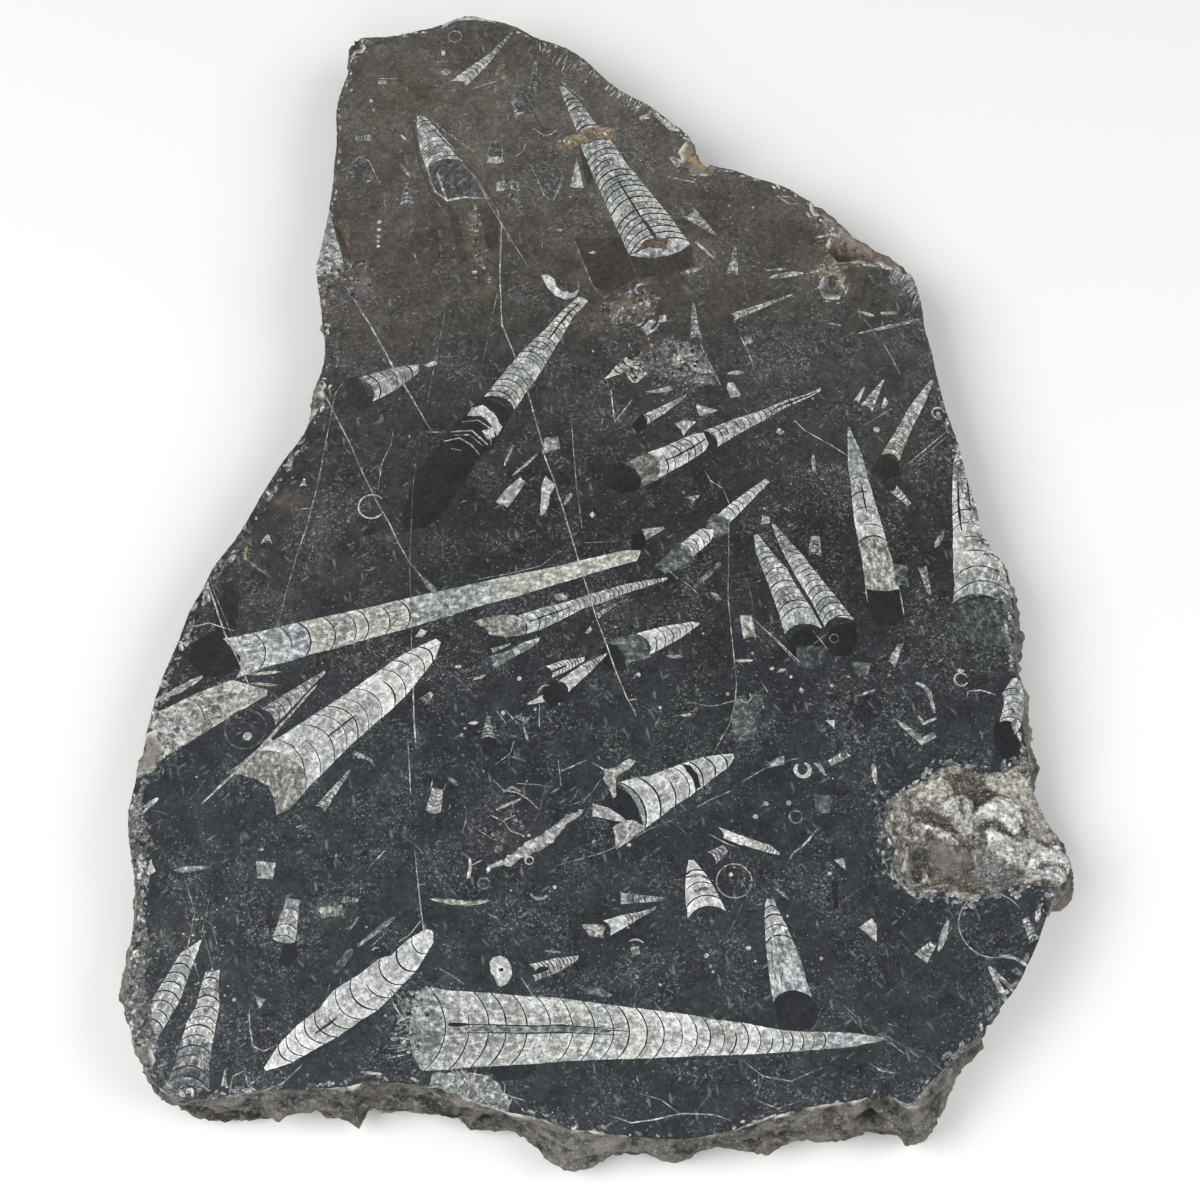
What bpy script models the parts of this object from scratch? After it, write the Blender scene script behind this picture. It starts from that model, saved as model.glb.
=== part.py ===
"""Polished slab of black orthoceras limestone, broken all round, lying on its sawn back.

The slab is one natural piece of stone, so it is one solid. Its own sizes are in millimetres and
the finished object is in metres, with +Z up and the origin under the middle of its box.
"""

import math

import bmesh
import bpy
from mathutils import Vector, noise
from mathutils.geometry import delaunay_2d_cdt

MILLIMETRE = 0.001

# Driving dimensions of the slab
THICKNESS = 40.0
STATION_SPACING = 6.5
GRID_SPACING = 3.6
LEAST_DEPTH = 0.3
BACK_INSET = 5.0
FACET_SIZE = 17.0
FACET_DEPTH = 6.5
LEDGE_HEIGHT = 12.0
LEDGE_DEPTH = 2.6
WALL_SOFTNESS = 3

# Outermost edge of the stone seen from above, clockwise from the nub at the top left corner:
# x, y and the width of the rough margin between that edge and the polished face
EDGE = (
    (-143.0, 288.0, 9.0), (-140.0, 298.0, 8.0), (-130.0, 296.5, 6.0), (-118.0, 295.0, 2.0),
    (-111.0, 295.5, 2.0), (-100.0, 298.0, 2.0), (-87.0, 301.0, 2.0), (-80.0, 307.0, 2.0),
    (-70.0, 308.0, 2.0), (-60.0, 305.0, 2.0), (-45.0, 300.0, 2.0), (-37.0, 292.5, 1.0),
    (-20.0, 286.0, 1.0), (-9.0, 278.0, 1.0), (3.0, 263.0, 1.0), (10.0, 256.5, 1.0),
    (28.0, 247.0, 1.0), (34.0, 239.5, 1.5), (48.0, 230.0, 3.0), (53.0, 222.0, 5.0),
    (56.0, 211.0, 5.0), (63.0, 209.0, 3.0), (70.0, 208.0, 1.0), (79.0, 202.0, 1.0),
    (93.0, 197.5, 1.0), (104.0, 193.0, 1.5), (109.0, 187.5, 3.0), (117.0, 187.5, 6.0),
    (128.0, 178.5, 7.0), (136.0, 169.0, 6.0), (150.0, 160.0, 7.0), (159.0, 152.5, 7.0),
    (163.0, 146.0, 6.0), (165.0, 132.0, 3.0), (165.5, 118.0, 1.0), (165.0, 105.0, 2.0),
    (168.0, 97.0, 3.0), (168.5, 86.0, 1.0), (171.0, 68.0, 1.0), (174.0, 54.0, 1.0),
    (176.5, 47.0, 2.0), (180.0, 33.0, 2.0), (183.0, 21.0, 3.0), (188.0, 11.0, 6.0),
    (191.0, -5.0, 9.0), (197.0, -12.0, 9.0), (203.0, -24.0, 8.0), (206.0, -42.0, 9.0),
    (208.0, -52.0, 10.0), (206.0, -65.0, 14.0), (205.0, -74.0, 11.0), (208.0, -84.0, 9.0),
    (207.0, -94.0, 9.0), (205.0, -107.0, 9.0), (208.0, -122.0, 11.0), (210.0, -135.0, 10.0),
    (215.0, -150.0, 10.0), (221.0, -162.0, 10.0), (223.0, -171.0, 10.0), (220.0, -181.0, 10.0),
    (211.0, -191.0, 9.0), (201.0, -206.0, 3.0), (191.0, -221.0, 1.0), (186.0, -230.0, 1.0),
    (175.0, -247.0, 3.0), (167.0, -260.0, 7.0), (158.0, -275.0, 13.0), (150.0, -290.0, 18.0),
    (143.0, -298.0, 19.0), (135.0, -300.5, 19.0), (126.0, -296.0, 16.0), (117.0, -295.0, 16.0),
    (110.0, -298.0, 19.0), (95.0, -298.0, 17.0), (80.0, -300.0, 13.0), (62.0, -302.0, 11.0),
    (45.0, -303.0, 6.0), (20.0, -305.0, 6.0), (5.0, -307.5, 14.0), (-8.0, -308.0, 16.0),
    (-18.0, -308.0, 18.0), (-25.0, -304.0, 15.0), (-31.0, -299.5, 12.0), (-45.0, -295.0, 9.0),
    (-60.0, -289.5, 7.0), (-72.0, -285.5, 10.0), (-86.0, -285.0, 15.0), (-98.0, -285.0, 12.0),
    (-103.0, -282.0, 9.0), (-109.0, -288.0, 13.0), (-118.0, -286.0, 12.0), (-130.0, -287.0, 12.0),
    (-150.0, -285.0, 8.0), (-170.0, -287.5, 8.0), (-184.0, -286.5, 8.0), (-193.0, -283.0, 5.0),
    (-199.0, -275.0, 3.0), (-207.0, -263.0, 2.0), (-213.0, -252.0, 4.0), (-220.0, -241.0, 9.0),
    (-223.0, -225.0, 12.0), (-223.0, -212.0, 12.0), (-221.0, -198.0, 10.0), (-218.5, -184.0, 7.0),
    (-221.0, -172.0, 6.0), (-223.5, -160.0, 6.0), (-224.0, -147.0, 6.0), (-221.5, -136.0, 5.0),
    (-220.0, -125.0, 5.0), (-216.5, -110.0, 4.0), (-213.0, -95.0, 1.0), (-209.0, -80.0, 1.0),
    (-203.5, -62.0, 2.0), (-201.0, -46.0, 4.0), (-195.0, -36.0, 4.0), (-191.0, -24.0, 2.0),
    (-183.0, -14.0, 1.0), (-179.0, -9.0, 1.0), (-174.0, 2.0, 1.0), (-167.0, 18.0, 2.0),
    (-160.0, 32.0, 1.0), (-151.0, 48.0, 1.0), (-148.0, 56.0, 4.0), (-150.0, 69.0, 6.0),
    (-147.0, 78.0, 5.0), (-143.0, 90.0, 2.0), (-143.0, 101.0, 2.0), (-146.0, 117.0, 3.0),
    (-149.0, 135.0, 4.0), (-150.0, 147.0, 2.0), (-146.0, 162.0, 1.0), (-143.5, 180.0, 1.0),
    (-142.0, 196.0, 1.0), (-142.5, 206.0, 1.0), (-141.5, 222.0, 1.0), (-143.5, 242.0, 2.0),
    (-141.0, 262.0, 1.0), (-139.5, 274.0, 3.0), (-142.0, 281.0, 8.0),
)

# Levels of the broken wall from the polished lip down to the back: the height as a share of the
# lip's height, and how much of the rough margin the wall has come out by there
WALL_LEVELS = (
    (1.0, 0.0), (0.94, 0.24), (0.84, 0.48), (0.73, 0.70), (0.61, 0.88), (0.49, 1.0),
    (0.37, 1.0), (0.25, 0.94), (0.12, 0.84),
)

# Scoops broken out of the wall under the lip: x, y, height, radius and depth
SCOOPS = (
    (112.0, -288.0, 27.0, 21.0, 9.0), (88.0, -292.0, 14.0, 15.0, 4.0),
    (136.0, -294.0, 12.0, 12.0, 4.0), (50.0, -300.0, 14.0, 22.0, 4.0),
    (12.0, -304.0, 12.0, 20.0, 7.0), (-46.0, -292.0, 18.0, 22.0, 6.0),
    (-90.0, -280.0, 26.0, 18.0, 8.0), (-128.0, -284.0, 14.0, 16.0, 5.0),
    (-178.0, -284.0, 26.0, 15.0, 6.0), (-222.0, -200.0, 16.0, 24.0, 6.0),
    (-214.0, -104.0, 18.0, 20.0, 5.0), (-172.0, 8.0, 14.0, 22.0, 6.0),
    (-148.0, 60.0, 20.0, 16.0, 5.0), (-146.0, 168.0, 15.0, 26.0, 6.0),
    (-140.0, 250.0, 22.0, 20.0, 5.0), (-100.0, 300.0, 16.0, 20.0, 6.0),
    (-20.0, 288.0, 20.0, 24.0, 6.0), (40.0, 236.0, 16.0, 20.0, 6.0),
    (95.0, 198.0, 20.0, 24.0, 5.0), (145.0, 164.0, 18.0, 18.0, 5.0),
    (168.0, 100.0, 22.0, 22.0, 6.0), (180.0, 30.0, 14.0, 22.0, 5.0),
    (206.0, -70.0, 20.0, 16.0, 5.0), (212.0, -140.0, 14.0, 18.0, 5.0),
    (196.0, -214.0, 22.0, 24.0, 6.0), (163.0, -270.0, 14.0, 18.0, 5.0),
)

# Outline of the large broken hollow at the lower right, run out past the edge of the stone
HOLLOW_EDGE = (
    (206.0, -124.0), (196.0, -126.0), (186.0, -130.0), (176.0, -132.0), (165.0, -128.0),
    (156.0, -128.0), (149.0, -133.0), (142.0, -139.0), (134.0, -143.0), (129.0, -150.0),
    (131.0, -158.0), (136.0, -164.0), (133.0, -172.0), (135.0, -180.0), (141.0, -187.0),
    (150.0, -186.0), (157.0, -184.0), (163.0, -189.0), (170.0, -188.0), (180.0, -184.0),
    (190.0, -182.0), (202.0, -182.0), (212.0, -186.0), (236.0, -184.0), (236.0, -128.0),
)
HOLLOW_DEPTH = 6.5
HOLLOW_SLOPE = 6.0

# Outline of the unpolished patch at the upper right, run out past the edge of the stone
PATCH_EDGE = (
    (107.0, 194.0), (109.0, 181.0), (118.0, 173.0), (124.0, 167.0), (117.0, 161.0),
    (116.0, 153.0), (122.0, 148.0), (131.0, 149.0), (146.0, 146.0), (156.0, 141.0),
    (172.0, 140.0), (172.0, 176.0), (136.0, 204.0),
)
PATCH_DEPTH = 2.6
PATCH_SLOPE = 5.0

# Lumps of broken shell that stand up in the hollow: x, y, half length, half width, turn, height
LUMPS = (
    (157.0, -137.0, 10.0, 7.0, -10.0, 4.5), (150.0, -143.0, 11.0, 5.0, 25.0, 3.5),
    (168.0, -145.0, 9.0, 6.0, 80.0, 4.5), (186.0, -147.0, 15.0, 9.0, -35.0, 5.5),
    (158.0, -156.0, 15.0, 3.5, -35.0, 3.5), (179.0, -158.0, 10.0, 5.0, -15.0, 3.0),
    (187.0, -166.0, 13.0, 8.0, 20.0, 4.5), (205.0, -174.0, 14.0, 9.0, 0.0, 3.5),
    (204.0, -161.0, 9.0, 6.0, 0.0, 2.5), (136.0, -149.0, 9.0, 6.0, 10.0, 4.0),
    (138.0, -166.0, 4.0, 8.0, 0.0, 3.0),
)

# Dips in the polished face and deeper spots in the hollow: the same values, with a depth
DIPS = (
    (152.0, -169.0, 18.0, 13.0, 0.0, 5.0), (150.0, -150.0, 9.0, 5.0, -20.0, 2.5),
    (173.0, -138.0, 14.0, 4.5, 5.0, 2.5), (167.0, -166.0, 7.0, 7.0, 0.0, 3.0),
    (117.0, 134.0, 5.5, 5.5, 0.0, 3.5), (52.0, 213.0, 10.0, 11.0, 0.0, 2.6),
    (-140.0, 290.0, 10.0, 13.0, 0.0, 2.8), (-149.0, 70.0, 8.0, 12.0, 0.0, 2.2),
    (-203.0, -262.0, 4.5, 5.0, 0.0, 3.5), (-212.0, -120.0, 7.0, 10.0, -20.0, 1.8),
)


def clear_scene():
    """Remove the objects of the startup scene."""
    for obj in list(bpy.data.objects):
        bpy.data.objects.remove(obj, do_unlink=True)


def smoothstep(value):
    """Ease from 0 to 1 without a kink at either end."""
    value = min(max(value, 0.0), 1.0)
    return value * value * (3.0 - 2.0 * value)


def facet(point, size):
    """Broken-stone relief from 0 to 1: flat facets of about this size, each with its own tilt."""
    place = Vector((point.x, point.y, 1.7 * point.z)) / size
    middle = noise.voronoi(place)[1][0]
    tilt = noise.cell_vector(middle * 7.3) - Vector((0.5, 0.5, 0.5))
    level = noise.cell(middle * 5.1 + Vector((3.0, 8.0, 1.0)))
    return min(max(0.5 + 0.35 * level + 0.9 * tilt.dot(place - middle), 0.0), 1.0)


def inside_distance(x, y, outline):
    """Distance from a point to an outline, positive inside it and negative outside."""
    point = Vector((x, y))
    nearest = math.inf
    inside = False
    for index, start in enumerate(outline):
        a = Vector(outline[index - 1])
        b = Vector(start)
        along = (point - a).dot(b - a) / (b - a).length_squared
        nearest = min(nearest, (point - a.lerp(b, min(max(along, 0.0), 1.0))).length)
        if (a.y > y) != (b.y > y) and x < a.x + (y - a.y) * (b.x - a.x) / (b.y - a.y):
            inside = not inside
    return nearest if inside else -nearest


def mound(x, y, shape):
    """Height of a rounded mound, or depth of a dip, at a point of the plan."""
    centre_x, centre_y, half_length, half_width, turn, height = shape
    angle = math.radians(turn)
    along = (x - centre_x) * math.cos(angle) + (y - centre_y) * math.sin(angle)
    across = (y - centre_y) * math.cos(angle) - (x - centre_x) * math.sin(angle)
    reach = (along / half_length) ** 2 + (across / half_width) ** 2
    return height * max(1.0 - reach, 0.0) ** 0.7


def sunken(x, y):
    """Depth of the stone below the polished level, or 0 on the polished face."""
    hollow = smoothstep(inside_distance(x, y, HOLLOW_EDGE) / HOLLOW_SLOPE)
    patch = smoothstep(inside_distance(x, y, PATCH_EDGE) / PATCH_SLOPE)
    dip = sum(mound(x, y, shape) for shape in DIPS)
    lump = hollow * sum(mound(x, y, shape) for shape in LUMPS)
    rough = facet(Vector((x, y, 0.0)), 9.0)
    depth = hollow * (HOLLOW_DEPTH + 2.2 * rough) + patch * (PATCH_DEPTH + 1.6 * rough) + dip
    depth = max(depth - lump, 0.35 * hollow)
    return depth if depth > LEAST_DEPTH else 0.0


def edge_stations():
    """Stations along the broken edge: point on the edge, outward direction and rough margin."""
    points = []
    margins = []
    for index, (x, y, margin) in enumerate(EDGE):
        next_x, next_y, next_margin = EDGE[(index + 1) % len(EDGE)]
        start = Vector((x, y))
        end = Vector((next_x, next_y))
        pieces = max(1, round((end - start).length / STATION_SPACING))
        for step in range(pieces):
            share = step / pieces
            points.append(start.lerp(end, share))
            margins.append(margin + (next_margin - margin) * share)
    count = len(points)
    stations = []
    for index, point in enumerate(points):
        window = range(-WALL_SOFTNESS, WALL_SOFTNESS + 1)
        run = points[(index + WALL_SOFTNESS) % count] - points[index - WALL_SOFTNESS]
        margin = sum(margins[(index + step) % count] for step in window) / len(window)
        ripple = 0.8 * noise.noise(Vector((point.x, point.y, 0.0)) / 9.0)
        outward = Vector((-run.y, run.x)).normalized()
        stations.append((point, outward, max(margin + ripple, 0.6)))
    return stations


def ledge(point):
    """How far the stone steps back under each bed that breaks out of the wall."""
    beds = 0.9 * noise.noise(Vector((point.x, point.y, 0.0)) / 60.0)
    return LEDGE_DEPTH * (1.0 - (point.z / LEDGE_HEIGHT + beds) % 1.0)


def scooped(point):
    """How far the scoops cut back the wall at a point."""
    cut = 0.0
    for x, y, z, radius, depth in SCOOPS:
        away = (point - Vector((x, y, z))).length / radius
        cut = max(cut, depth * (1.0 - smoothstep(away)))
    return cut


def wall_point(station, level):
    """Point of the wall at one station and level."""
    edge, outward, margin = station
    share, flare = level
    lip = edge - outward * margin
    lip_height = THICKNESS - sunken(lip.x, lip.y)
    height = lip_height * share
    if flare == 0.0:
        return Vector((lip.x, lip.y, lip_height))
    height += 1.4 * noise.noise(Vector((lip.x, lip.y, 60.0 * share)) / 14.0)
    place = Vector((edge.x, edge.y, height))
    depth = FACET_DEPTH * (1.0 - facet(place, FACET_SIZE)) + ledge(place)
    out = margin * flare - depth * min(1.0, 0.35 + flare) - scooped(place)
    out = max(out, -9.0)
    point = lip + outward * out
    return Vector((point.x, point.y, height))


def back_point(station):
    """Point of the sawn back's edge at one station."""
    edge, outward, margin = station
    place = Vector((edge.x, edge.y, 0.0))
    inset = BACK_INSET + 5.0 * (1.0 - facet(place, 21.0)) + 0.25 * margin
    point = edge - outward * inset
    return Vector((point.x, point.y, 0.0))


def smooth_ring(ring, passes):
    """Take the kinks out of one ring of points, in plan."""
    for _ in range(passes):
        count = len(ring)
        ring = [
            Vector((
                0.5 * ring[i].x + 0.25 * (ring[i - 1].x + ring[(i + 1) % count].x),
                0.5 * ring[i].y + 0.25 * (ring[i - 1].y + ring[(i + 1) % count].y),
                ring[i].z,
            ))
            for i in range(count)
        ]
    return ring


def inside_ring(x, y, ring):
    """Tell whether a point of the plan lies inside a ring."""
    return inside_distance(x, y, [(point.x, point.y) for point in ring]) > 0.35 * GRID_SPACING


def grid_points(ring):
    """Grid points of the top that shape its hollow, patch and dips."""
    points = []
    boxes = [(124, -194, 224, -120), (104, 138, 168, 198)]
    for x, y, half_length, half_width, _, _ in DIPS:
        reach = max(half_length, half_width) + GRID_SPACING
        boxes.append((x - reach, y - reach, x + reach, y + reach))
    taken = set()
    near = 1.5 * GRID_SPACING
    for low_x, low_y, high_x, high_y in boxes:
        for column in range(int(low_x // GRID_SPACING), int(high_x // GRID_SPACING) + 1):
            for row in range(int(low_y // GRID_SPACING), int(high_y // GRID_SPACING) + 1):
                if (column, row) in taken:
                    continue
                x = (column + 0.5 * (row % 2)) * GRID_SPACING
                y = row * GRID_SPACING
                around = ((x, y), (x + near, y), (x - near, y), (x, y + near), (x, y - near))
                if max(sunken(*place) for place in around) == 0.0:
                    continue
                if inside_ring(x, y, ring):
                    taken.add((column, row))
                    points.append(Vector((x, y, THICKNESS - sunken(x, y))))
    return points


def fill_level(mesh, ring, extra, upward):
    """Fill a ring with faces that use its points and the extra points inside it."""
    verts = ring + [mesh.verts.new(point) for point in extra]
    flat = [Vector((vert.co.x, vert.co.y)) for vert in verts]
    loop = [list(range(len(ring)))]
    _, _, faces, origins, _, _ = delaunay_2d_cdt(flat, [], loop, 1, 1e-5)
    for face in faces:
        corners = [verts[origins[index][0]] for index in face]
        a, b, c = (corner.co for corner in corners)
        turn = (b.x - a.x) * (c.y - a.y) - (b.y - a.y) * (c.x - a.x)
        if (turn > 0.0) != upward:
            corners.reverse()
        mesh.faces.new(corners)


def build_wall(mesh, rings):
    """Join each ring to the one below it with two triangles at every station."""
    for upper, lower in zip(rings, rings[1:]):
        count = len(upper)
        for index in range(count):
            after = (index + 1) % count
            a, b = upper[index], upper[after]
            c, d = lower[after], lower[index]
            if (a.co - c.co).length < (b.co - d.co).length:
                mesh.faces.new((a, b, c))
                mesh.faces.new((a, c, d))
            else:
                mesh.faces.new((a, b, d))
                mesh.faces.new((b, c, d))


def centre_on_base(mesh):
    """Move the stone so that its origin is under the middle of its box."""
    low = [min(vert.co[axis] for vert in mesh.verts) for axis in range(3)]
    high = [max(vert.co[axis] for vert in mesh.verts) for axis in range(3)]
    shift = Vector((0.5 * (low[0] + high[0]), 0.5 * (low[1] + high[1]), low[2]))
    for vert in mesh.verts:
        vert.co = (vert.co - shift) * MILLIMETRE


def limestone():
    """Dark polished orthoceras limestone."""
    material = bpy.data.materials.new("black orthoceras limestone")
    material.use_nodes = True
    shader = material.node_tree.nodes["Principled BSDF"]
    shader.inputs["Base Color"].default_value = (0.045, 0.047, 0.05, 1.0)
    shader.inputs["Roughness"].default_value = 0.32
    shader.inputs["Metallic"].default_value = 0.0
    material.diffuse_color = (0.2, 0.2, 0.21, 1.0)
    return material


def build_slab():
    """Build the slab as one closed solid."""
    stations = edge_stations()
    rings = []
    for level in WALL_LEVELS:
        rings.append([wall_point(station, level) for station in stations])
    rings[0] = smooth_ring(rings[0], 1)
    rings.append(smooth_ring([back_point(station) for station in stations], 2))
    mesh = bmesh.new()
    ring_verts = [[mesh.verts.new(point) for point in ring] for ring in rings]
    build_wall(mesh, ring_verts)
    fill_level(mesh, ring_verts[0], grid_points(rings[0]), True)
    fill_level(mesh, ring_verts[-1], [], False)
    bmesh.ops.recalc_face_normals(mesh, faces=mesh.faces)
    centre_on_base(mesh)
    data = bpy.data.meshes.new("fossil_slab")
    mesh.to_mesh(data)
    mesh.free()
    data.shade_flat()
    data.materials.append(limestone())
    slab = bpy.data.objects.new("fossil_slab", data)
    bpy.context.scene.collection.objects.link(slab)


clear_scene()
build_slab()
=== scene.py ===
"""Looks of the polished orthoceras slab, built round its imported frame.

The cut and polished face is one flat layer of mineral pieces: black limestone, shells,
septa, veins and stains are cut into it as a mosaic that shares its edges with the broken
rim. Plan coordinates are millimetres on the polished face, with Y up the photograph.
"""

from __future__ import annotations

import heapq
import logging
import math
from collections.abc import Iterable, Sequence
from dataclasses import dataclass, field
from enum import Enum
from random import Random

import bmesh
import bpy
import numpy as np
from mathutils import Matrix, Vector, noise
from mathutils.geometry import delaunay_2d_cdt


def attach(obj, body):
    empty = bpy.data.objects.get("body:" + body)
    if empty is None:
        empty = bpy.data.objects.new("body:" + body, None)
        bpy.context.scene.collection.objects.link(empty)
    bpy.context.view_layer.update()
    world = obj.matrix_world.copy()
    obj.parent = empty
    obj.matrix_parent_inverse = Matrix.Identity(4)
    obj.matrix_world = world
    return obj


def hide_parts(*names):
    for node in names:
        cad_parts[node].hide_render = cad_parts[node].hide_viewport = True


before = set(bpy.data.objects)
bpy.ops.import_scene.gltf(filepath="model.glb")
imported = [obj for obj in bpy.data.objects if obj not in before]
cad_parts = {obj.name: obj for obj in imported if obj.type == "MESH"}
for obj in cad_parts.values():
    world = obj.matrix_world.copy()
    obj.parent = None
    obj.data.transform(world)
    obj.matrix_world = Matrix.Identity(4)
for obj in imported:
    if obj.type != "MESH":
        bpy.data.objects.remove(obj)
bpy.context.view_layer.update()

LOG = logging.getLogger("orthoceras")
MM = 0.001
FACE_HEIGHT = 40.0
PLAN_SHIFT = (0.5527, -0.5124)
# The hollow lies right of this X and between these Y, above this height.
HOLLOW_LEFT = 124.0
HOLLOW_SPAN = (-196.0, -118.0)
HOLLOW_FLOOR = 28.0
# How far a point may lie off the flat face or back and still belong to it.
FLAT_SLACK = 0.02
BACK_SLACK = 0.05
# Where the scattered hash may fall.
HASH_ACROSS = (-222, 222)
HASH_ALONG = (-306, 308)
NODE = "fossil_slab"

Point = tuple[float, float]
Row = tuple[float, ...]


class Tone(Enum):
    """Colours read off the stone, as sRGB hex."""

    WHITE = "#d8dad6"
    PALE = "#bfc2bf"
    SILVER = "#a3a8a6"
    GREY = "#868b8b"
    ASH = "#6d7172"
    FAINT = "#54585a"
    CREAM = "#bdbfb3"
    OLIVE = "#9d9f95"
    BLUISH = "#a0a7ad"
    WALL = "#232527"
    INK = "#1a1b1d"
    SOOT = "#26282a"
    MUD = "#303336"
    UMBER = "#403d39"
    BROWN = "#7a766e"
    SAND = "#958a74"
    OCHRE = "#937f62"
    RUST = "#6f5b4d"
    PINK = "#94827b"


class Finish(Enum):
    """Which mineral finish a face carries; the value is its material slot."""

    POLISHED = 0
    CALCITE = 1
    INFILL = 2
    STAIN = 3
    BROKEN = 4
    SPAR = 5
    SAWN = 6


DARK_TONES = (Tone.WALL, Tone.INK, Tone.SOOT, Tone.MUD, Tone.UMBER)
# Mud that fills a dark chamber is the limestone's own colour, deepened by this much.
DEEPENED = {Tone.INK: 0.78, Tone.SOOT: 0.93, Tone.MUD: 0.96, Tone.UMBER: 0.97}
STAIN_TONES = (Tone.SAND, Tone.OCHRE, Tone.RUST, Tone.PINK)


def linear(code: str) -> tuple[float, float, float]:
    """Turn an sRGB hex value into linear colour.

    Args:
        code: Colour as "#rrggbb".

    Returns:
        Red, green and blue in linear light.
    """
    parts = (int(code[i : i + 2], 16) / 255.0 for i in (1, 3, 5))
    red, green, blue = (p / 12.92 if p <= 0.04045 else ((p + 0.055) / 1.055) ** 2.4 for p in parts)
    return red, green, blue


def per_mm(size: float) -> float:
    """Return the texture scale whose features are about this many millimetres wide."""
    return 1.0 / (size * MM)


def pairs(flat: Sequence[float]) -> list[Point]:
    """Return a flat run of coordinates as points."""
    return list(zip(flat[0::2], flat[1::2]))


def wobble(x: float, y: float, size: float, seed: float) -> float:
    """Return smooth noise from -1 to 1 with features of the given size in mm."""
    return noise.noise(Vector((x / size, y / size, seed)))


# Drawn shapes.


@dataclass(frozen=True)
class Look:
    """What one flat piece of the polished face is made of."""

    finish: Finish
    tone: Tone
    mottle: float = 0.5
    heading: float = 0.0
    seed: float = 0.0
    shade: float = 1.0
    cover: float = 1.0
    other: Tone | None = None
    share: float = 0.0

    def colour(self, ground: Vector) -> Vector:
        """Return the linear colour of the piece over the limestone's own colour.

        Args:
            ground: Linear colour of the limestone there.

        Returns:
            Linear colour to paint with.
        """
        if self.tone in DEEPENED:
            return ground * DEEPENED[self.tone]
        tone = Vector(linear(self.tone.value))
        if self.other:
            tone = tone.lerp(Vector(linear(self.other.value)), self.share)
        return ground.lerp(tone, self.cover) * self.shade


@dataclass
class Shape:
    """A flat piece of the face, with its outline in plan millimetres."""

    outline: list[Point]
    look: Look

    def looks(self, places: list[Point], centre: Point) -> list[Look]:
        """Return the look at each corner of one triangle."""
        return [self.look] * len(places)

    def stations(self, places: list[Point], centre: Point) -> list[Point]:
        """Return, for corners of one triangle, their place in the chamber: along it and across it."""
        return [(0.5, 0.5)] * len(places)


def finish_for(tone: Tone) -> Finish:
    """Return the mineral finish that a tone belongs to.

    Args:
        tone: Tone of the piece.

    Returns:
        Its finish.
    """
    if tone in DARK_TONES:
        return Finish.INFILL
    return Finish.STAIN if tone in STAIN_TONES else Finish.CALCITE


def ragged(points: Sequence[Point], step: float, amount: float, seed: float) -> list[Point]:
    """Cut a closed outline into short steps and roughen it.

    Args:
        points: Corners of the outline.
        step: Longest edge that is left, in mm.
        amount: How far a point may move, in mm.
        seed: Which noise is used.

    Returns:
        The roughened outline.
    """
    result = []
    for (ax, ay), (bx, by) in zip(points, [*points[1:], points[0]]):
        count = max(1, round(math.hypot(bx - ax, by - ay) / step))
        for index in range(count):
            share = index / count
            x, y = ax + (bx - ax) * share, ay + (by - ay) * share
            move_x = amount * (wobble(x, y, 1.3, seed) + 0.8 * wobble(x, y, 3.7, seed + 5.0))
            move_y = amount * (wobble(x, y, 1.3, seed + 31.7) + 0.8 * wobble(x, y, 3.7, seed + 9.0))
            result.append((x + move_x, y + move_y))
    return result


def ribbon(path: Sequence[Point], width: float, taper: float, seed: float, step: float = 2.0) -> list[Point]:
    """Outline a line of uneven width.

    Args:
        path: Points of its middle.
        width: Full width in the middle, in mm.
        taper: Share of the width that is lost towards both ends, 0 to 1.
        seed: Which noise is used.
        step: Spacing of the points along it, in mm.

    Returns:
        The closed outline.
    """
    middle: list[Point] = []
    for (ax, ay), (bx, by) in zip(path, path[1:]):
        count = max(1, round(math.hypot(bx - ax, by - ay) / step))
        middle += [(ax + (bx - ax) * i / count, ay + (by - ay) * i / count) for i in range(count)]
    middle.append(path[-1])
    one, two = [], []
    last = len(middle) - 1
    for index, (x, y) in enumerate(middle):
        before, after = middle[max(0, index - 1)], middle[min(last, index + 1)]
        along = Vector((after[0] - before[0], after[1] - before[1]))
        if along.length < 1e-6:
            continue
        along.normalize()
        end = abs(2.0 * index / last - 1.0)
        half = 0.5 * width * (1.0 - taper * end**3) * (1.0 + 0.45 * wobble(x, y, 2.6, seed))
        half = max(half, 0.1)
        drift = 0.25 * wobble(x, y, 5.0, seed + 3.0) * min(1.0, width)
        one.append((x - along.y * (half + drift), y + along.x * (half + drift)))
        two.append((x + along.y * (half - drift), y - along.x * (half - drift)))
    return one + two[::-1]


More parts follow.
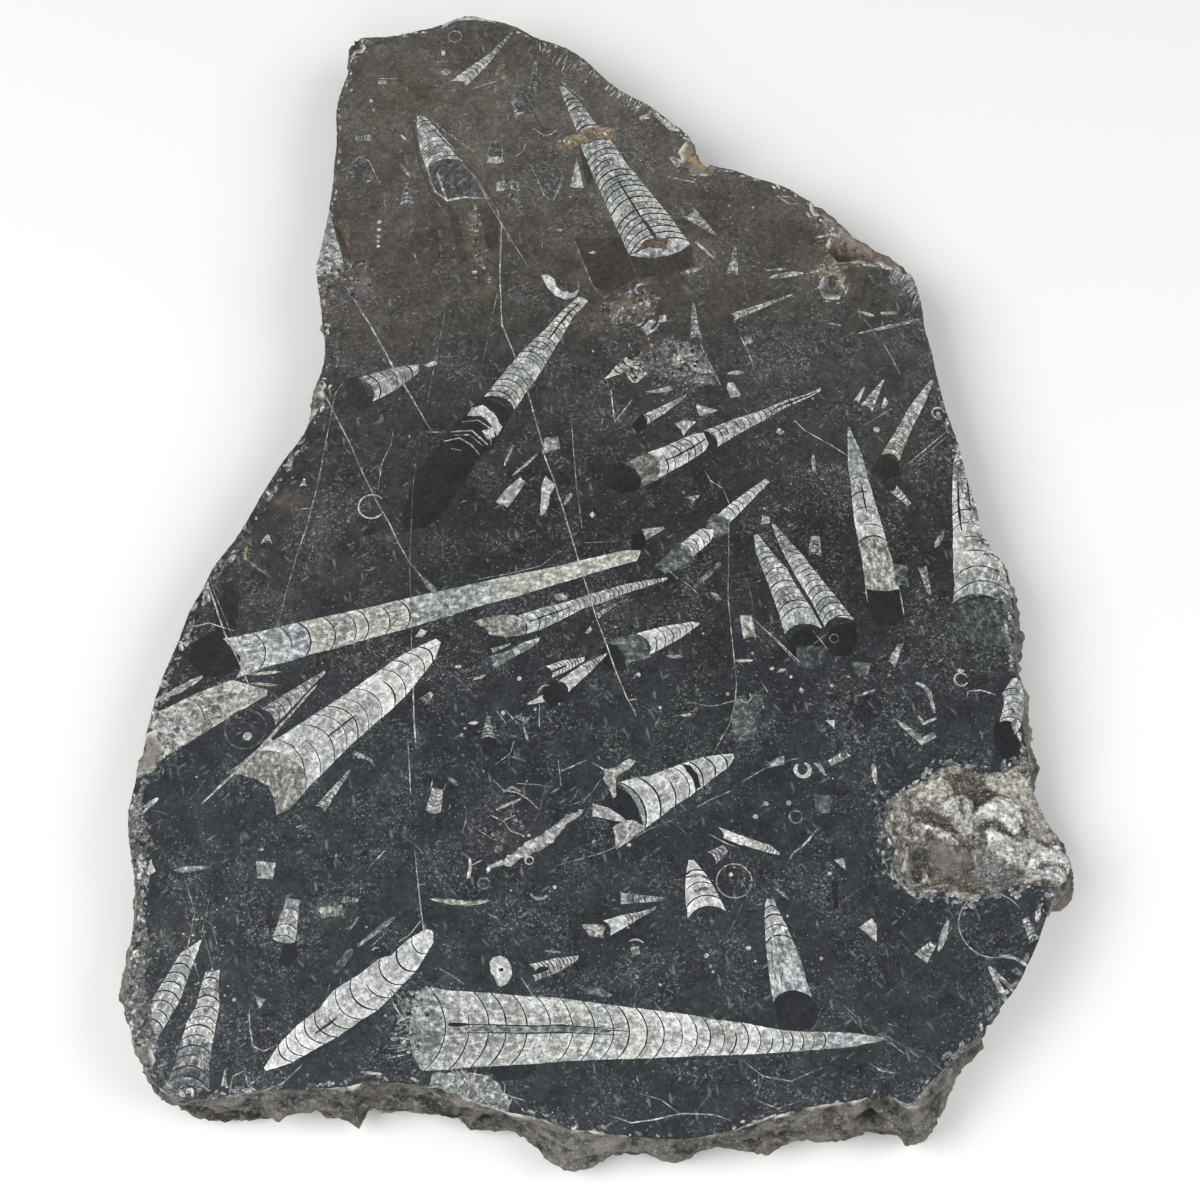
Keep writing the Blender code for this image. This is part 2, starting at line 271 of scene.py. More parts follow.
@dataclass(frozen=True)
class Shell:
    """One straight shell, cut along its length, with its apex first on both edges.

    Septa are dark walls that bulge towards the apex. They are given by their distance
    from the apex, or by a law of first distance, last distance, first gap and last gap.
    Bands give the tone of the chambers up to a distance from the apex. Cores are dark
    lines of the siphuncle: start, end, place across the shell from -1 to 1, and width.
    The strip is the siphuncle's own grey filling, given in the same way.
    """

    one: Row
    two: Row
    septa: Row = ()
    law: Row = ()
    bands: tuple[tuple[float, Tone], ...] = ((999.0, Tone.WHITE),)
    sag: float = 0.47
    base: float = 0.47
    wall: float = 0.75
    mottle: float = 0.5
    cores: tuple[Row, ...] = ()
    wall_tone: Tone = Tone.WALL
    cover: float = 1.0
    strip: Row = ()

    def axis(self) -> tuple[Vector, Vector, float]:
        """Return the apex, the direction to the base and the length.

        Returns:
            The apex, the unit direction to the base, and the length in mm.
        """
        one, two = pairs(self.one), pairs(self.two)
        apex = 0.5 * (Vector(one[0]) + Vector(two[0]))
        base = 0.5 * (Vector(one[-1]) + Vector(two[-1]))
        return apex, (base - apex).normalized(), (base - apex).length

    def walls_at(self) -> list[float]:
        """Return the distance of each septum from the apex.

        Returns:
            The distances in mm, from the apex on.
        """
        if self.septa:
            return list(self.septa)
        if not self.law:
            return []
        start, end, first, last = self.law
        found, place = [], start
        while place < end:
            share = (place - start) / max(end - start, 1e-6)
            found.append(place + 0.18 * first * noise.noise(Vector((place * 3.1, start, 7.0))))
            place += first + (last - first) * share
        return found


class ShellCut:
    """Works out the flat pieces that one shell is made of."""

    def __init__(self, shell: Shell, seed: float) -> None:
        """Read the shell's edges as distances along its axis.

        Args:
            shell: The shell as drawn.
            seed: Which noise its edge and chambers take.
        """
        self.shell = shell
        self.seed = seed
        self.apex, self.along, self.length = shell.axis()
        self.edges = []
        for flat in (shell.one, shell.two):
            points = pairs(flat)
            ways = [(Vector(p) - self.apex).dot(self.along) for p in points]
            ways = list(np.maximum.accumulate(ways))
            self.edges.append((ways, [p[0] for p in points], [p[1] for p in points]))
        self.walls = shell.walls_at()
        self.heading = math.degrees(math.atan2(self.along.y, self.along.x))
        self.found: dict[Point, Point] = {}

    def edge_points(self, way: float) -> tuple[Vector, Vector]:
        """Return the points of both edges at a distance from the apex."""
        found = [Vector((np.interp(way, w, x), np.interp(way, w, y))) for w, x, y in self.edges]
        return found[0], found[1]

    @staticmethod
    def bow(across: float) -> float:
        """Return how far a septum falls back at a place across it, from 0 to 1.

        Args:
            across: Place across the shell, from -1 to 1.

        Returns:
            0 in the middle and 1 at the edges.
        """
        radius = 1.25
        depth = radius - math.sqrt(radius * radius - 1.0)
        return (radius - math.sqrt(radius * radius - min(1.0, across * across))) / depth

    def point(self, way: float, across: float, sag: float) -> Point:
        """Return the plan point at a septum's distance and a place across it.

        Args:
            way: Distance of the septum from the apex, in mm.
            across: Place across the shell, from -1 to 1.
            sag: Depth of the septum's bow, as a share of its half width.

        Returns:
            The plan point.
        """
        one, two = self.edge_points(way)
        half = 0.5 * (two - one).length
        one, two = self.edge_points(way + sag * half * self.bow(across))
        found = one.lerp(two, 0.5 + 0.5 * across)
        return found.x, found.y

    def arc(self, way: float, sag: float, inset: float = 0.0) -> list[Point]:
        """Return a septum's line from one edge to the other.

        Args:
            way: Distance of the septum from the apex, in mm.
            sag: Depth of its bow, as a share of its half width.
            inset: Share of the half width that it stops short at each end.

        Returns:
            Its points.
        """
        one, two = self.edge_points(way)
        count = max(4, round((two - one).length / 1.4))
        reach = 1.0 - inset
        return [self.point(way, reach * (2.0 * i / count - 1.0), sag) for i in range(count + 1)]

    def outline(self) -> list[Point]:
        """Return the outline of the whole shell.

        Returns:
            The closed outline, whose base follows the last septum's bow.
        """
        shell = self.shell
        one, two = pairs(shell.one), pairs(shell.two)
        ends = (Vector(one[-1]), Vector(two[-1]))
        half = 0.5 * (ends[1] - ends[0]).length
        steps = max(3, round(2.0 * half / 2.0))
        cap = []
        for index in range(1, steps):
            across = 2.0 * index / steps - 1.0
            inward = shell.base * half * (1.0 - self.bow(across))
            place = ends[0].lerp(ends[1], index / steps) - self.along * inward
            cap.append((place.x, place.y))
        return one + cap + two[::-1]

    def station(self, x: float, y: float) -> Point:
        """Return the septum distance of a plan point, and its place across from -1 to 1.

        Args:
            x: Plan X, in mm.
            y: Plan Y, in mm.

        Returns:
            The septum distance in mm, and the place across.
        """
        key = (round(x, 3), round(y, 3))
        if key not in self.found:
            way = (Vector((x, y)) - self.apex).dot(self.along)
            one, two = self.edge_points(way)
            width = max((two - one).length, 0.2)
            across = 2.0 * (Vector((x, y)) - one).dot(two - one) / (width * width) - 1.0
            across = min(1.0, max(-1.0, across))
            self.found[key] = (way - self.shell.sag * 0.5 * width * self.bow(across), across)
        return self.found[key]

    def phase(self, way: float, number: int) -> float:
        """Return how far a septum distance lies through a chamber, from 0 to 1.

        Args:
            way: Septum distance from the apex, in mm.
            number: The chamber, counted from the apex.

        Returns:
            0 at the wall nearer the apex and 1 at the next.
        """
        if not self.walls:
            return 0.5
        low = self.walls[number - 1] if number else self.walls[0] - 6.0
        high = self.walls[number] if number < len(self.walls) else self.walls[-1] + 10.0
        return min(1.0, max(0.0, (way - low) / max(high - low, 0.1)))

    def chamber(self, x: float, y: float) -> int:
        """Return the number of the chamber at a plan point, counted from the apex."""
        return int(np.searchsorted(self.walls, self.station(x, y)[0]))

    def look_in(self, number: int, way: float) -> Look:
        """Return the look of a chamber, at a distance from the apex.

        Args:
            number: The chamber, counted from the apex.
            way: Distance from the apex, in mm.

        Returns:
            The look. Past the last septum but one the tone is the whole chamber's own.
        """
        bands = self.shell.bands
        start = self.walls[number - 1] + 0.1 if number else way
        band = next((i for i, (end, _) in enumerate(bands) if start < end), len(bands) - 1)
        tone = bands[band][1]
        tint = noise.cell(Vector((number * 9.1, self.seed * 2.3, 4.5)))
        other, share = (Tone.CREAM if tint > 0.0 else Tone.BLUISH), 0.5 * abs(tint)
        soft = 10.0
        if not number and band + 1 < len(bands) and bands[band][0] - way < soft:
            other, share = bands[band + 1][1], 0.5 * (1.0 - (bands[band][0] - way) / soft)
        elif not number and band and way - bands[band - 1][0] < soft:
            other, share = bands[band - 1][1], 0.5 * (1.0 - (way - bands[band - 1][0]) / soft)
        shade = 1.0 + 0.22 * noise.cell(Vector((number * 3.7 + self.seed, self.seed * 1.3, 0.5)))
        mottle = self.shell.mottle * (0.85 + 0.45 * noise.cell(Vector((number * 5.3, self.seed, 2.5))))
        mottle *= 0.7 + 0.5 * min(1.0, max(0.0, start / max(self.length, 1.0)))
        return Look(finish_for(tone), tone, mottle, self.heading, self.seed + number, shade, self.shell.cover,
                    other, share)

    def line(self, start: float, end: float, across: float) -> list[Point]:
        """Return a line along the shell at a place across it."""
        steps = max(3, round((end - start) / 4.0))
        return [self.point(start + (end - start) * i / steps, across, 0.0) for i in range(steps + 1)]

    def pieces(self) -> Iterable[Shape]:
        """Yield the body of the shell, then its septa and its siphuncle.

        Yields:
            The shapes, in painting order.
        """
        yield ShellBody(ragged(self.outline(), 1.6, 0.22, self.seed), Look(Finish.CALCITE, Tone.WHITE), self)
        dark = Look(Finish.INFILL, self.shell.wall_tone, 0.2)
        for number, way in enumerate(self.walls):
            line = self.arc(way, self.shell.sag)
            # Some septa are broken off short of the edge, and no two are equally thick.
            dice = noise.cell(Vector((number * 1.9, self.seed * 0.7, 8.5)))
            if abs(dice) > 0.7 and len(line) > 6:
                line = line[len(line) // 3:] if dice > 0.0 else line[:-(len(line) // 3)]
            width = self.shell.wall * (0.86 + 0.3 * noise.cell(Vector((number * 2.7, self.seed * 1.1, 6.5))))
            yield Shape(ribbon(line, width, 0.35, self.seed + number, 1.3), dark)
        if self.shell.strip:
            start, end, across, width = self.shell.strip
            look = Look(Finish.CALCITE, Tone.GREY, 1.0, self.heading, self.seed, cover=0.9)
            yield Shape(ribbon(self.line(start, end, across), width, 0.8, self.seed + 60.0, 1.4), look)
        for start, end, across, width in self.shell.cores:
            yield Shape(ribbon(self.line(start, end, across), width, 0.6, self.seed + 50.0, 1.4), dark)


@dataclass
class ShellBody(Shape):
    """The body of a shell, whose look depends on the chamber."""

    cut: ShellCut

    def looks(self, places: list[Point], centre: Point) -> list[Look]:
        """Return the look of the chamber at each corner of one triangle."""
        number = self.cut.chamber(*centre)
        return [self.cut.look_in(number, self.cut.station(*place)[0]) for place in places]

    def stations(self, places: list[Point], centre: Point) -> list[Point]:
        """Return, for corners of one triangle, their place in its chamber: along it and across it.

        Args:
            places: Plan points of the corners.
            centre: Plan point of the middle.

        Returns:
            For each corner how far along its chamber and across the shell it lies, 0 to 1.
        """
        number = self.cut.chamber(*centre)
        found = [self.cut.station(*place) for place in places]
        return [(self.cut.phase(way, number), abs(across)) for way, across in found]


@dataclass(frozen=True)
class Cone:
    """A small straight shell, by its apex, base, widths and the gap of its septa."""

    tone: Tone
    ends: Row
    widths: tuple[float, float]
    gap: float = 0.0
    base: float = 0.4
    sag: float = 0.45

    def shell(self) -> Shell:
        """Return the same shell with its edges written out.

        Returns:
            The shell in full.
        """
        ax, ay, bx, by = self.ends
        along = Vector((bx - ax, by - ay))
        length = along.length
        side = Vector((-along.y, along.x)).normalized()
        one, two = [], []
        for share in (0.0, 0.5, 1.0):
            half = 0.5 * (self.widths[0] + (self.widths[1] - self.widths[0]) * share)
            x, y = ax + (bx - ax) * share, ay + (by - ay) * share
            one += [x + side.x * half, y + side.y * half]
            two += [x - side.x * half, y - side.y * half]
        gap = self.gap
        law = (gap, length - 0.6 * gap, gap * 0.8, gap * 1.2) if gap else ()
        wall = min(0.5, 0.3 * gap) if gap else 0.3
        return Shell(tuple(one), tuple(two), law=law, bands=((999.0, self.tone),), sag=self.sag,
            base=self.base, wall=wall, mottle=1.1, cover=0.74)


@dataclass(frozen=True)
class Patch:
    """A flat piece with a drawn outline."""

    tone: Tone
    outline: Row
    mottle: float = 0.6
    rag: float = 0.35


@dataclass(frozen=True)
class Streak:
    """A line of uneven width."""

    tone: Tone
    width: float
    path: Row
    taper: float = 0.5


@dataclass(frozen=True)
class Ring:
    """A curved line, by its centre, radii and the angles where it starts and ends."""

    tone: Tone
    centre: Point
    radius: float
    width: float
    angles: tuple[float, float] = (0.0, 352.0)

    def path(self) -> list[Point]:
        """Return the points of its middle line.

        Returns:
            Plan points, in order.
        """
        start, end = (math.radians(angle) for angle in self.angles)
        count = max(6, round(abs(end - start) * self.radius / 1.3))
        turns = [start + (end - start) * i / count for i in range(count + 1)]
        return [(self.centre[0] + self.radius * math.cos(t),
                self.centre[1] + self.radius * math.sin(t)) for t in turns]


@dataclass(frozen=True)
class Rubble:
    """Crumbs strewn in an outline: their tones, their size in mm and their number on a square centimetre."""

    tones: tuple[Tone, ...]
    outline: Row
    size: float = 1.2
    dense: float = 22.0


@dataclass(frozen=True)
class Hatch:
    """A row of short scratches: its ends, their number, heading in degrees, length in mm and tone."""

    start: Point
    end: Point
    count: int
    heading: float
    length: float
    tone: Tone = Tone.SILVER


@dataclass(frozen=True)
class Lump:
    """A lump or a crevice of the hollow, by its colour and its rise in mm.

    The outline is closed, or it is the middle line where there is a width.
    A shell in it has ribs round a hub, the pitch apart in mm. Sunken crevices carry near-black colours, which
    are painted shade.
    """

    tone: str
    rise: float
    outline: Row
    hub: Point = (0.0, 0.0)
    pitch: float = 0.0
    width: float = 0.0

    def ring(self) -> np.ndarray:
        """Return the closed outline, with the small breaks of crystals.

        Returns:
            Rows of x and y.
        """
        points = pairs(self.outline)
        if self.width:
            return np.array(ribbon(points, self.width, 0.6, self.outline[0], 1.2))
        return np.array(ragged(points, 1.3, 0.3, self.outline[0]))


@dataclass(frozen=True)
class Cloud:
    """A soft oval of colour in the limestone, or of small debris."""

    centre: Point
    radii: tuple[float, float]
    turn: float
    strength: float
    tone: str = "#000000"

    def at(self, x: float, y: float) -> float:
        """Return its strength at a plan point.

        Args:
            x: Plan X, in mm.
            y: Plan Y, in mm.

        Returns:
            The strength, which fades outwards.
        """
        angle = math.radians(self.turn)
        dx, dy = x - self.centre[0], y - self.centre[1]
        u = (dx * math.cos(angle) + dy * math.sin(angle)) / self.radii[0]
        v = (-dx * math.sin(angle) + dy * math.cos(angle)) / self.radii[1]
        return self.strength * math.exp(-1.6 * (u * u + v * v))


# What the face shows.

W, P, S, G, A, F = Tone.WHITE, Tone.PALE, Tone.SILVER, Tone.GREY, Tone.ASH, Tone.FAINT
C, OL, BL = Tone.CREAM, Tone.OLIVE, Tone.BLUISH
INK, SOOT, MUD, UMBER = Tone.INK, Tone.SOOT, Tone.MUD, Tone.UMBER
BROWN, SAND, OCHRE, RUST, PINK = Tone.BROWN, Tone.SAND, Tone.OCHRE, Tone.RUST, Tone.PINK

# Dark and dull pieces that lie under the shells.
UNDER = (
    Patch(SOOT, (-30, -263, -48, -264.5, -50, -268, -44, -272, -34, -271, -29, -267)),
    Patch(S, (-75, -268.5, -62, -268, -50, -269.5, -45, -274, -40.5, -281, -41, -285.5, -52, -284.5, -60,
        -283.5, -69, -280.5, -76, -274), 1.1, 0.9),
    Patch(A, (-83, -232, -76, -234, -73, -245, -74, -256, -79, -266, -84, -262, -85, -246), 1.1, 1.2),
    Patch(OL, (-155, -113, -162, -119, -168, -125, -175, -130, -168, -130.4, -160.8, -132.5, -155, -135.8,
        -151.7, -141.7, -150, -150, -145, -147.5, -136, -137, -140, -122), 0.9),
    Patch(SOOT, (-176, -61, -186, -58, -195, -64, -196.5, -73, -190, -81, -180, -82.5, -172, -77, -171, -69)),
    Patch(INK, (-185, -65.4, -182, -68.6, -183.2, -72.6, -187.6, -72.2, -188.4, -67.8), 0.1, 0.3),
    Patch(SOOT,
        (-59, 69, -51.9, 65, -44, 62, -49, 51, -54, 41, -60.5, 36, -71, 39, -79.5, 44, -76, 50, -66, 63)),
    Patch(UMBER,
        (-79, 44, -71, 46, -65, 42, -60.5, 36, -66, 25, -76, 8, -86, -3, -97, -6, -99, 2, -93, 22, -86, 36),
        1.0, 0.9),
    Patch(UMBER, (13, 152, 5, 150, 8, 140, 20, 139, 36, 141, 47, 146, 46, 158, 33, 155)),
    Patch(UMBER, (0, 20, 2, 29, 8, 33, 16, 28, 19, 22, 17, 17, 9, 15)),
    Patch(BROWN, (14, 34, 24, 38, 32, 34, 31, 25, 18.3, 18, 19, 22.5, 16.7, 28.3, 10, 31.7), 0.9),
    Patch(INK, (46, 49, 52, 50, 57, 42, 51, 39, 47, 42)),
    Patch(INK, (107.5, -59, 110, -55.8, 117, -54, 121, -54, 121, -64, 117, -71, 109, -71, 105, -65)),
    Patch(INK, (86.7, -60, 89, -63, 92, -58, 97, -56, 101, -57.5, 104, -63, 102, -71, 95, -75, 89, -71)),
    Patch(SOOT, (126, -35, 133, -32, 143, -35, 145, -50, 139, -56, 130, -55, 126, -45)),
    Patch(F, (167, -43, 182, -37, 196, -46, 197, -58, 188, -66, 176, -65, 169, -56), 1.1, 0.9),
    Patch(OL, (-36.5, -53, -42, -49.8, -50, -50, -62, -53, -56, -57, -54, -60, -46, -61.5, -37, -60), 1.0),
    Patch(A, (50, -8, 50.5, 0, 54, 4.5, 59, 3.5, 62, 0, 61, -6, 56, -9), 0.9),
    Patch(A, (25, -24, 30, -19.5, 34, -14.5, 40, -11.5, 45, -18, 38, -26, 30, -28), 0.9),
    Patch(A, (18, -58.5, 10, -61, 5, -62.5, 2, -64, 7, -66, 10, -70, 10.5, -74.5, 11, -77, 13, -74, 17, -73.5,
        23, -71.5), 1.0),
    Patch(SOOT, (10, -71, 7, -66, 3, -64.5, -1, -68, 0, -75, 6, -80, 11, -77)),
    Patch(SOOT, (76, -235, 83, -231.7, 91, -233.5, 96, -240, 93, -248, 84, -251, 77, -247)),
    Patch(SOOT, (5.5, -136, 13, -140, 17, -146, 16, -154, 9, -157, 1, -153, -1, -144)),
    Patch(P, (6, -167, 5.5, -160, 4.5, -156, 9, -153, 14, -152.5, 18, -155, 19, -157, 12, -162), 0.9),
    Patch(A, (-92, 205, -84, 209, -75, 209, -72, 210, -66, 199, -61, 190, -68, 188.6, -74, 189, -80, 186, -84,
        187, -88, 194), 1.0),
    Patch(SOOT, (-15, 163, 10, 163, 14, 150, 16, 138, 4, 130, -5, 134, -10, 147)),
    Patch(SOOT, (-81, 184, -75, 178, -70, 149, -73, 148, -78, 168)),
    Patch(SOOT, (-65, 183, -59, 184, -54, 175, -54, 157, -60, 157, -62, 170)),
    Patch(INK, (183, -104, 186, -103, 195, -105, 195.5, -118, 191, -125, 185, -122, 182, -113)),
    Patch(SOOT, (-130, 79, -123, 81, -115, 66, -119, 60, -127, 65)),
    Patch(INK, (-12.5, 222, -9.5, 222, -6.5, 208, -4.5, 196, -8, 195.5, -10.5, 206)),
    Patch(SOOT, (-28, -86, -23, -83.5, -17, -88, -17.5, -94, -24, -97, -29, -93)),
    Patch(INK, (-57, -112.5, -50, -112.5, -49.5, -117, -52, -121.5, -56, -120.5)),
    Patch(INK, (-143, -208, -137.5, -208, -136.5, -216, -140, -222, -145, -219)),
    Patch(INK, (14, -7, 20, -6.5, 21, -13, 17.5, -17, 13.5, -14)),
    Patch(INK, (14, 53, 20, 60, 22, 52, 17, 49)),
    Patch(SOOT, (-184, -62, -176, -60, -174, -38, -180, -34, -186, -46)),
    Patch(A, (-37, 206, -33, 196, -28, 186.4, -23, 190, -20, 201, -19.6, 206, -25, 203, -31, 205), 1.0, 0.6),
    Patch(INK, (-81, 208, -78.5, 213, -81, 216, -83, 211)),
    Patch(SOOT, (146, 33, 137, 37, 132, 28, 138, 22, 146, 25)),
    Patch(BROWN, (-209, -262, -199, -264, -196, -252, -205, -246), 0.9),
    Patch(UMBER, (90, -284, 70, -286, 66, -296, 84, -299, 98, -294), 1.0),
    Patch(A, (62, -92, 67, -91, 72, -106, 70, -113, 62, -115, 60, -104), 0.9),
    Patch(F, (70, -90, 77, -91, 73, -101, 69.5, -100), 0.9),
    Patch(F, (92, -66, 104, -66, 106, -74, 98, -78, 92, -76), 0.9),
)

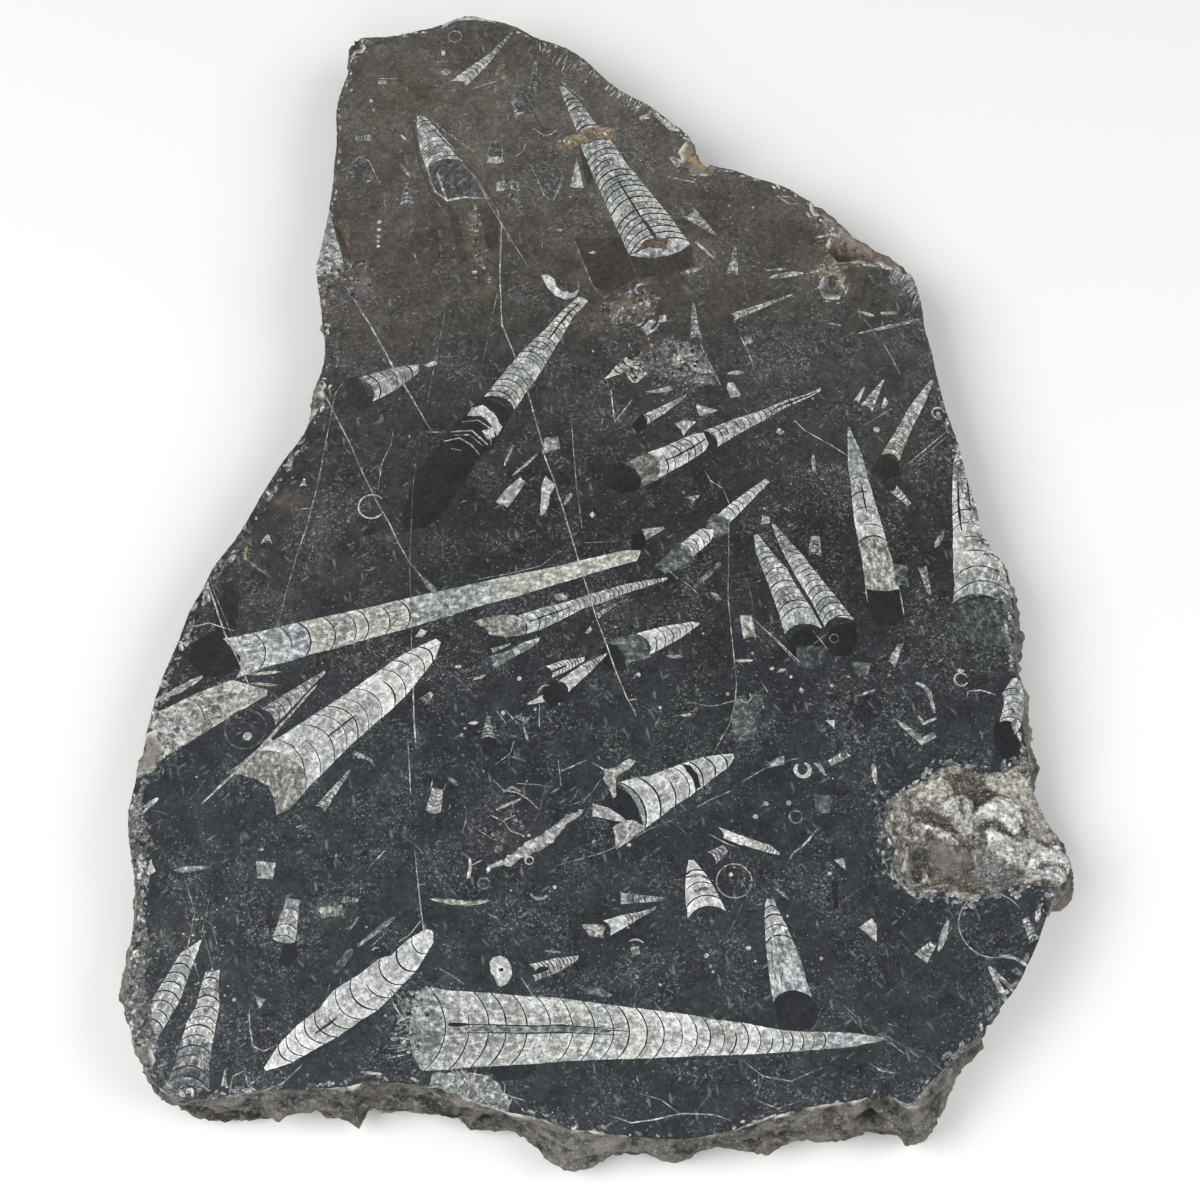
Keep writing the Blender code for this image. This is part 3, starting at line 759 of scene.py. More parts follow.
SHELLS = (
    # Long shell at the foot of the slab.
    Shell((124, -253, 110, -250.8, 100, -250.4, 90, -250.4, 80, -249.6, 71.7, -248.3, 61.7, -246.3, 50, -245,
        40, -243, 20, -240.4, 0, -238, -20, -235, -32.5, -234.6, -50, -233, -70, -231.7, -79, -230),
        (123, -254, 110, -257, 96, -258, 83, -259, 70, -260, 50, -260.8, 40, -261, 20, -262, 0, -262.5, -18,
        -263.3, -31, -264.6, -47.5, -265.4, -56, -265.8, -68, -267, -79, -267.5), septa=(25.5, 30.7, 35.2,
        39.8, 44, 48.8, 54, 59.5, 64.8, 70, 76.2, 82, 88.5, 96.7, 104.1, 112, 119, 127.3, 137, 146.7, 157,
        166.2, 173.9, 182.7, 193.2), bands=((24.0, G), (34.0, S), (150.0, W), (190.0, P), (999.0, G)),
        cores=((112, 124, -0.06, 0.5), (118, 190, -0.13, 0.6), (118, 188, 0.09, 0.5), (183, 192, -0.13, 1.9)),
        strip=(120, 189, -0.02, 3.6), base=-0.35, mottle=0.8, wall=0.6),
    # Broad shell at the left.
    Shell((-79.5, -62.2, -85, -65, -90, -67.5, -95, -70.5, -100, -74, -110, -82, -120, -89.7, -135, -100.5,
        -148, -110, -160.8, -119), (-77, -64.2, -79.5, -72, -84, -79, -92, -90.5, -100, -99, -110, -108.5,
        -120, -118.5, -130, -130, -137, -137.5),
        septa=(6.6, 12.3, 18.7, 25.4, 32.2, 40.3, 48.4, 54.9, 61.6, 69.4, 78.2), bands=((999.0, W),),
        sag=0.52, base=0.5, cores=((53, 70, 0.1, 0.9),), mottle=0.55),
    # Long cream shell across the middle left.
    Shell((18.5, -15.6, 10, -15.8, 1.7, -17.9, -10, -20.8, -20, -23.8, -40, -28, -50, -30.4, -70, -35.4, -90,
        -40, -110, -45.5, -130, -50, -150, -55, -170, -60, -180.8, -62.1), (16.5, -21, 6.7, -24, -10, -29.6,
        -20, -33, -40, -39.6, -60, -45.4, -70, -49, -90, -55.8, -110, -61.7, -130, -68, -138, -70, -150,
        -74.2, -160, -76.7, -166.7, -80, -173.3, -82.5),
        septa=(114.1, 124, 134.4, 140.4, 150.7, 162.6, 171.8, 184.6),
        bands=((72.0, OL), (114.0, G), (151.0, C), (162.6, P), (184.6, BL), (999.0, W)), mottle=1.0),
    # Upright shell under the centre of the top half.
    Shell((-12.6, 127.4, -20, 120, -30, 107.5, -40, 96.7, -52, 80, -59.5, 69),
        (-10.8, 127.2, -7.5, 125, -15, 115.8, -20, 105.8, -25, 95.8, -30, 85.8, -36.7, 74, -44.2, 62),
        law=(4, 72, 3.4, 4.2), bands=((999.0, P),), cores=((3, 30, 0.0, 1.0),), mottle=0.9, wall=0.6),
    # Long grey shell at the top.
    Shell((-23.3, 258.8, -20.5, 250, -17, 240, -13.3, 229, -10.8, 218, -6.7, 206.7, -0.8, 190.8, 5, 175, 10,
        162.5, 13.3, 153), (-20.8, 259, -13, 250, -6.7, 240, -1.3, 231, 5.8, 221.7, 11.7, 210.8, 18.3, 201,
        25.8, 190, 33.3, 179, 40, 168, 45, 159.6), law=(6, 110, 3.1, 4.4), bands=((75.0, S), (999.0, P)),
        cores=((66, 106, 0.05, 1.0),), mottle=1.0, wall=0.8, base=-0.3),
    # Two ribbed lengths right of the centre.
    Shell((109, 74.6, 102.5, 70.8, 90, 66.7, 80, 61.7, 70, 58.3, 50, 50),
        (109.4, 73, 105, 70, 90, 62.5, 80, 55.8, 70, 50, 56.7, 41), law=(3, 58, 2.7, 3.3),
        bands=((999.0, P),), cores=((3, 32, 0.0, 0.8),), wall=0.6, mottle=0.9),
    Shell((50, 49, 45, 48.3, 40, 45.8, 30, 41, 22, 37.6),
        (52.5, 42.5, 50, 38.3, 40.8, 31.7, 30, 25.4, 27, 24), law=(3.5, 27, 3.7, 4.4), bands=((999.0, W),),
        cores=((0, 26, 0.1, 0.9),), wall=0.7, mottle=0.7),
    # Bold shell below the middle.
    Shell((60.5, -120.3, 55, -120.5, 47, -122, 40, -124, 34, -126, 28, -128.5, 22, -131, 15, -132, 7, -134.5),
        (61.2, -121.8, 58, -127, 54, -130, 50, -133, 46, -136.5, 40, -141, 35, -144.5, 31, -147, 27, -150.5,
        18.5, -157), septa=(4.4, 10.7, 17.5, 21.2, 25, 32.4, 40.5, 48.4), sag=0.42, base=0.2,
        bands=((4.4, G), (15.0, P), (48.0, W), (999.0, G)), mottle=0.5),
    # Pair of shells lying side by side at the right.
    Shell((73.4, -7.4, 74, -16.7, 77.5, -27.5, 80.8, -38.3, 84, -48, 86.7, -60),
        (75.2, -6.8, 81.7, -16.7, 88.3, -25, 93.3, -35, 100, -46.7, 104.6, -57), law=(4, 47, 3.0, 4.4),
        bands=((12.0, S), (999.0, P)), mottle=0.9, wall=0.6),
    Shell((82.3, -1.7, 84, -8.3, 88.6, -20, 93.2, -30, 99.6, -41.7, 105.8, -56),
        (84, -1.6, 90, -10, 96.7, -18.3, 105, -30.8, 113.3, -42.5, 120, -52.5), law=(4, 60, 2.8, 4.0),
        bands=((12.0, G), (999.0, P)), mottle=0.9, wall=0.6),
    # Two upright shells at the right rim.
    Shell((121.6, 52, 120.8, 30, 121.7, 20.8, 122.5, 0, 124, -10.8, 125.4, -23, 126.3, -36),
        (122.6, 52, 128, 36.7, 130, 25, 132.5, 13.3, 135, 1.7, 137.5, -10, 140, -21.7, 142.5, -36),
        septa=(28, 36, 44.5, 54, 60.5), bands=((27.0, A), (60.5, P), (999.0, OL)),
        cores=((32, 48, 0.1, 0.8),), mottle=0.9, base=-0.15),
    Shell((176, 42, 173, 32.5, 172, 24, 170.8, 10, 170.4, -3.3, 169.6, -15, 169, -27.5, 169.2, -34, 167.5,
        -44), (180.5, 40, 181, 26.7, 182, 13, 183.3, 0.8, 186.7, -8.3, 190.8, -16.7, 194, -27.5, 195.8, -38,
        196, -47.5), septa=(2.5, 7.5, 12.5, 17.5, 23, 28.5, 34.5, 41.5, 49, 56.5, 65, 73, 81.5),
        bands=((22.0, S), (48.0, W), (999.0, P)), sag=0.55, cores=((18, 46, -0.45, 1.1), (18, 40, 0.5, 0.9)),
        mottle=0.7),
    # Short shell under the long cream one.
    Shell((31, -30, 20, -31.8, 10, -34, 0, -37, -10, -40.4, -20, -43.8, -30, -46.3, -40.5, -50.2),
        (30.8, -31.2, 18, -36, 10, -39, 0, -43.3, -10, -46.7, -20, -52.5, -30, -57.5, -36.7, -59.6),
        law=(3, 68, 1.7, 3.4), bands=((999.0, P),), cores=((48, 70, -0.1, 0.8),), wall=0.5, mottle=0.7),
    # Broken shell at the middle.
    Shell((80, 23.4, 70, 15.8, 61.7, 9, 56, 3.5), (82, 21.6, 75, 14, 70, 8.3, 62, -0.4),
        law=(2.5, 26, 2.4, 3.2), bands=((999.0, W),), wall=0.5, base=0.2),
    Shell((53.8, -4.5, 47.5, -4.0, 42, -8.5, 37.5, -12.5), (53.8, -7.5, 52, -11, 48, -15, 43, -18.8),
        law=(3, 16, 3.4, 3.6), bands=((999.0, W),), wall=0.6),
    Shell((46, -53.8, 42, -53.5, 36, -54.5, 30, -55.5, 24, -57, 16, -59.5),
        (46.2, -54.6, 43, -57, 40, -59.5, 36, -62.5, 30, -66, 22, -70.5),
        septa=(3.6, 6.9, 10.2, 14, 18, 22.5), bands=((999.0, W),), wall=0.6),
    # Shells at the lower right.
    Shell((74, -190, 73, -193, 72.8, -200, 72.8, -206, 73, -211, 73.5, -220, 74.5, -230, 75.4, -237),
        (77, -190, 78.5, -194, 80.5, -198, 82.5, -202.5, 84.5, -208, 87, -214, 89, -221, 91, -229, 92.5,
        -235), septa=(3, 7, 12, 17), bands=((17.0, W), (999.0, S)), base=0.5, mottle=1.2),
    Shell((39, -171.6, 38, -176, 37.5, -181, 37.3, -188, 37.5, -193, 38.2, -199),
        (41.4, -171.6, 44, -175, 47, -179, 50, -184, 52.5, -189, 55.5, -195.5), septa=(4.7, 10.8, 17.4),
        bands=((999.0, W),), base=0.45, mottle=0.35),
    # Thick shell at the lower left.
    Shell((-148.6, -266.4, -143, -256.5, -139, -251.7, -135, -247.5, -125.8, -240, -120, -232, -114, -228,
        -109, -225, -105, -221.5, -101, -218, -95, -216, -92, -213, -87, -208.5, -81, -204.5), (-147.6,
        -267.6, -136.7, -264, -126.7, -258, -116.7, -252.5, -106.7, -245, -100, -240.8, -94, -234.6, -89,
        -229, -82.5, -221.7, -79.5, -216, -76, -210, -76.5, -205.5),
        septa=(9, 13.5, 18.5, 23.5, 29, 35, 41.5, 49, 56.8, 65, 73.9, 83.4), bands=((999.0, W),), sag=0.5,
        base=-0.5, cores=((26, 38, 0.1, 1.0),), mottle=0.4),
    # Shells at the left rim.
    Shell((-158, -88.3, -175, -83.3, -189, -89, -200, -95, -211.3, -100.8),
        (-158, -91, -166.7, -96.7, -176.7, -103.3, -187.5, -110.8, -200, -119, -208, -125.8), septa=(31,),
        bands=((999.0, OL),), mottle=1.3, base=-0.2),
    Shell((-189, -215, -200, -236, -205, -244, -209.6, -253, -207, -260),
        (-180, -208.6, -183.3, -220.8, -188.3, -238, -191.7, -244, -195.8, -252.5, -199, -263),
        law=(4, 48, 4.4, 4.9), bands=((999.0, P),), mottle=0.7),
    Shell((-177, -223.6, -178.8, -230, -180, -238, -184, -246.7, -185.8, -255, -188, -265, -191.7, -276.7),
        (-171, -222.6, -171, -230, -170, -238, -171, -246.7, -171.7, -255, -172.5, -265, -171.7, -276.7),
        law=(3, 50, 4.2, 4.8), bands=((33.0, P), (999.0, A)), mottle=1.2, base=0.3),
    # Shells at the upper left.
    Shell((-98.6, 239.6, -98.8, 235, -96.7, 220, -93.3, 208, -92, 205.4),
        (-97, 240, -93.3, 238, -87.5, 230.8, -80, 220.8, -73.3, 210.4), law=(3.5, 30, 2.8, 3.8),
        bands=((999.0, P),), mottle=1.0, wall=0.5),
    Shell((-92.6, 88, -105, 86, -114, 83, -123, 80), (-92.8, 83, -103, 74, -109, 70, -115, 66.5),
        septa=(3.5, 7.5, 12, 16.5, 21.5), bands=((999.0, S),), mottle=0.8),
    Shell((-49.4, 295.4, -60, 281.5, -70, 273, -82, 262), (-48.4, 294.6, -54, 286, -63, 271.5, -73, 259.5),
        law=(3, 40, 2.4, 3.0), bands=((12.0, G), (999.0, P)), wall=0.6, mottle=0.8),
    # Tapering shell at the upper right.
    Shell((165.8, 78.6, 161.3, 66.7, 155.8, 55.8, 151.7, 47.5, 146.3, 33.3),
        (164.8, 78.8, 160, 73.3, 152.5, 62.5, 145, 49, 140, 41, 137.5, 36.7), law=(3, 48, 2.8, 3.8),
        bands=((33.0, P), (999.0, OL)), wall=0.5, mottle=0.8),
    Shell((193.5, -82.6, 199, -86.5, 198.5, -97, 194.5, -108),
        (192.6, -83.4, 188, -90, 188.5, -95, 185.5, -104.5), law=(4, 22, 3.6, 4.2), bands=((999.0, P),),
        wall=0.6, mottle=0.7),
    # Shells between the cream one and the foot.
    Shell((-8.7, -71.5, -18, -73, -27, -76.3), (-9, -73.5, -15, -77.5, -24, -82.2), law=(1.5, 14, 1.5, 1.8),
        bands=((999.0, W),), wall=0.5, cores=((9, 17, 0.1, 1.2),)),
    Shell((2, -69.5, -8, -74.5, -14, -78.5, -21, -84), (1.2, -71, -6, -79, -11, -84, -16.3, -89.5),
        law=(1.5, 12, 1.3, 1.6), bands=((12.5, P), (999.0, BL)), wall=0.45, mottle=0.5),
    Shell((-30, -61.5, -38, -64, -44, -68, -54.5, -71.5), (-31, -64.5, -36, -68, -44, -72.5, -52, -77.5),
        law=(3, 22, 3.4, 4.0), bands=((999.0, G),), wall=0.4, mottle=1.0),
    Shell((65.5, -50, 66, -56, 67, -62.5), (71, -50, 72, -56, 73, -62), bands=((999.0, OL),), mottle=0.8),
    Shell((80.5, -168, 76, -164.5, 72.5, -163.5, 62, -159.5, 53, -156),
        (80.7, -169.3, 75, -168, 72, -167, 62, -164, 55, -161), law=(1.5, 8.5, 1.5, 1.8),
        bands=((8.8, P), (999.0, OL)), wall=0.45, mottle=0.9),
    Shell((24, -193.4, 17, -196, 10, -197, 0, -200), (23.6, -194.8, 17, -198.5, 10, -203, 3, -207),
        septa=(6.5, 8.3, 10.1, 11.9, 13.7), bands=((6.0, F), (14.5, P), (999.0, C)), wall=0.5, mottle=0.8),
    Shell((-11, -216, -20, -217, -33, -220), (-11.5, -218, -20, -223.5, -30.5, -227.5),
        law=(1.6, 18, 1.6, 1.9), bands=((999.0, P),), wall=0.5, cores=((14, 20, 0.1, 3.0),)),
    # Fan of boulders and little shells right of the centre.
    Shell((1, 79.5, 6, 86, 12, 92.5), (9, 82.5, 13, 86, 17, 90), law=(3, 12, 3, 3.4), bands=((999.0, C),)),
    Shell((36, 100.6, 28, 96.6, 20, 91.4, 12, 85), (37.6, 97, 32, 90, 24, 84, 16.6, 77),
        law=(2, 30, 2.1, 2.5), bands=((999.0, C),), mottle=1.1, wall=0.7, base=-0.4),
    Shell((41.8, 70.6, 30, 64, 20, 59), (41.4, 69, 31, 60, 21.7, 53.5), law=(2, 22, 2.6, 3.2),
        bands=((999.0, P),), wall=0.5),
)

CONES = (
    Cone(S, (-131, 225, -122, 226), (2, 4), 1.6),
    Cone(S, (-103, 196, -102, 183.6), (1, 7.4), 2.4),
    Cone(P, (-131.5, -79, -157, -102), (1, 11), 3.4),
    Cone(W, (-117.5, -128.5, -130, -147), (1, 5), 2.4),
    Cone(W, (-140, -190, -143.2, -209), (6, 10.5), 4.4, -0.2),
    Cone(P, (-165.5, -267, -165.5, -274.5), (0.8, 2.6)),
    Cone(S, (-15, -220, -31, -226.5), (1.2, 3), 2.0),
    Cone(P, (58.5, 165, 44.7, 179), (1, 8), 3.0),
    Cone(P, (57.5, 150.5, 48, 161), (0.6, 1.8)),
    Cone(S, (68.6, 158, 66.5, 141), (0.8, 6), 3.2),
    Cone(P, (141, 79, 131.5, 62.7), (0.8, 6.6), 2.6),
    Cone(P, (131, 75, 126.7, 66.5), (0.8, 2.8)),
    Cone(S, (46.3, 124, 47, 103), (0.8, 5.6), 2.8),
    Cone(P, (6.5, -44, -3, -50.5), (0.6, 3), 1.6),
    Cone(P, (20, -7.2, 30, -3.4), (6, 1.2)),
    Cone(P, (47, 14, 42.2, 11.2), (0.8, 4.2), 1.6),
    Cone(P, (103, -8.3, 102.6, -18.8), (4.4, 6.4), 2.2),
    Cone(P, (-147, 23.5, -147, 19), (0.8, 3.4), 1.4),
    Cone(P, (-163, -7.2, -163, -12), (1.2, 5.6), 1.7),
    Cone(P, (105, -125, 114.5, -119.5), (3, 4), 1.9),
    Cone(P, (190, -199, 193, -208), (2.8, 4.2), 2.0),
    Cone(W, (-76.3, -137.5, -78, -148), (5.2, 7), 2.3, -0.4, -0.55),
    Cone(S, (-54, -101.6, -53.6, -113), (1, 6.6), 1.6),
    Cone(W, (-35.6, -95.4, -27.6, -92.6), (0.8, 3.6)),
    Cone(S, (-80.5, -90, -85, -94.5), (2.4, 4.4), 1.8),
    Cone(P, (-44, -65, -53, -68.4), (1, 2.2), 1.2),
    Cone(S, (-41.2, -101.6, -34.6, -104), (0.8, 3.4), 1.7),
    Cone(P, (56, -166, 49.4, -170.6), (4, 6.8), 2.0),
    Cone(S, (103, -131, 99, -124), (1, 3)),
    Cone(P, (-107, -124, -116, -119.4), (1.0, 2.2), 1.2),
    Cone(S, (-118, -190, -110.4, -190.6), (3.2, 1.4), 1.5),
    Cone(S, (-47, 250, -42, 240), (4, 9), 2.6),
    Cone(A, (-36, 275, -38, 253), (2, 5), 3.4),
    Cone(P, (97, 129, 66, 115.6), (0.8, 4.2), 4.5),
    Cone(S, (8, -189.6, 28, -190), (5.4, 1.4), 3.0),
    Cone(P, (142, -217.5, 148, -210.4), (7, 3.2), 2.6),
    Cone(W, (150, 9, 142.5, 18), (2.4, 5), 2.2),
    Cone(S, (157, -39, 154, -24), (1.4, 4.6), 3.0),
)

PATCHES = (
    # Broad shells and chamber walls with their own outlines.
    Patch(W, (-65.3, 62.8, -60, 64.6, -54.5, 60.4, -50, 52, -52.4, 47.2, -56.8, 55, -61, 58.6, -67.6, 58.4),
        0.5),
    Patch(W, (-60, 50, -54.6, 52, -53.4, 46.8, -57, 45), 0.4),
    Patch(C,
        (-180.8, -62.1, -174.6, -63.4, -170.2, -69, -168.6, -77, -172.4, -82, -171.4, -77.5, -171.7, -71.7),
        0.6),
    Patch(A,
        (18, 92, 30, 100, 36, 102.5, 43, 101, 50, 95, 55, 87, 58, 79, 55, 76, 47, 76, 38, 80, 28, 81, 20, 84),
        1.2, 1.3),
    Patch(OL, (36, 100.5, 40, 99.6, 46, 96, 49, 91.6, 46.6, 90, 42, 91.6, 38, 94.6), 0.9, 0.7),
    Patch(C, (35.6, 93.6, 39.6, 93, 41, 89, 38, 86, 34.6, 87.4), 0.8, 0.7),
    Patch(S, (42.6, 88.6, 48, 90, 53, 87.6, 54.6, 83.6, 50, 82.6, 45, 84.6), 0.8, 0.7),
    Patch(G, (46, 81.6, 52, 81.4, 56, 78, 52, 75.8, 47.6, 77.6), 0.8, 0.7),
    Patch(G, (33, 84.6, 38, 85, 41, 81.6, 36, 80.6), 0.8, 0.7),
    Patch(P, (16.5, 110.5, 22, 113.5, 26, 114, 28.5, 111, 27, 108, 22.5, 105, 20, 109), 0.7),
    Patch(S, (28, 112, 33, 113, 32, 117, 28.5, 116.4), 0.7),
    Patch(W, (-50.7, -219, -49, -216.7, -46, -216, -43, -217.5, -41, -221, -40.6, -225, -42.5, -228.5, -45.5,
        -230.3, -47, -229.5, -48, -226.5, -50, -223.5), 0.3, 0.15),
    Patch(INK, (-46.6, -222, -44.6, -221.6, -44.4, -223, -46, -223.4), 0.2, 0.1),
    Patch(W, (-28.3, 25, -23.5, 20, -26, 14, -26.5, 9, -29, 3.5, -30.5, 3, -30.5, 10, -30, 20), 0.4),
    Patch(P, (-41, 24, -38, 21.5, -43, 13, -46.5, 7.5, -52.5, 10.5, -48, 17), 0.6),
    Patch(S, (-30, 37, -21, 40, -22, 47, -29, 46), 0.8),
    Patch(P, (-13.5, 213, -17, 194.5, -10, 194), 0.9),
    Patch(W, (-31.6, 140.6, -28.4, 141, -24.6, 138, -24, 134, -20, 130.4, -15, 129.6, -12.4, 131, -14, 127.4,
        -19, 126, -24.6, 128.6, -28.6, 133.6), 0.4, 0.2),
    Patch(S, (-56, 198, -50, 198.4, -50, 192.4, -55.6, 192), 1.0),
    Patch(S, (-48.6, 198, -43.6, 198, -43.8, 192, -48, 191.6), 1.0),
    Patch(A, (-46, 189.4, -41.6, 189, -42, 183.6, -45.8, 184), 1.0),
    Patch(P, (-5, -144.5, 2, -146.5, 8, -150, 12, -154, 6, -153, 0, -151.6, -5, -150.6), 0.7),
    Patch(P, (-9, -147.5, -17, -150, -22, -155, -29, -160, -36, -164, -42, -169, -48, -172.5, -52, -174,
        -52.8, -178, -50.5, -176, -47, -174, -42, -174.5, -36, -170, -29, -167.5, -23, -163, -19, -157, -11,
        -150.5), 0.9, 0.9),
    Patch(C, (1, -128, 6, -127, 12, -122.6, 15.4, -124, 13, -127, 7, -131, 5.6, -135, 6, -141, 4.6, -142, 2.4,
        -136, 0, -132.6), 0.7, 0.5),
    Patch(W, (115, -203, 121, -199, 123, -202, 122.5, -210, 117, -204.5), 0.5),
    Patch(P, (105, -171.5, 109.5, -170.5, 110.5, -176.5), 0.5),
    Patch(A, (118, -74, 127, -75, 125, -81, 119, -80)),
    Patch(P, (62, 74, 63, 77.5, 65.5, 77.5, 69, 70, 64, 68.5), 0.6),
    Patch(P, (57.5, 61.5, 46.5, 65, 48, 58), 0.6),
    Patch(S, (72, 99, 76, 101, 75, 105, 71.6, 104), 0.7),
    Patch(P, (35.5, 54, 41, 56, 46.5, 55, 43, 51.5, 40, 47, 39, 51), 0.6),
    Patch(P, (21.5, 72, 34, 75.5, 35, 73, 28, 71.4), 0.6),
    Patch(P, (138.5, 63, 141, 69, 142.6, 66, 140.4, 62.4)),
    Patch(W, (104, -103.6, 108.4, -103.4, 108, -108, 106, -105.6), 0.3),
    Patch(S, (140, -65, 143, -64.5, 138, -77, 135.5, -73), 0.8),
    Patch(S, (137, -103, 141, -105, 149, -112, 154.6, -109.4, 155.4, -112, 148.6, -116, 139, -106.6), 0.8),
    Patch(A, (140, -23, 147, -24, 147, -35, 141, -34), 1.0),
    Patch(P, (77, -1.6, 81, -1.2, 81.4, 2.4, 77.6, 3), 0.6),
    Patch(INK, (-44, -15, -40, -14, -36.5, -17, -40, -18)),
    Patch(INK, (103.5, -181, 106.5, -182, 106, -195, 104, -194)),
    Patch(INK, (37, -125, 40.6, -126, 43.6, -130, 45.2, -136.4, 42.6, -137.6, 41.2, -132, 38.6, -128.6), 0.1),
    Patch(W, (-212, -176, -206, -171.5, -203.5, -177, -210, -182), 0.5),
    Patch(S, (-158, -172, -149, -173, -150, -181, -157, -180), 0.9),
    Patch(S, (-155, -234, -149.6, -236, -152, -240)),
    Patch(P, (-200, -97, -193, -99, -190, -105, -194, -111, -201, -112, -205, -106), 0.6),
    Patch(W, (-87.6, 297, -86.6, 301.6, -82, 305.6, -76, 307.9, -69, 307.8, -61, 305, -58, 301, -64, 302.4,
        -71, 303.4, -79, 302.4, -84, 300), 0.8, 0.3),
    Patch(S, (-143.5, 178, -141, 176, -138, 163, -134, 151, -133, 143, -135, 140, -149, 140, -147, 155,
        -144.5, 168), 1.0),
    Patch(P, (-142.4, 285, -139, 282, -136.6, 278, -137.6, 274.4, -140, 276.6, -142, 280.6), 0.5),
    Patch(P, (28, 244, 31, 239, 36, 236, 40.5, 233, 41, 229.6, 35, 231, 30, 237, 27, 241), 0.8, 0.5),
    # Dim shells at the top: dark inside, with a pale outline.
    Patch(F, (-92, 206.6, -84, 209, -74, 209.4, -69, 204, -65, 198, -60, 187.6, -68, 189.6, -73, 188.6, -81,
        186.4, -87, 190.6, -90, 198), 0.8, 0.6),
    Patch(F, (-134, 199, -132.6, 208, -128, 213.6, -123.4, 210.6, -117, 197, -126, 198.6), 0.7, 0.6),
    Patch(F, (-60, 219, -59, 223, -55, 223.4, -53, 219, -52.8, 214, -60, 214), 0.6, 0.6),
    Patch(P, (-60.6, 214, -57, 213, -52.8, 214.2, -52, 210.6, -56, 209.6, -60.8, 210.4), 0.5, 0.8),
    Patch(F, (-36, 205, -31, 203, -27, 206, -21, 205, -22, 196, -26, 186.6, -31, 189), 0.8, 0.7),
    Patch(F, (-46, 256, -38, 262, -35, 250, -37, 242, -46, 242), 1.0, 0.9),
    Patch(RUST, (-135, 175, -132, 175, -130, 154, -132, 153), 0.9, 0.9),
    # The left rim, where the face is broken away in a thin slope.
    Patch(BROWN, (-224, -138, -213, -143, -208, -160, -209, -185, -205, -205, -204, -228, -197, -252, -200,
        -264, -212, -252, -219, -225, -223, -190, -225, -160), 1.0, 1.3),
    Patch(C, (-222, -112, -214, -101, -208, -104, -207, -116, -212, -126, -220, -130), 1.1, 1.3),
    # Rubble on the face, round the hollow.
    Patch(A, (129, -146, 135, -141, 142, -142, 142, -150, 136, -154, 130, -152), 1.3, 1.2),
    Patch(F, (126, -153, 134, -153, 140, -160, 137, -168, 130, -163), 1.3, 1.2),
    Patch(A, (130, -170, 134, -172, 136, -180, 131, -177), 1.3, 1.0),
    Patch(S, (35, 213, 38, 214, 42.6, 208.6, 39, 207), 0.7),
    Patch(P, (19, 239, 24, 241.4, 25, 238, 20, 237.6), 0.7),
    Patch(W, (-90, 87.4, -84, 90.4, -83.4, 88, -88, 86.4), 0.4),
    Patch(P, (-86.8, 279.4, -85, 279.6, -85, 283, -87, 282.6)),
    Patch(BL, (-88, 268, -84, 271, -81.6, 268, -84, 266), 0.8),
    Patch(W, (-120.4, 260.6, -116, 260.4, -116, 262.8, -120, 263)),
    Patch(C, (-10, -201.6, -4, -201, 1, -203, 0, -208, -6, -207.6), 1.2, 1.2),
    Patch(S, (12, -212, 16, -211.6, 16.6, -215, 13, -216.4), 0.9),
    Patch(S, (76.6, -124.6, 84, -121, 84, -125.6, 78, -126.8), 0.9),
    Patch(A, (97, -140, 106, -141, 104, -149, 98, -149)),
    Patch(W, (-8.6, -59, -6, -55.6, -5, -57.4, -7, -59.4), 0.3),
    Patch(W, (-89.6, -61, -87, -57.4, -83.6, -58, -86, -61.4)),
    Patch(P, (110, 177, 114, 178, 116.6, 183, 114, 185, 110.6, 182), 0.8),
    Patch(A, (148, 128, 164, 130, 165, 146, 152, 152, 147, 143), 1.0, 0.9),
    # Iron stains.
    Patch(OCHRE, (-25.4, 222.5, -24, 218, -20, 217, -11.7, 221.7, -1.7, 225.8, 6.7, 224, 6.7, 231.7, 3.3,
        232.5, -6.7, 232.5, -14, 228.8, -20, 226), 0.9, 0.6),
    Patch(SAND, (44, 223, 52, 223, 55, 215, 57.6, 209.6, 62, 208, 57, 206, 52, 207, 49, 211, 48, 217), 0.9,
        0.7),
    Patch(RUST, (17, 155, 24, 157.6, 33, 156, 34, 163, 27, 163.4, 21, 161), 1.0, 0.6),
    Patch(PINK, (115, 176, 121, 177, 130, 173, 131, 166, 122, 165, 114, 168), 0.9, 0.8),
    Patch(OCHRE, (118, 166, 128, 166, 141, 160, 150, 150, 144, 148, 130, 151, 119, 156), 1.0, 0.9),
    Patch(SAND, (112, 147, 120, 148, 125, 139, 122, 133, 116, 132, 113, 138), 0.9, 0.8),
    Patch(BROWN, (-70, 186, -67, 184, -65.4, 172, -64, 160, -65, 160, -68.4, 170, -70.4, 180), 0.8, 0.9),
    Patch(BROWN, (4, 116, 10, 120, 20, 128, 26, 129, 25, 125, 16, 118, 8, 113), 1.2, 1.0),
    Patch(RUST, (17, 94, 22, 99, 25, 97, 20, 92.6), 0.9, 0.4),
    Patch(OCHRE, (-148.6, 76, -146.6, 68, -144.4, 69, -146, 77), 0.9, 0.4),
    Patch(UMBER, (-181, -33, -178, -31, -174.6, -44, -174.8, -56, -178, -55, -180, -44), 1.0, 0.5),
    Patch(SAND, (-56, 273, -52, 274, -54, 268, -49, 264, -51, 261.6, -58, 266), 0.9, 0.6),
    Patch(OL, (-129, -194, -118, -193, -117, -197.6, -127, -198.4), 1.0, 0.5),
    Patch(INK, (126.4, 156, 130.4, 155.4, 130, 158.4, 127, 158.8), 0.2, 0.4),
    Patch(INK, (132.4, 166, 134.6, 165.6, 134.8, 168.4, 132.6, 168.6), 0.2, 0.3),
)

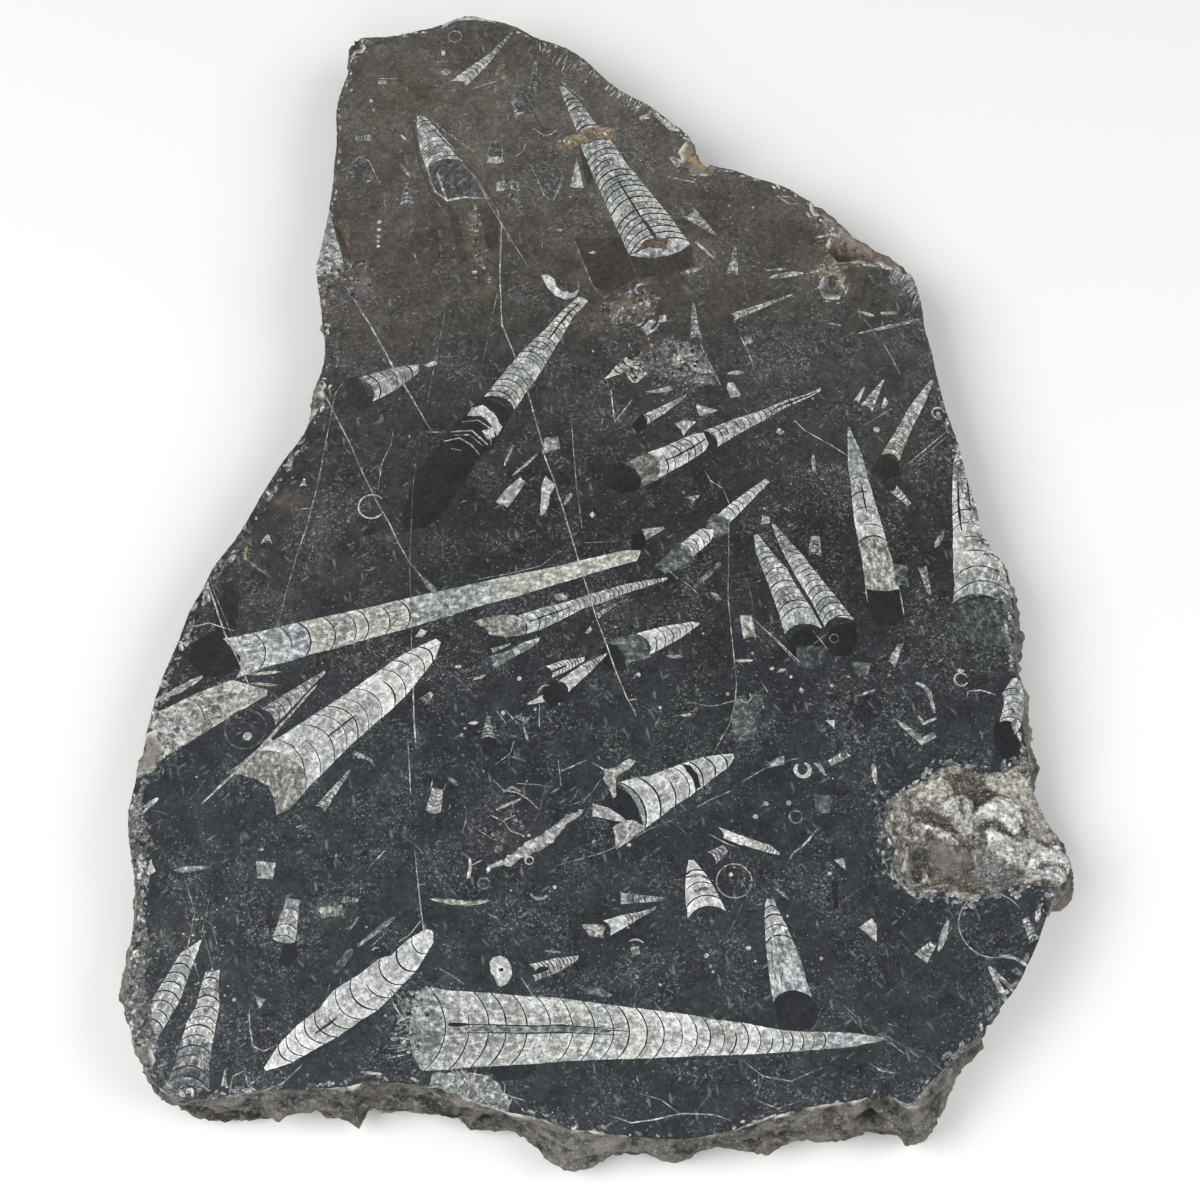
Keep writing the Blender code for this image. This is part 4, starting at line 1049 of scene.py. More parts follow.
STREAKS = (
    # Calcite veins that run down the slab.
    Streak(P, 1.3, (-134, 138, -117.8, 110.4, -104.8, 85.2, -90, 58.8, -85.5, 50), 0.7),
    Streak(P, 0.8, (-88, 49.3, -78, 49.3)),
    Streak(S, 1.2, (-143.5, 90, -142, 76, -140.3, 72.7, -124, 40.4, -121.7, 34, -110.8, 10.8, -104.2, -0.8,
        -99.2, -11.7, -93.3, -22.5, -86.7, -30.4), 0.3),
    Streak(BL, 3.0, (-86.7, -30.4, -77, -43, -72, -50), 0.3),
    Streak(P, 1.1, (-54.6, 180, -52.6, 170, -52.8, 140, -51.2, 111, -44.3, 93, -37.5, 71.8, -29.4, 40.4,
        -28.8, 35.8, -23.3, 20, -16.7, -3.3, -11.7, -21.7, -8.3, -33.3, -3, -52), 0.4),
    Streak(W, 1.0, (-3, -52, 2, -66, 6.5, -80, 11, -92, 14, -97.5, 15.5, -101.5), 0.5),
    Streak(F, 0.9, (-87.3, 138, -89.5, 128, -95.8, 89.7)),
    Streak(A, 0.9, (-78.8, 128, -82, 107, -87.7, 65.5)),
    Streak(S, 0.8,
        (-130, 78, -134, 71, -136.7, 47.5, -140, 20, -144.2, -3.3, -148.3, -19, -152.5, -40, -154.6, -53)),
    Streak(S, 0.8, (-104, 50, -105, 41.7, -108.8, 32.5, -110.4, 16.7)),
    Streak(A, 0.7, (-91.7, 39, -93.3, 16.7, -93.3, -25, -90.8, -59)),
    Streak(A, 0.8, (-178.3, -11.7, -188.3, -38.3)),
    Streak(P, 1.1, (-192, -28.3, -180, -59.6, -172, -75, -165, -90)),
    Streak(S, 0.6, (-190, -30, -176, -62, -168, -80)),
    Streak(Tone.SAND, 1.6, (-176, -6, -173, -12, -173, -20, -167, -25, -160, -30)),
    Streak(P, 1.5, (-185, -145, -173, -132, -160, -118, -142, -95, -135, -86), 0.5),
    Streak(S, 0.7,
        (61.5, 0, 60.8, -20, 60, -40, 61, -56, 62, -70, 63, -85, 62, -95, 59, -106, 55, -113, 51, -121), 0.2),
    Streak(S, 0.8, (50, 28, 53, 22, 59, 18, 62, 9)),
    Streak(P, 0.9, (95.4, 55.8, 100, 50.4, 113.3, 41.7, 121, 36)),
    Streak(P, 0.7, (150, 31, 160, 40, 170, 49)),
    Streak(S, 0.6, (152, 30, 162, 39, 171, 47)),
    Streak(S, 0.7, (130, 53, 144, 62.5)),
    Streak(P, 0.9, (142, 100, 146, 91, 149.5, 82)),
    Streak(S, 0.8, (-92.5, 238, -80, 227, -68, 217)),
    Streak(A, 0.7, (-18, -12, 14, -10.5)),
    Streak(S, 0.7, (-60, -31, -45, -28, -30, -24, -21, -16)),
    Streak(P, 1.1, (4, 73, 6, 55)),
    Streak(P, 0.9, (6, 55, 15, 68)),
    Streak(S, 0.8, (-86.7, 185.8, -80.8, 176.7)),
    Streak(S, 0.9, (-64, 193, -49, 165, -38, 145), 0.7),
    Streak(P, 1.4, (-87, 204, -84, 194, -81, 185.5)),
    Streak(S, 1.2, (-64, 195, -60, 187)),
    Streak(A, 0.9, (-52, 140, -56, 118, -60, 92, -62, 78)),
    Streak(F, 0.9, (-8, 100, -4, 70, -10, 40)),
    Streak(S, 0.7, (-16, 60, -13, 20, -10, -4)),
    # White arcs of the chamber walls below the upright shell.
    Streak(W, 0.9, (-70, 55, -62, 56, -56, 51.5, -55.4, 42), 0.2),
    Streak(W, 1.3, (-75.6, 49.3, -65, 50.2, -56.8, 42), 0.2),
    Streak(P, 0.8, (-73.6, 47.4, -66, 47.8, -59.4, 41.6), 0.2),
    Streak(W, 1.1, (-79, 44, -71, 46, -65, 42, -61, 36.5), 0.2),
    Streak(P, 0.8, (-75, 40, -70, 39)),
    Streak(W, 0.9, (-61, -270.5, -54, -277.5, -47.8, -284)),
    Streak(W, 0.8, (-50.5, -275.9, -42, -278, -34, -280.5)),
    Streak(W, 0.7, (-66, -270, -58, -268.6, -50, -270)),
    Streak(P, 0.7, (-47, -275, -45, -280, -43, -284)),
    Streak(P, 0.7, (-80, -236, -77, -244, -78, -254)),
    Streak(S, 0.8, (-84, -240, -80, -250, -82, -258)),
    Streak(S, 2.6, (131, -176, 136, -183.6, 142, -189, 150, -186, 157, -184, 162, -188, 169, -190.6), 0.3),
    Streak(S, 1.6, (127, -168, 128.6, -176, 132, -181), 0.4),
    Streak(A, 2.0, (172, -190, 178, -187, 185, -184), 0.6),
    Streak(P, 1.3, (-92, 206.6, -90, 198, -87, 191)),
    Streak(P, 1.5, (-88, 192, -81, 186.4, -73, 188.4, -60, 187.4), 0.3),
    Streak(S, 1.0, (-74, 209, -68, 202, -63.6, 195, -59.6, 187)),
    Streak(INK, 1.2, (-98, 240, -84, 224, -64, 200, -53, 178)),
    Streak(INK, 1.2, (-101, 239, -99.6, 226, -96, 208, -89, 190)),
    Streak(S, 0.7, (-134.6, 198, -133, 208, -128, 214, -123, 211, -120, 204, -116.6, 196)),
    Streak(S, 0.6, (-60.6, 212, -60.4, 219, -58.6, 223.4, -55, 223.6, -53, 219, -52.4, 211)),
    Streak(S, 0.8, (-36.4, 205.4, -33, 196, -30.6, 189.4, -26, 186, -23, 193, -21, 205)),
    Streak(A, 0.6, (-36, 231, -33, 228.4, -30, 227.4, -26, 228.6, -24, 231)),
    Streak(A, 0.5, (-36, 231, -33, 233.6, -29, 234, -24, 231)),
    Streak(S, 0.6, (-15, 163, -10, 148, -5, 134, 1, 126)),
    Streak(A, 0.5, (11, 163, 14, 150, 19, 136)),
    Streak(P, 0.6, (-10, 250, -22, 262)),
    Streak(INK, 1.0, (-40, 250, -36, 240, -30, 228)),
    Streak(INK, 1.6, (18, 109, 21, 111.6, 23, 115)),
    Streak(INK, 1.4, (24, 108, 27, 111, 28.6, 115)),
    Streak(INK, 0.9, (-152, -113, -145, -116, -139.6, -123, -137.4, -133)),
    Streak(W, 1.8, (76, -206, 77, -220, 79, -233)),
    Streak(W, 1.2, (80, -205, 84, -219, 88, -231)),
    Streak(W, 0.9, (-200.6, -64, -196, -56, -188, -54, -176, -58)),
    Streak(S, 0.6, (-190, -180, -184, -196, -186, -212, -180, -226)),
    Streak(S, 0.5, (-184, -196, -176, -202, -172, -214)),
    Streak(S, 0.5, (-178, -190, -180, -204, -174, -222, -176, -240)),
    Streak(P, 0.7, (-52, -150, -46, -153, -40, -150)),
    Streak(P, 0.8, (-46, -153, -42, -158, -36, -160)),
    Streak(S, 0.6, (-56, -158, -50, -162, -44, -160)),
    Streak(S, 0.5, (-205, 18, -196, 6, -190, 10, -178, -4)),
    Streak(S, 0.5, (-210, 4, -200, -6, -196, -20, -188, -28)),
    Streak(S, 0.5, (-196, 40, -186, 30, -180, 34, -168, 22)),
    # Long thin scratches and needles.
    Streak(P, 0.9, (-91, -113, -88.7, -140), 0.4),
    Streak(W, 1.1, (-89.5, -85, -88.4, -104, -87, -118), 0.6),
    Streak(S, 0.6, (-91.4, -50, -91, -68)),
    Streak(P, 0.9, (-86, -167, -83.4, -186, -80.6, -205), 0.5),
    Streak(P, 1.3, (-83.6, -183.4, -80.8, -183)),
    Streak(S, 0.9, (-106, -174.5, -99.5, -167)),
    Streak(S, 0.8, (-62.8, -147, -63, -153, -64.6, -159.4)),
    Streak(S, 0.6, (-22, -174.5, -10, -171, 0, -168, 10, -163.5, 20, -157.5, 33, -152)),
    Streak(S, 0.8, (42, -147, 50, -142.4, 60, -138)),
    Streak(S, 0.8, (66, -133, 75, -127.5, 88, -123, 91, -122.5)),
    Streak(P, 0.7, (72, -52, 82, -62, 93, -74)),
    Streak(S, 0.7, (70, -50, 84, -65, 92, -74.6)),
    Streak(A, 0.6, (66, -53, 74, -61, 79, -68)),
    Streak(S, 0.6, (100, -58, 107, -68)),
    Streak(S, 0.6, (99, -66, 106, -60)),
    Streak(A, 0.7, (63, -192, 60, -199, 55, -208)),
    Streak(S, 1.5, (77.5, -184, 84, -190)),
    Streak(S, 0.8, (48, -159, 57, -164, 62, -166)),
    Streak(S, 1.3, (84, -173, 87, -168, 91, -165, 94, -162, 98, -157)),
    Streak(S, 2.2, (-110, -212, -102, -205, -94, -198.5)),
    Streak(A, 1.2, (-104, -212, -97, -205)),
    Streak(A, 4.0, (-120, -224, -112, -213)),
    Streak(A, 1.4, (-115, -206, -110, -198)),
    Streak(P, 0.7, (-82, -200, -87, -206.6, -92, -210)),
    Streak(S, 0.8, (-73, -222, -66, -226, -62, -229)),
    Streak(S, 0.7, (-36.6, -226, -31.6, -233.4)),
    Streak(A, 0.8, (-20, -219, -18, -226)),
    Streak(P, 1.1, (-51, -133, -46, -138, -40, -139, -35, -142, -30, -147)),
    Streak(P, 1.6, (-50, -148, -44, -145, -38, -142.5)),
    Streak(P, 1.5, (-46, -139, -42, -136.6, -38, -138.6)),
    Streak(S, 0.6, (-42, -143, -41, -149)),
    Streak(P, 1.2, (-20, -137, -24, -139.5)),
    Streak(S, 0.7, (-20.8, -123, -19.4, -136)),
    Streak(S, 0.7, (-39.6, -134.8, -30, -135.4, -23, -136.6)),
    Streak(S, 1.2, (-20, -129, -14, -126.4, -8, -123.4)),
    Streak(P, 1.2, (-5, -124.5, -1, -127, 2, -129.4)),
    Streak(S, 0.8, (-1, -132.6, -5, -139, -9, -143)),
    Streak(S, 0.7, (-10, -143.6, -16, -145.6)),
    Streak(P, 1.8, (-60.8, -170.6, -60.4, -175, -61.4, -180.4)),
    Streak(P, 1.1, (-60.4, -174.4, -55, -171.5)),
    Streak(C, 2.6, (-78, -190, -70, -191, -60, -192.2, -51, -190.6), 0.8),
    Streak(S, 1.2, (-52, -196.6, -47, -199.4)),
    Streak(S, 0.8, (-29.8, -95.6, -29.8, -107)),
    Streak(P, 0.9, (-50.5, -98, -48, -101.4, -45.5, -105)),
    Streak(S, 0.8, (-46, -98, -42, -103, -38.5, -106.5)),
    Streak(S, 1.4, (-37, -107, -35, -114)),
    Streak(A, 0.7, (-43, -111, -36, -113.5)),
    Streak(S, 0.6, (-41.5, -114, -43, -120, -50, -125.6)),
    Streak(S, 0.7, (-43.4, -119.6, -43.8, -126.5)),
    Streak(S, 0.6, (-42.6, -121.6, -35.5, -124)),
    Streak(S, 1.2, (-54.6, -99.4, -54, -101)),
    Streak(P, 2.1, (-63, -105.2, -58, -104.6), 0.9),
    Streak(P, 1.6, (-61.6, -83.4, -55, -80.5), 0.9),
    Streak(G, 2.2, (-72.5, -131, -67, -136), 0.9),
    Streak(P, 0.8, (-79.6, -138, -79, -133.6)),
    Streak(S, 0.7, (-73.4, -138, -72.6, -134.6)),
    Streak(S, 2.2, (30, -71, 38, -71.4), 0.9),
    Streak(W, 1.7, (62.6, -73.6, 71, -73.2), 0.7),
    Streak(S, 1.0, (10.5, -93.6, 16, -93)),
    Streak(S, 0.8, (38, -94, 50, -96.6, 54, -96)),
    Streak(S, 0.7, (54, -96, 64.5, -93)),
    Streak(S, 1.5, (36, -101, 42, -100.5), 0.8),
    Streak(P, 2.4, (82, -79.4, 86.6, -77.6), 0.9),
    Streak(S, 2.8, (93, -87, 93.8, -90.4), 0.9),
    Streak(S, 1.0, (74.4, -84, 77.6, -89.6)),
    Streak(S, 1.4, (-26, -214, -19, -214.6)),
    Streak(A, 3.6, (-10, -231, 4, -234), 0.8),
    Streak(S, 2.8, (51.6, -38, 57, -42), 0.9),
    Streak(C, 2.6, (66, -51, 71, -60), 0.8),
    Streak(S, 2.5, (104, 26, 104, 37), 0.9),
    Streak(P, 2.2, (138, 116.2, 130, 119)),
    Streak(P, 2.2, (141.5, 117.7, 149.5, 118)),
    Streak(S, 2.0, (130, 106, 147, 110.4, 164, 115), 0.7),
    Streak(P, 1.6, (115, 112, 121, 110.5), 0.9),
    Streak(S, 1.7, (84, 143.5, 94, 144.5)),
    Streak(P, 3.3, (86, 139, 95, 141, 103, 142), 0.7),
    Streak(S, 2.0, (106, 142, 114, 144, 121, 145.5)),
    Streak(S, 2.4, (40, 141.6, 51, 145), 0.6),
    Streak(P, 1.3, (34, 201, 49, 197.5)),
    Streak(P, 1.8, (110, 163.4, 121, 165.5)),
    Streak(P, 1.2, (69.5, 105, 73, 96, 76, 87)),
    Streak(S, 1.2, (59, 76, 53, 90, 49, 101)),
    Streak(P, 2.6, (62.5, 82.5, 71, 83.5), 0.8),
    Streak(BROWN, 2.6, (44, -35, 50, -29, 57, -22)),
    Streak(S, 0.9, (37, -31, 41, -34, 45, -38)),
    Streak(S, 0.9, (31, -26, 34, -28.4, 36, -31)),
    Streak(S, 2.4, (-107, 210, -101, 201), 0.9),
    Streak(P, 1.5, (-107, 228, -104, 224)),
    Streak(SOOT, 2.4, (-139, 171, -134, 160, -130, 150)),
    Streak(P, 1.2, (-70, 257.5, -57, 262.4)),
    Streak(P, 1.5, (15, 244, 24, 249)),
    Streak(A, 1.0, (5, 248.4, 10, 247)),
    Streak(C, 0.8, (-40.6, 222, -42, 217, -46, 213.8)),
    Streak(S, 0.8, (-120, 264.2, -109, 264)),
    Streak(P, 3.4, (-212.5, -95, -201, -89, -189, -81.7), 0.6),
    Streak(P, 3.4, (-218, -153, -205, -142), 0.6),
    Streak(S, 3.0, (-195, -176.5, -180, -175), 0.9),
    Streak(P, 2.6, (-157.6, -166.7, -154.6, -166.6), 0.9),
    Streak(W, 1.4, (-106, -268, -97, -269)),
    Streak(C, 1.8, (-168, -80.6, -152, -79), 0.8),
    Streak(C, 1.6, (-166, -85, -153, -86), 0.8),
    Streak(P, 1.0, (-156.7, -240, -155.8, -248, -154, -256.7, -149, -259, -143, -256)),
    Streak(P, 0.9, (-163, -280, -162, -270, -157, -267.5, -155, -274, -150, -277, -140, -273, -132, -265)),
    Streak(P, 1.0, (3, -287, 12, -290, 20, -289, 34, -286, 48, -286.5, 55, -289)),
    Streak(S, 0.8, (15, -277, 25, -280, 33, -286)),
    Streak(S, 0.7, (60, -262, 70, -270, 82, -272, 96, -266)),
    Streak(S, 0.7, (70, -270, 66, -280, 76, -284, 90, -279)),
    Streak(S, 0.6, (82, -272, 88, -280)),
    Streak(P, 1.0, (117, -264.5, 122, -267.5, 128, -268.5)),
    Streak(S, 1.6, (-95, -231, -84, -240), 0.8),
    Streak(P, 0.8, (-94, -236, -86, -249)),
    Streak(S, 0.7, (-89, -232, -84, -247)),
    Streak(P, 3.0, (155.5, -200, 150, -214), 0.7),
    Streak(P, 2.5, (172, -221, 176, -230, 180, -240)),
    Streak(S, 2.0, (172, -221, 178, -227, 184, -234)),
    Streak(P, 1.7, (177, -216, 184, -217, 191, -222)),
    Streak(P, 2.6, (125.5, -125, 126, -135), 0.7),
    Streak(S, 1.6, (119, -91.5, 128, -88.5), 0.8),
    Streak(P, 1.2, (171, -92, 172, -89, 178, -88.5, 185, -91)),
    Streak(P, 2.2, (147.4, -84.6, 151.5, -86.6, 153.6, -90, 155.4, -100)),
    Streak(P, 2.0, (148, -101.4, 150, -105, 156, -102.5)),
    Streak(P, 2.4, (166.6, -78.4, 171, -78.6), 0.9),
    Streak(S, 3.2, (166, -5, 161, -14), 0.8),
    Streak(P, 0.9, (126.2, -36, 127, -43)),
    Streak(P, 0.9, (142.4, -36, 144, -50)),
    Streak(P, 0.9, (-148, 6.7, -144, 7)),
    Streak(P, 1.0, (-115, -26.3, -111.5, -26, -110.8, -24.5)),
    Streak(P, 1.6, (-32.5, 37, -38, 31, -44.6, 25)),
    Streak(S, 1.5, (-44.5, 42, -48.5, 30.5)),
    Streak(S, 3.4, (-24, -40, -17, -40.6), 0.9),
    Streak(W, 2.0, (-35.4, -5.4, -32.8, -5.2), 0.9),
    Streak(P, 2.8, (-5, 1.8, -5, 5.2), 0.9),
    Streak(S, 2.4, (-15.5, 15.5, -19, 9), 0.6),
    Streak(W, 1.6, (12, -299.4, 25, -301.2, 40, -300.4, 50, -297.4, 60, -292.4, 75, -286.4), 0.4),
    Streak(W, 2.2, (127, -282, 132, -283, 140, -281, 146, -272), 0.6),
    Streak(W, 2.6, (-7, 154, -3, 154.4), 0.9),
    Streak(P, 1.8, (-24, 168, -21, 168), 0.9),
    Streak(BL, 2.0, (4, 112, 8, 118, 11, 122)),
    Streak(W, 1.7, (86, 50, 88, 48.4, 90, 49.6)),
    Streak(P, 1.0, (-35.4, 230.8, -31.7, 227.6, -28, 227.6, -24, 231)),
    Streak(W, 0.9, (-24, 134, -20.6, 130.4, -16, 129, -12.6, 131.6, -12.4, 136.6)),
    Streak(P, 1.0, (91, 189, 97, 184.4, 102, 184)),
    Streak(S, 1.0, (91, 189, 98, 188.6, 102, 184)),
    Streak(INK, 2.3, (22, 173, 27.5, 163.5)),
    Streak(INK, 0.9, (27, 172.5, 35, 171.2)),
    Streak(INK, 1.0, (88, -15.6, 94, -17)),
    Streak(A, 1.8, (37.6, -179.9, 44, -178.6, 48.4, -180.6), 0.4),
    Streak(G, 2.0, (41, -186.2, 46, -185, 51.6, -187), 0.4),
)

RINGS = (
    Ring(S, (59.5, -181.5), 8.0, 0.6),
    Ring(P, (92.5, -128), 3.4, 1.9, (-230, 70)),
    Ring(A, (88.5, -151), 3.0, 1.0),
    Ring(P, (-113, 8), 6.5, 0.9, (40, 320)),
    Ring(S, (167, 60), 3.0, 0.9, (0, 300)),
    Ring(P, (169, -83), 3.2, 0.9, (20, 330)),
    Ring(F, (-167, -108), 9.6, 0.8),
    Ring(S, (175, -202), 15, 0.5, (30, 300)),
    Ring(S, (-26, -90.5), 4.6, 0.7, (80, 175)),
    Ring(P, (14.6, -213), 4.4, 0.9, (40, 130)),
    Ring(S, (20, 132), 3.2, 1.1, (60, 230)),
    Ring(A, (27, -106), 2.4, 0.6, (20, 250)),
    Ring(S, (67, -92), 2.6, 0.7, (200, 400)),
    Ring(P, (-33.6, -171.8), 1.9, 0.7),
    Ring(A, (-54, -182.6), 2.6, 0.9),
    Ring(S, (-29, -186), 4.0, 1.4, (200, 330)),
    Ring(A, (110, -62), 2.2, 0.8),
    Ring(S, (-80, 292), 3.6, 0.5),
)

DOTS = (
    (-166, -111.5, 2.2), (58.6, -90.5, 0.9), (88.8, -81.6, 0.9), (26.8, -97.2, 0.8), (58, -178.4, 1.1),
    (103, -178, 1.0), (-39.6, -82.6, 1.1), (-31.8, -98.2, 0.7), (-66, -111, 0.8), (-113.4, -121.6, 1.2),
    (46, -216, 1.2), (48, -221, 0.8), (49, -223.4, 0.7), (65, -212.5, 1.2), (68, -218.6, 0.6),
    (25.4, -229.4, 0.7), (97.4, -217.6, 0.9), (83, -197.6, 0.6), (-22, -184.4, 0.9), (-41.6, -186, 0.6),
    (-34, -160, 0.8), (-4.2, -162.6, 0.8), (11.8, -164.4, 1.0), (-116, 173, 1.3), (-116, 168, 1.2),
    (-116, 164, 1.1), (-116, 161, 1.0), (-116, 158, 0.9), (87.5, 50.5, 1.0), (136, 50.7, 1.7),
    (-123.6, 249.4, 1.2), (-134.6, 256.4, 0.9), (-163.6, -236, 0.9), (-68, -76.6, 1.0), (16.8, -80.6, 1.2),
    (71, -69.6, 0.8), (80, -77.4, 1.1), (108, -86, 1.0), (-46.6, -100, 1.2), (-20.6, -95.6, 0.6),
    (6, -56, 0.7), (-18.4, 130.6, 0.7), (111.4, 139.4, 0.8), (-9, 262, 0.7), (75, -144.6, 1.2),
    (85.6, -144.2, 1.2), (70, -150.8, 1.4),
)

# Where the small shell hash is dense.
HASH = (
    Cloud((-45, -157), (20, 17), 0, 1.0),
    Cloud((-80, -103), (22, 15), -35, 0.8),
    Cloud((112, -90), (16, 14), 0, 1.0),
    Cloud((-80, 152), (26, 9), 0, 1.0),
    Cloud((0, -125), (16, 12), 0, 0.6),
    Cloud((-35, 245), (16, 24), 0, 0.8),
    Cloud((60, -75), (26, 18), 0, 0.6),
    Cloud((-190, -206), (14, 12), 0, 1.0),
    Cloud((85, -270), (34, 12), 0, 0.6),
    Cloud((-50, -185), (24, 12), 0, 0.7),
    Cloud((150, -70), (24, 40), 0, 0.5),
    Cloud((20, 110), (24, 20), 0, 0.6),
    Cloud((-115, -45), (18, 9), 0, 0.5),
    Cloud((95, 20), (30, 40), 0, 0.4),
    Cloud((-60, -110), (16, 16), 0, 0.5),
)

# Soft colour in the limestone, from the brown top to the blue-black foot: partly the stone's own colour,
# partly a painted reflection of warm light on the top.
HAZE = (
    Cloud((-20, 240), (170, 90), 0, 1.0, "#514c46"),
    Cloud((-110, 230), (60, 70), 0, 0.5, "#57514a"),
    Cloud((60, 170), (90, 60), 0, 0.7, "#48443f"),
    Cloud((-120, 130), (50, 60), 0, 0.6, "#4c4743"),
    Cloud((-150, -10), (60, 70), 0, 0.8, "#3a383a"),
    Cloud((120, 80), (70, 60), 0, 0.6, "#3e3c39"),
    Cloud((-128, 130), (9, 8), 0, 0.8, "#5d5766"),
    Cloud((-145, 130), (10, 14), 20, 0.8, "#7e7260"),
    Cloud((-121, 135), (6, 6), 0, 0.9, "#8a7568"),
    Cloud((-60, 132), (8, 8), 0, 0.8, "#80705f"),
    Cloud((-84, 130), (6, 8), 0, 0.7, "#6f6a62"),
    Cloud((-148, 72), (6, 9), 0, 0.9, "#96794f"),
    Cloud((14, 122), (17, 11), 25, 0.8, "#86785f"),
    Cloud((-6, 112), (9, 8), 0, 0.6, "#7b6f5c"),
    Cloud((-178, -45), (7, 16), 0, 0.5, "#3c332e"),
    Cloud((-155, 12), (8, 7), 0, 0.7, "#7a6a4e"),
    Cloud((-190, -206), (13, 12), 0, 0.5, "#4a4844"),
    Cloud((-123, -196), (8, 5), 0, 0.9, "#6a6a51"),
    Cloud((125, 172), (14, 9), 0, 0.9, "#8f7468"),
    Cloud((130, 157), (18, 11), -10, 1.0, "#93805d"),
    Cloud((157, 140), (12, 13), 0, 0.9, "#8a857b"),
    Cloud((119, 140), (9, 11), 0, 0.8, "#84734f"),
    Cloud((-69, 165), (8, 30), 8, 0.7, "#6c5f48"),
    Cloud((85, -290), (24, 9), 0, 0.9, "#4d443b"),
    Cloud((52, 214), (12, 12), 0, 0.8, "#7d7057"),
    Cloud((-138, 290), (12, 13), 0, 0.9, "#56523f"),
    Cloud((60, -200), (120, 70), 0, 0.6, "#2a2c2f"),
    Cloud((30, -110), (60, 26), 0, 0.5, "#272a2b"),
    Cloud((-90, -130), (40, 30), 0, 0.5, "#2b2e32"),
    Cloud((-45, -160), (20, 16), 0, 0.8, "#3f3738"),
    Cloud((-100, 258), (34, 22), 0, 0.6, "#4e4a3d"),
    Cloud((24, -212), (50, 12), 10, 0.4, "#242729"),
)
# Colour of the broken wall by place: partly its own dust, crust and stone, partly painted light on the pale
# sides and painted shade on the dark foot.
WALL_COLOUR_LIGHT_AND_SHADE = (
    Cloud((52, 214), (12, 11), 0, 1.0, "#a3906a"),
    Cloud((-147, 118), (12, 22), 0, 0.9, "#8a7a66"),
    Cloud((140, 166), (20, 16), 0, 0.9, "#9a7d6c"),
    Cloud((206, -215), (24, 36), 0, 0.9, "#a29d90"),
    Cloud((208, -90), (24, 30), 0, 0.8, "#908c84"),
    Cloud((202, -5), (24, 42), 0, 0.8, "#97948d"),
    Cloud((5, -308), (50, 18), 0, 0.9, "#716f6d"),
    Cloud((-218, -205), (16, 28), 0, 0.9, "#87827c"),
    Cloud((-221, -118), (16, 28), 0, 0.9, "#a9a69b"),
    Cloud((-100, -292), (42, 20), 0, 0.9, "#47433a"),
    Cloud((100, -302), (26, 15), 0, 0.9, "#483f35"),
    Cloud((134, -306), (15, 14), 0, 0.9, "#88857c"),
    Cloud((-138, 296), (28, 20), 0, 0.9, "#4b4a38"),
)
# The head tone is partly the stone's own brown and partly a painted reflection of warm light.
FOOT_TONE, MIDDLE_TONE, HEAD_TONE_AND_REFLECTION = "#292c30", "#262728", "#45413d"
# The undercut tone is painted shade, laid on the wall the deeper it lies below the face.
WALL_TONE, PAINTED_UNDERCUT_SHADE, HOLLOW_TONE = "#56544f", "#2d2b28", "#7a756f"
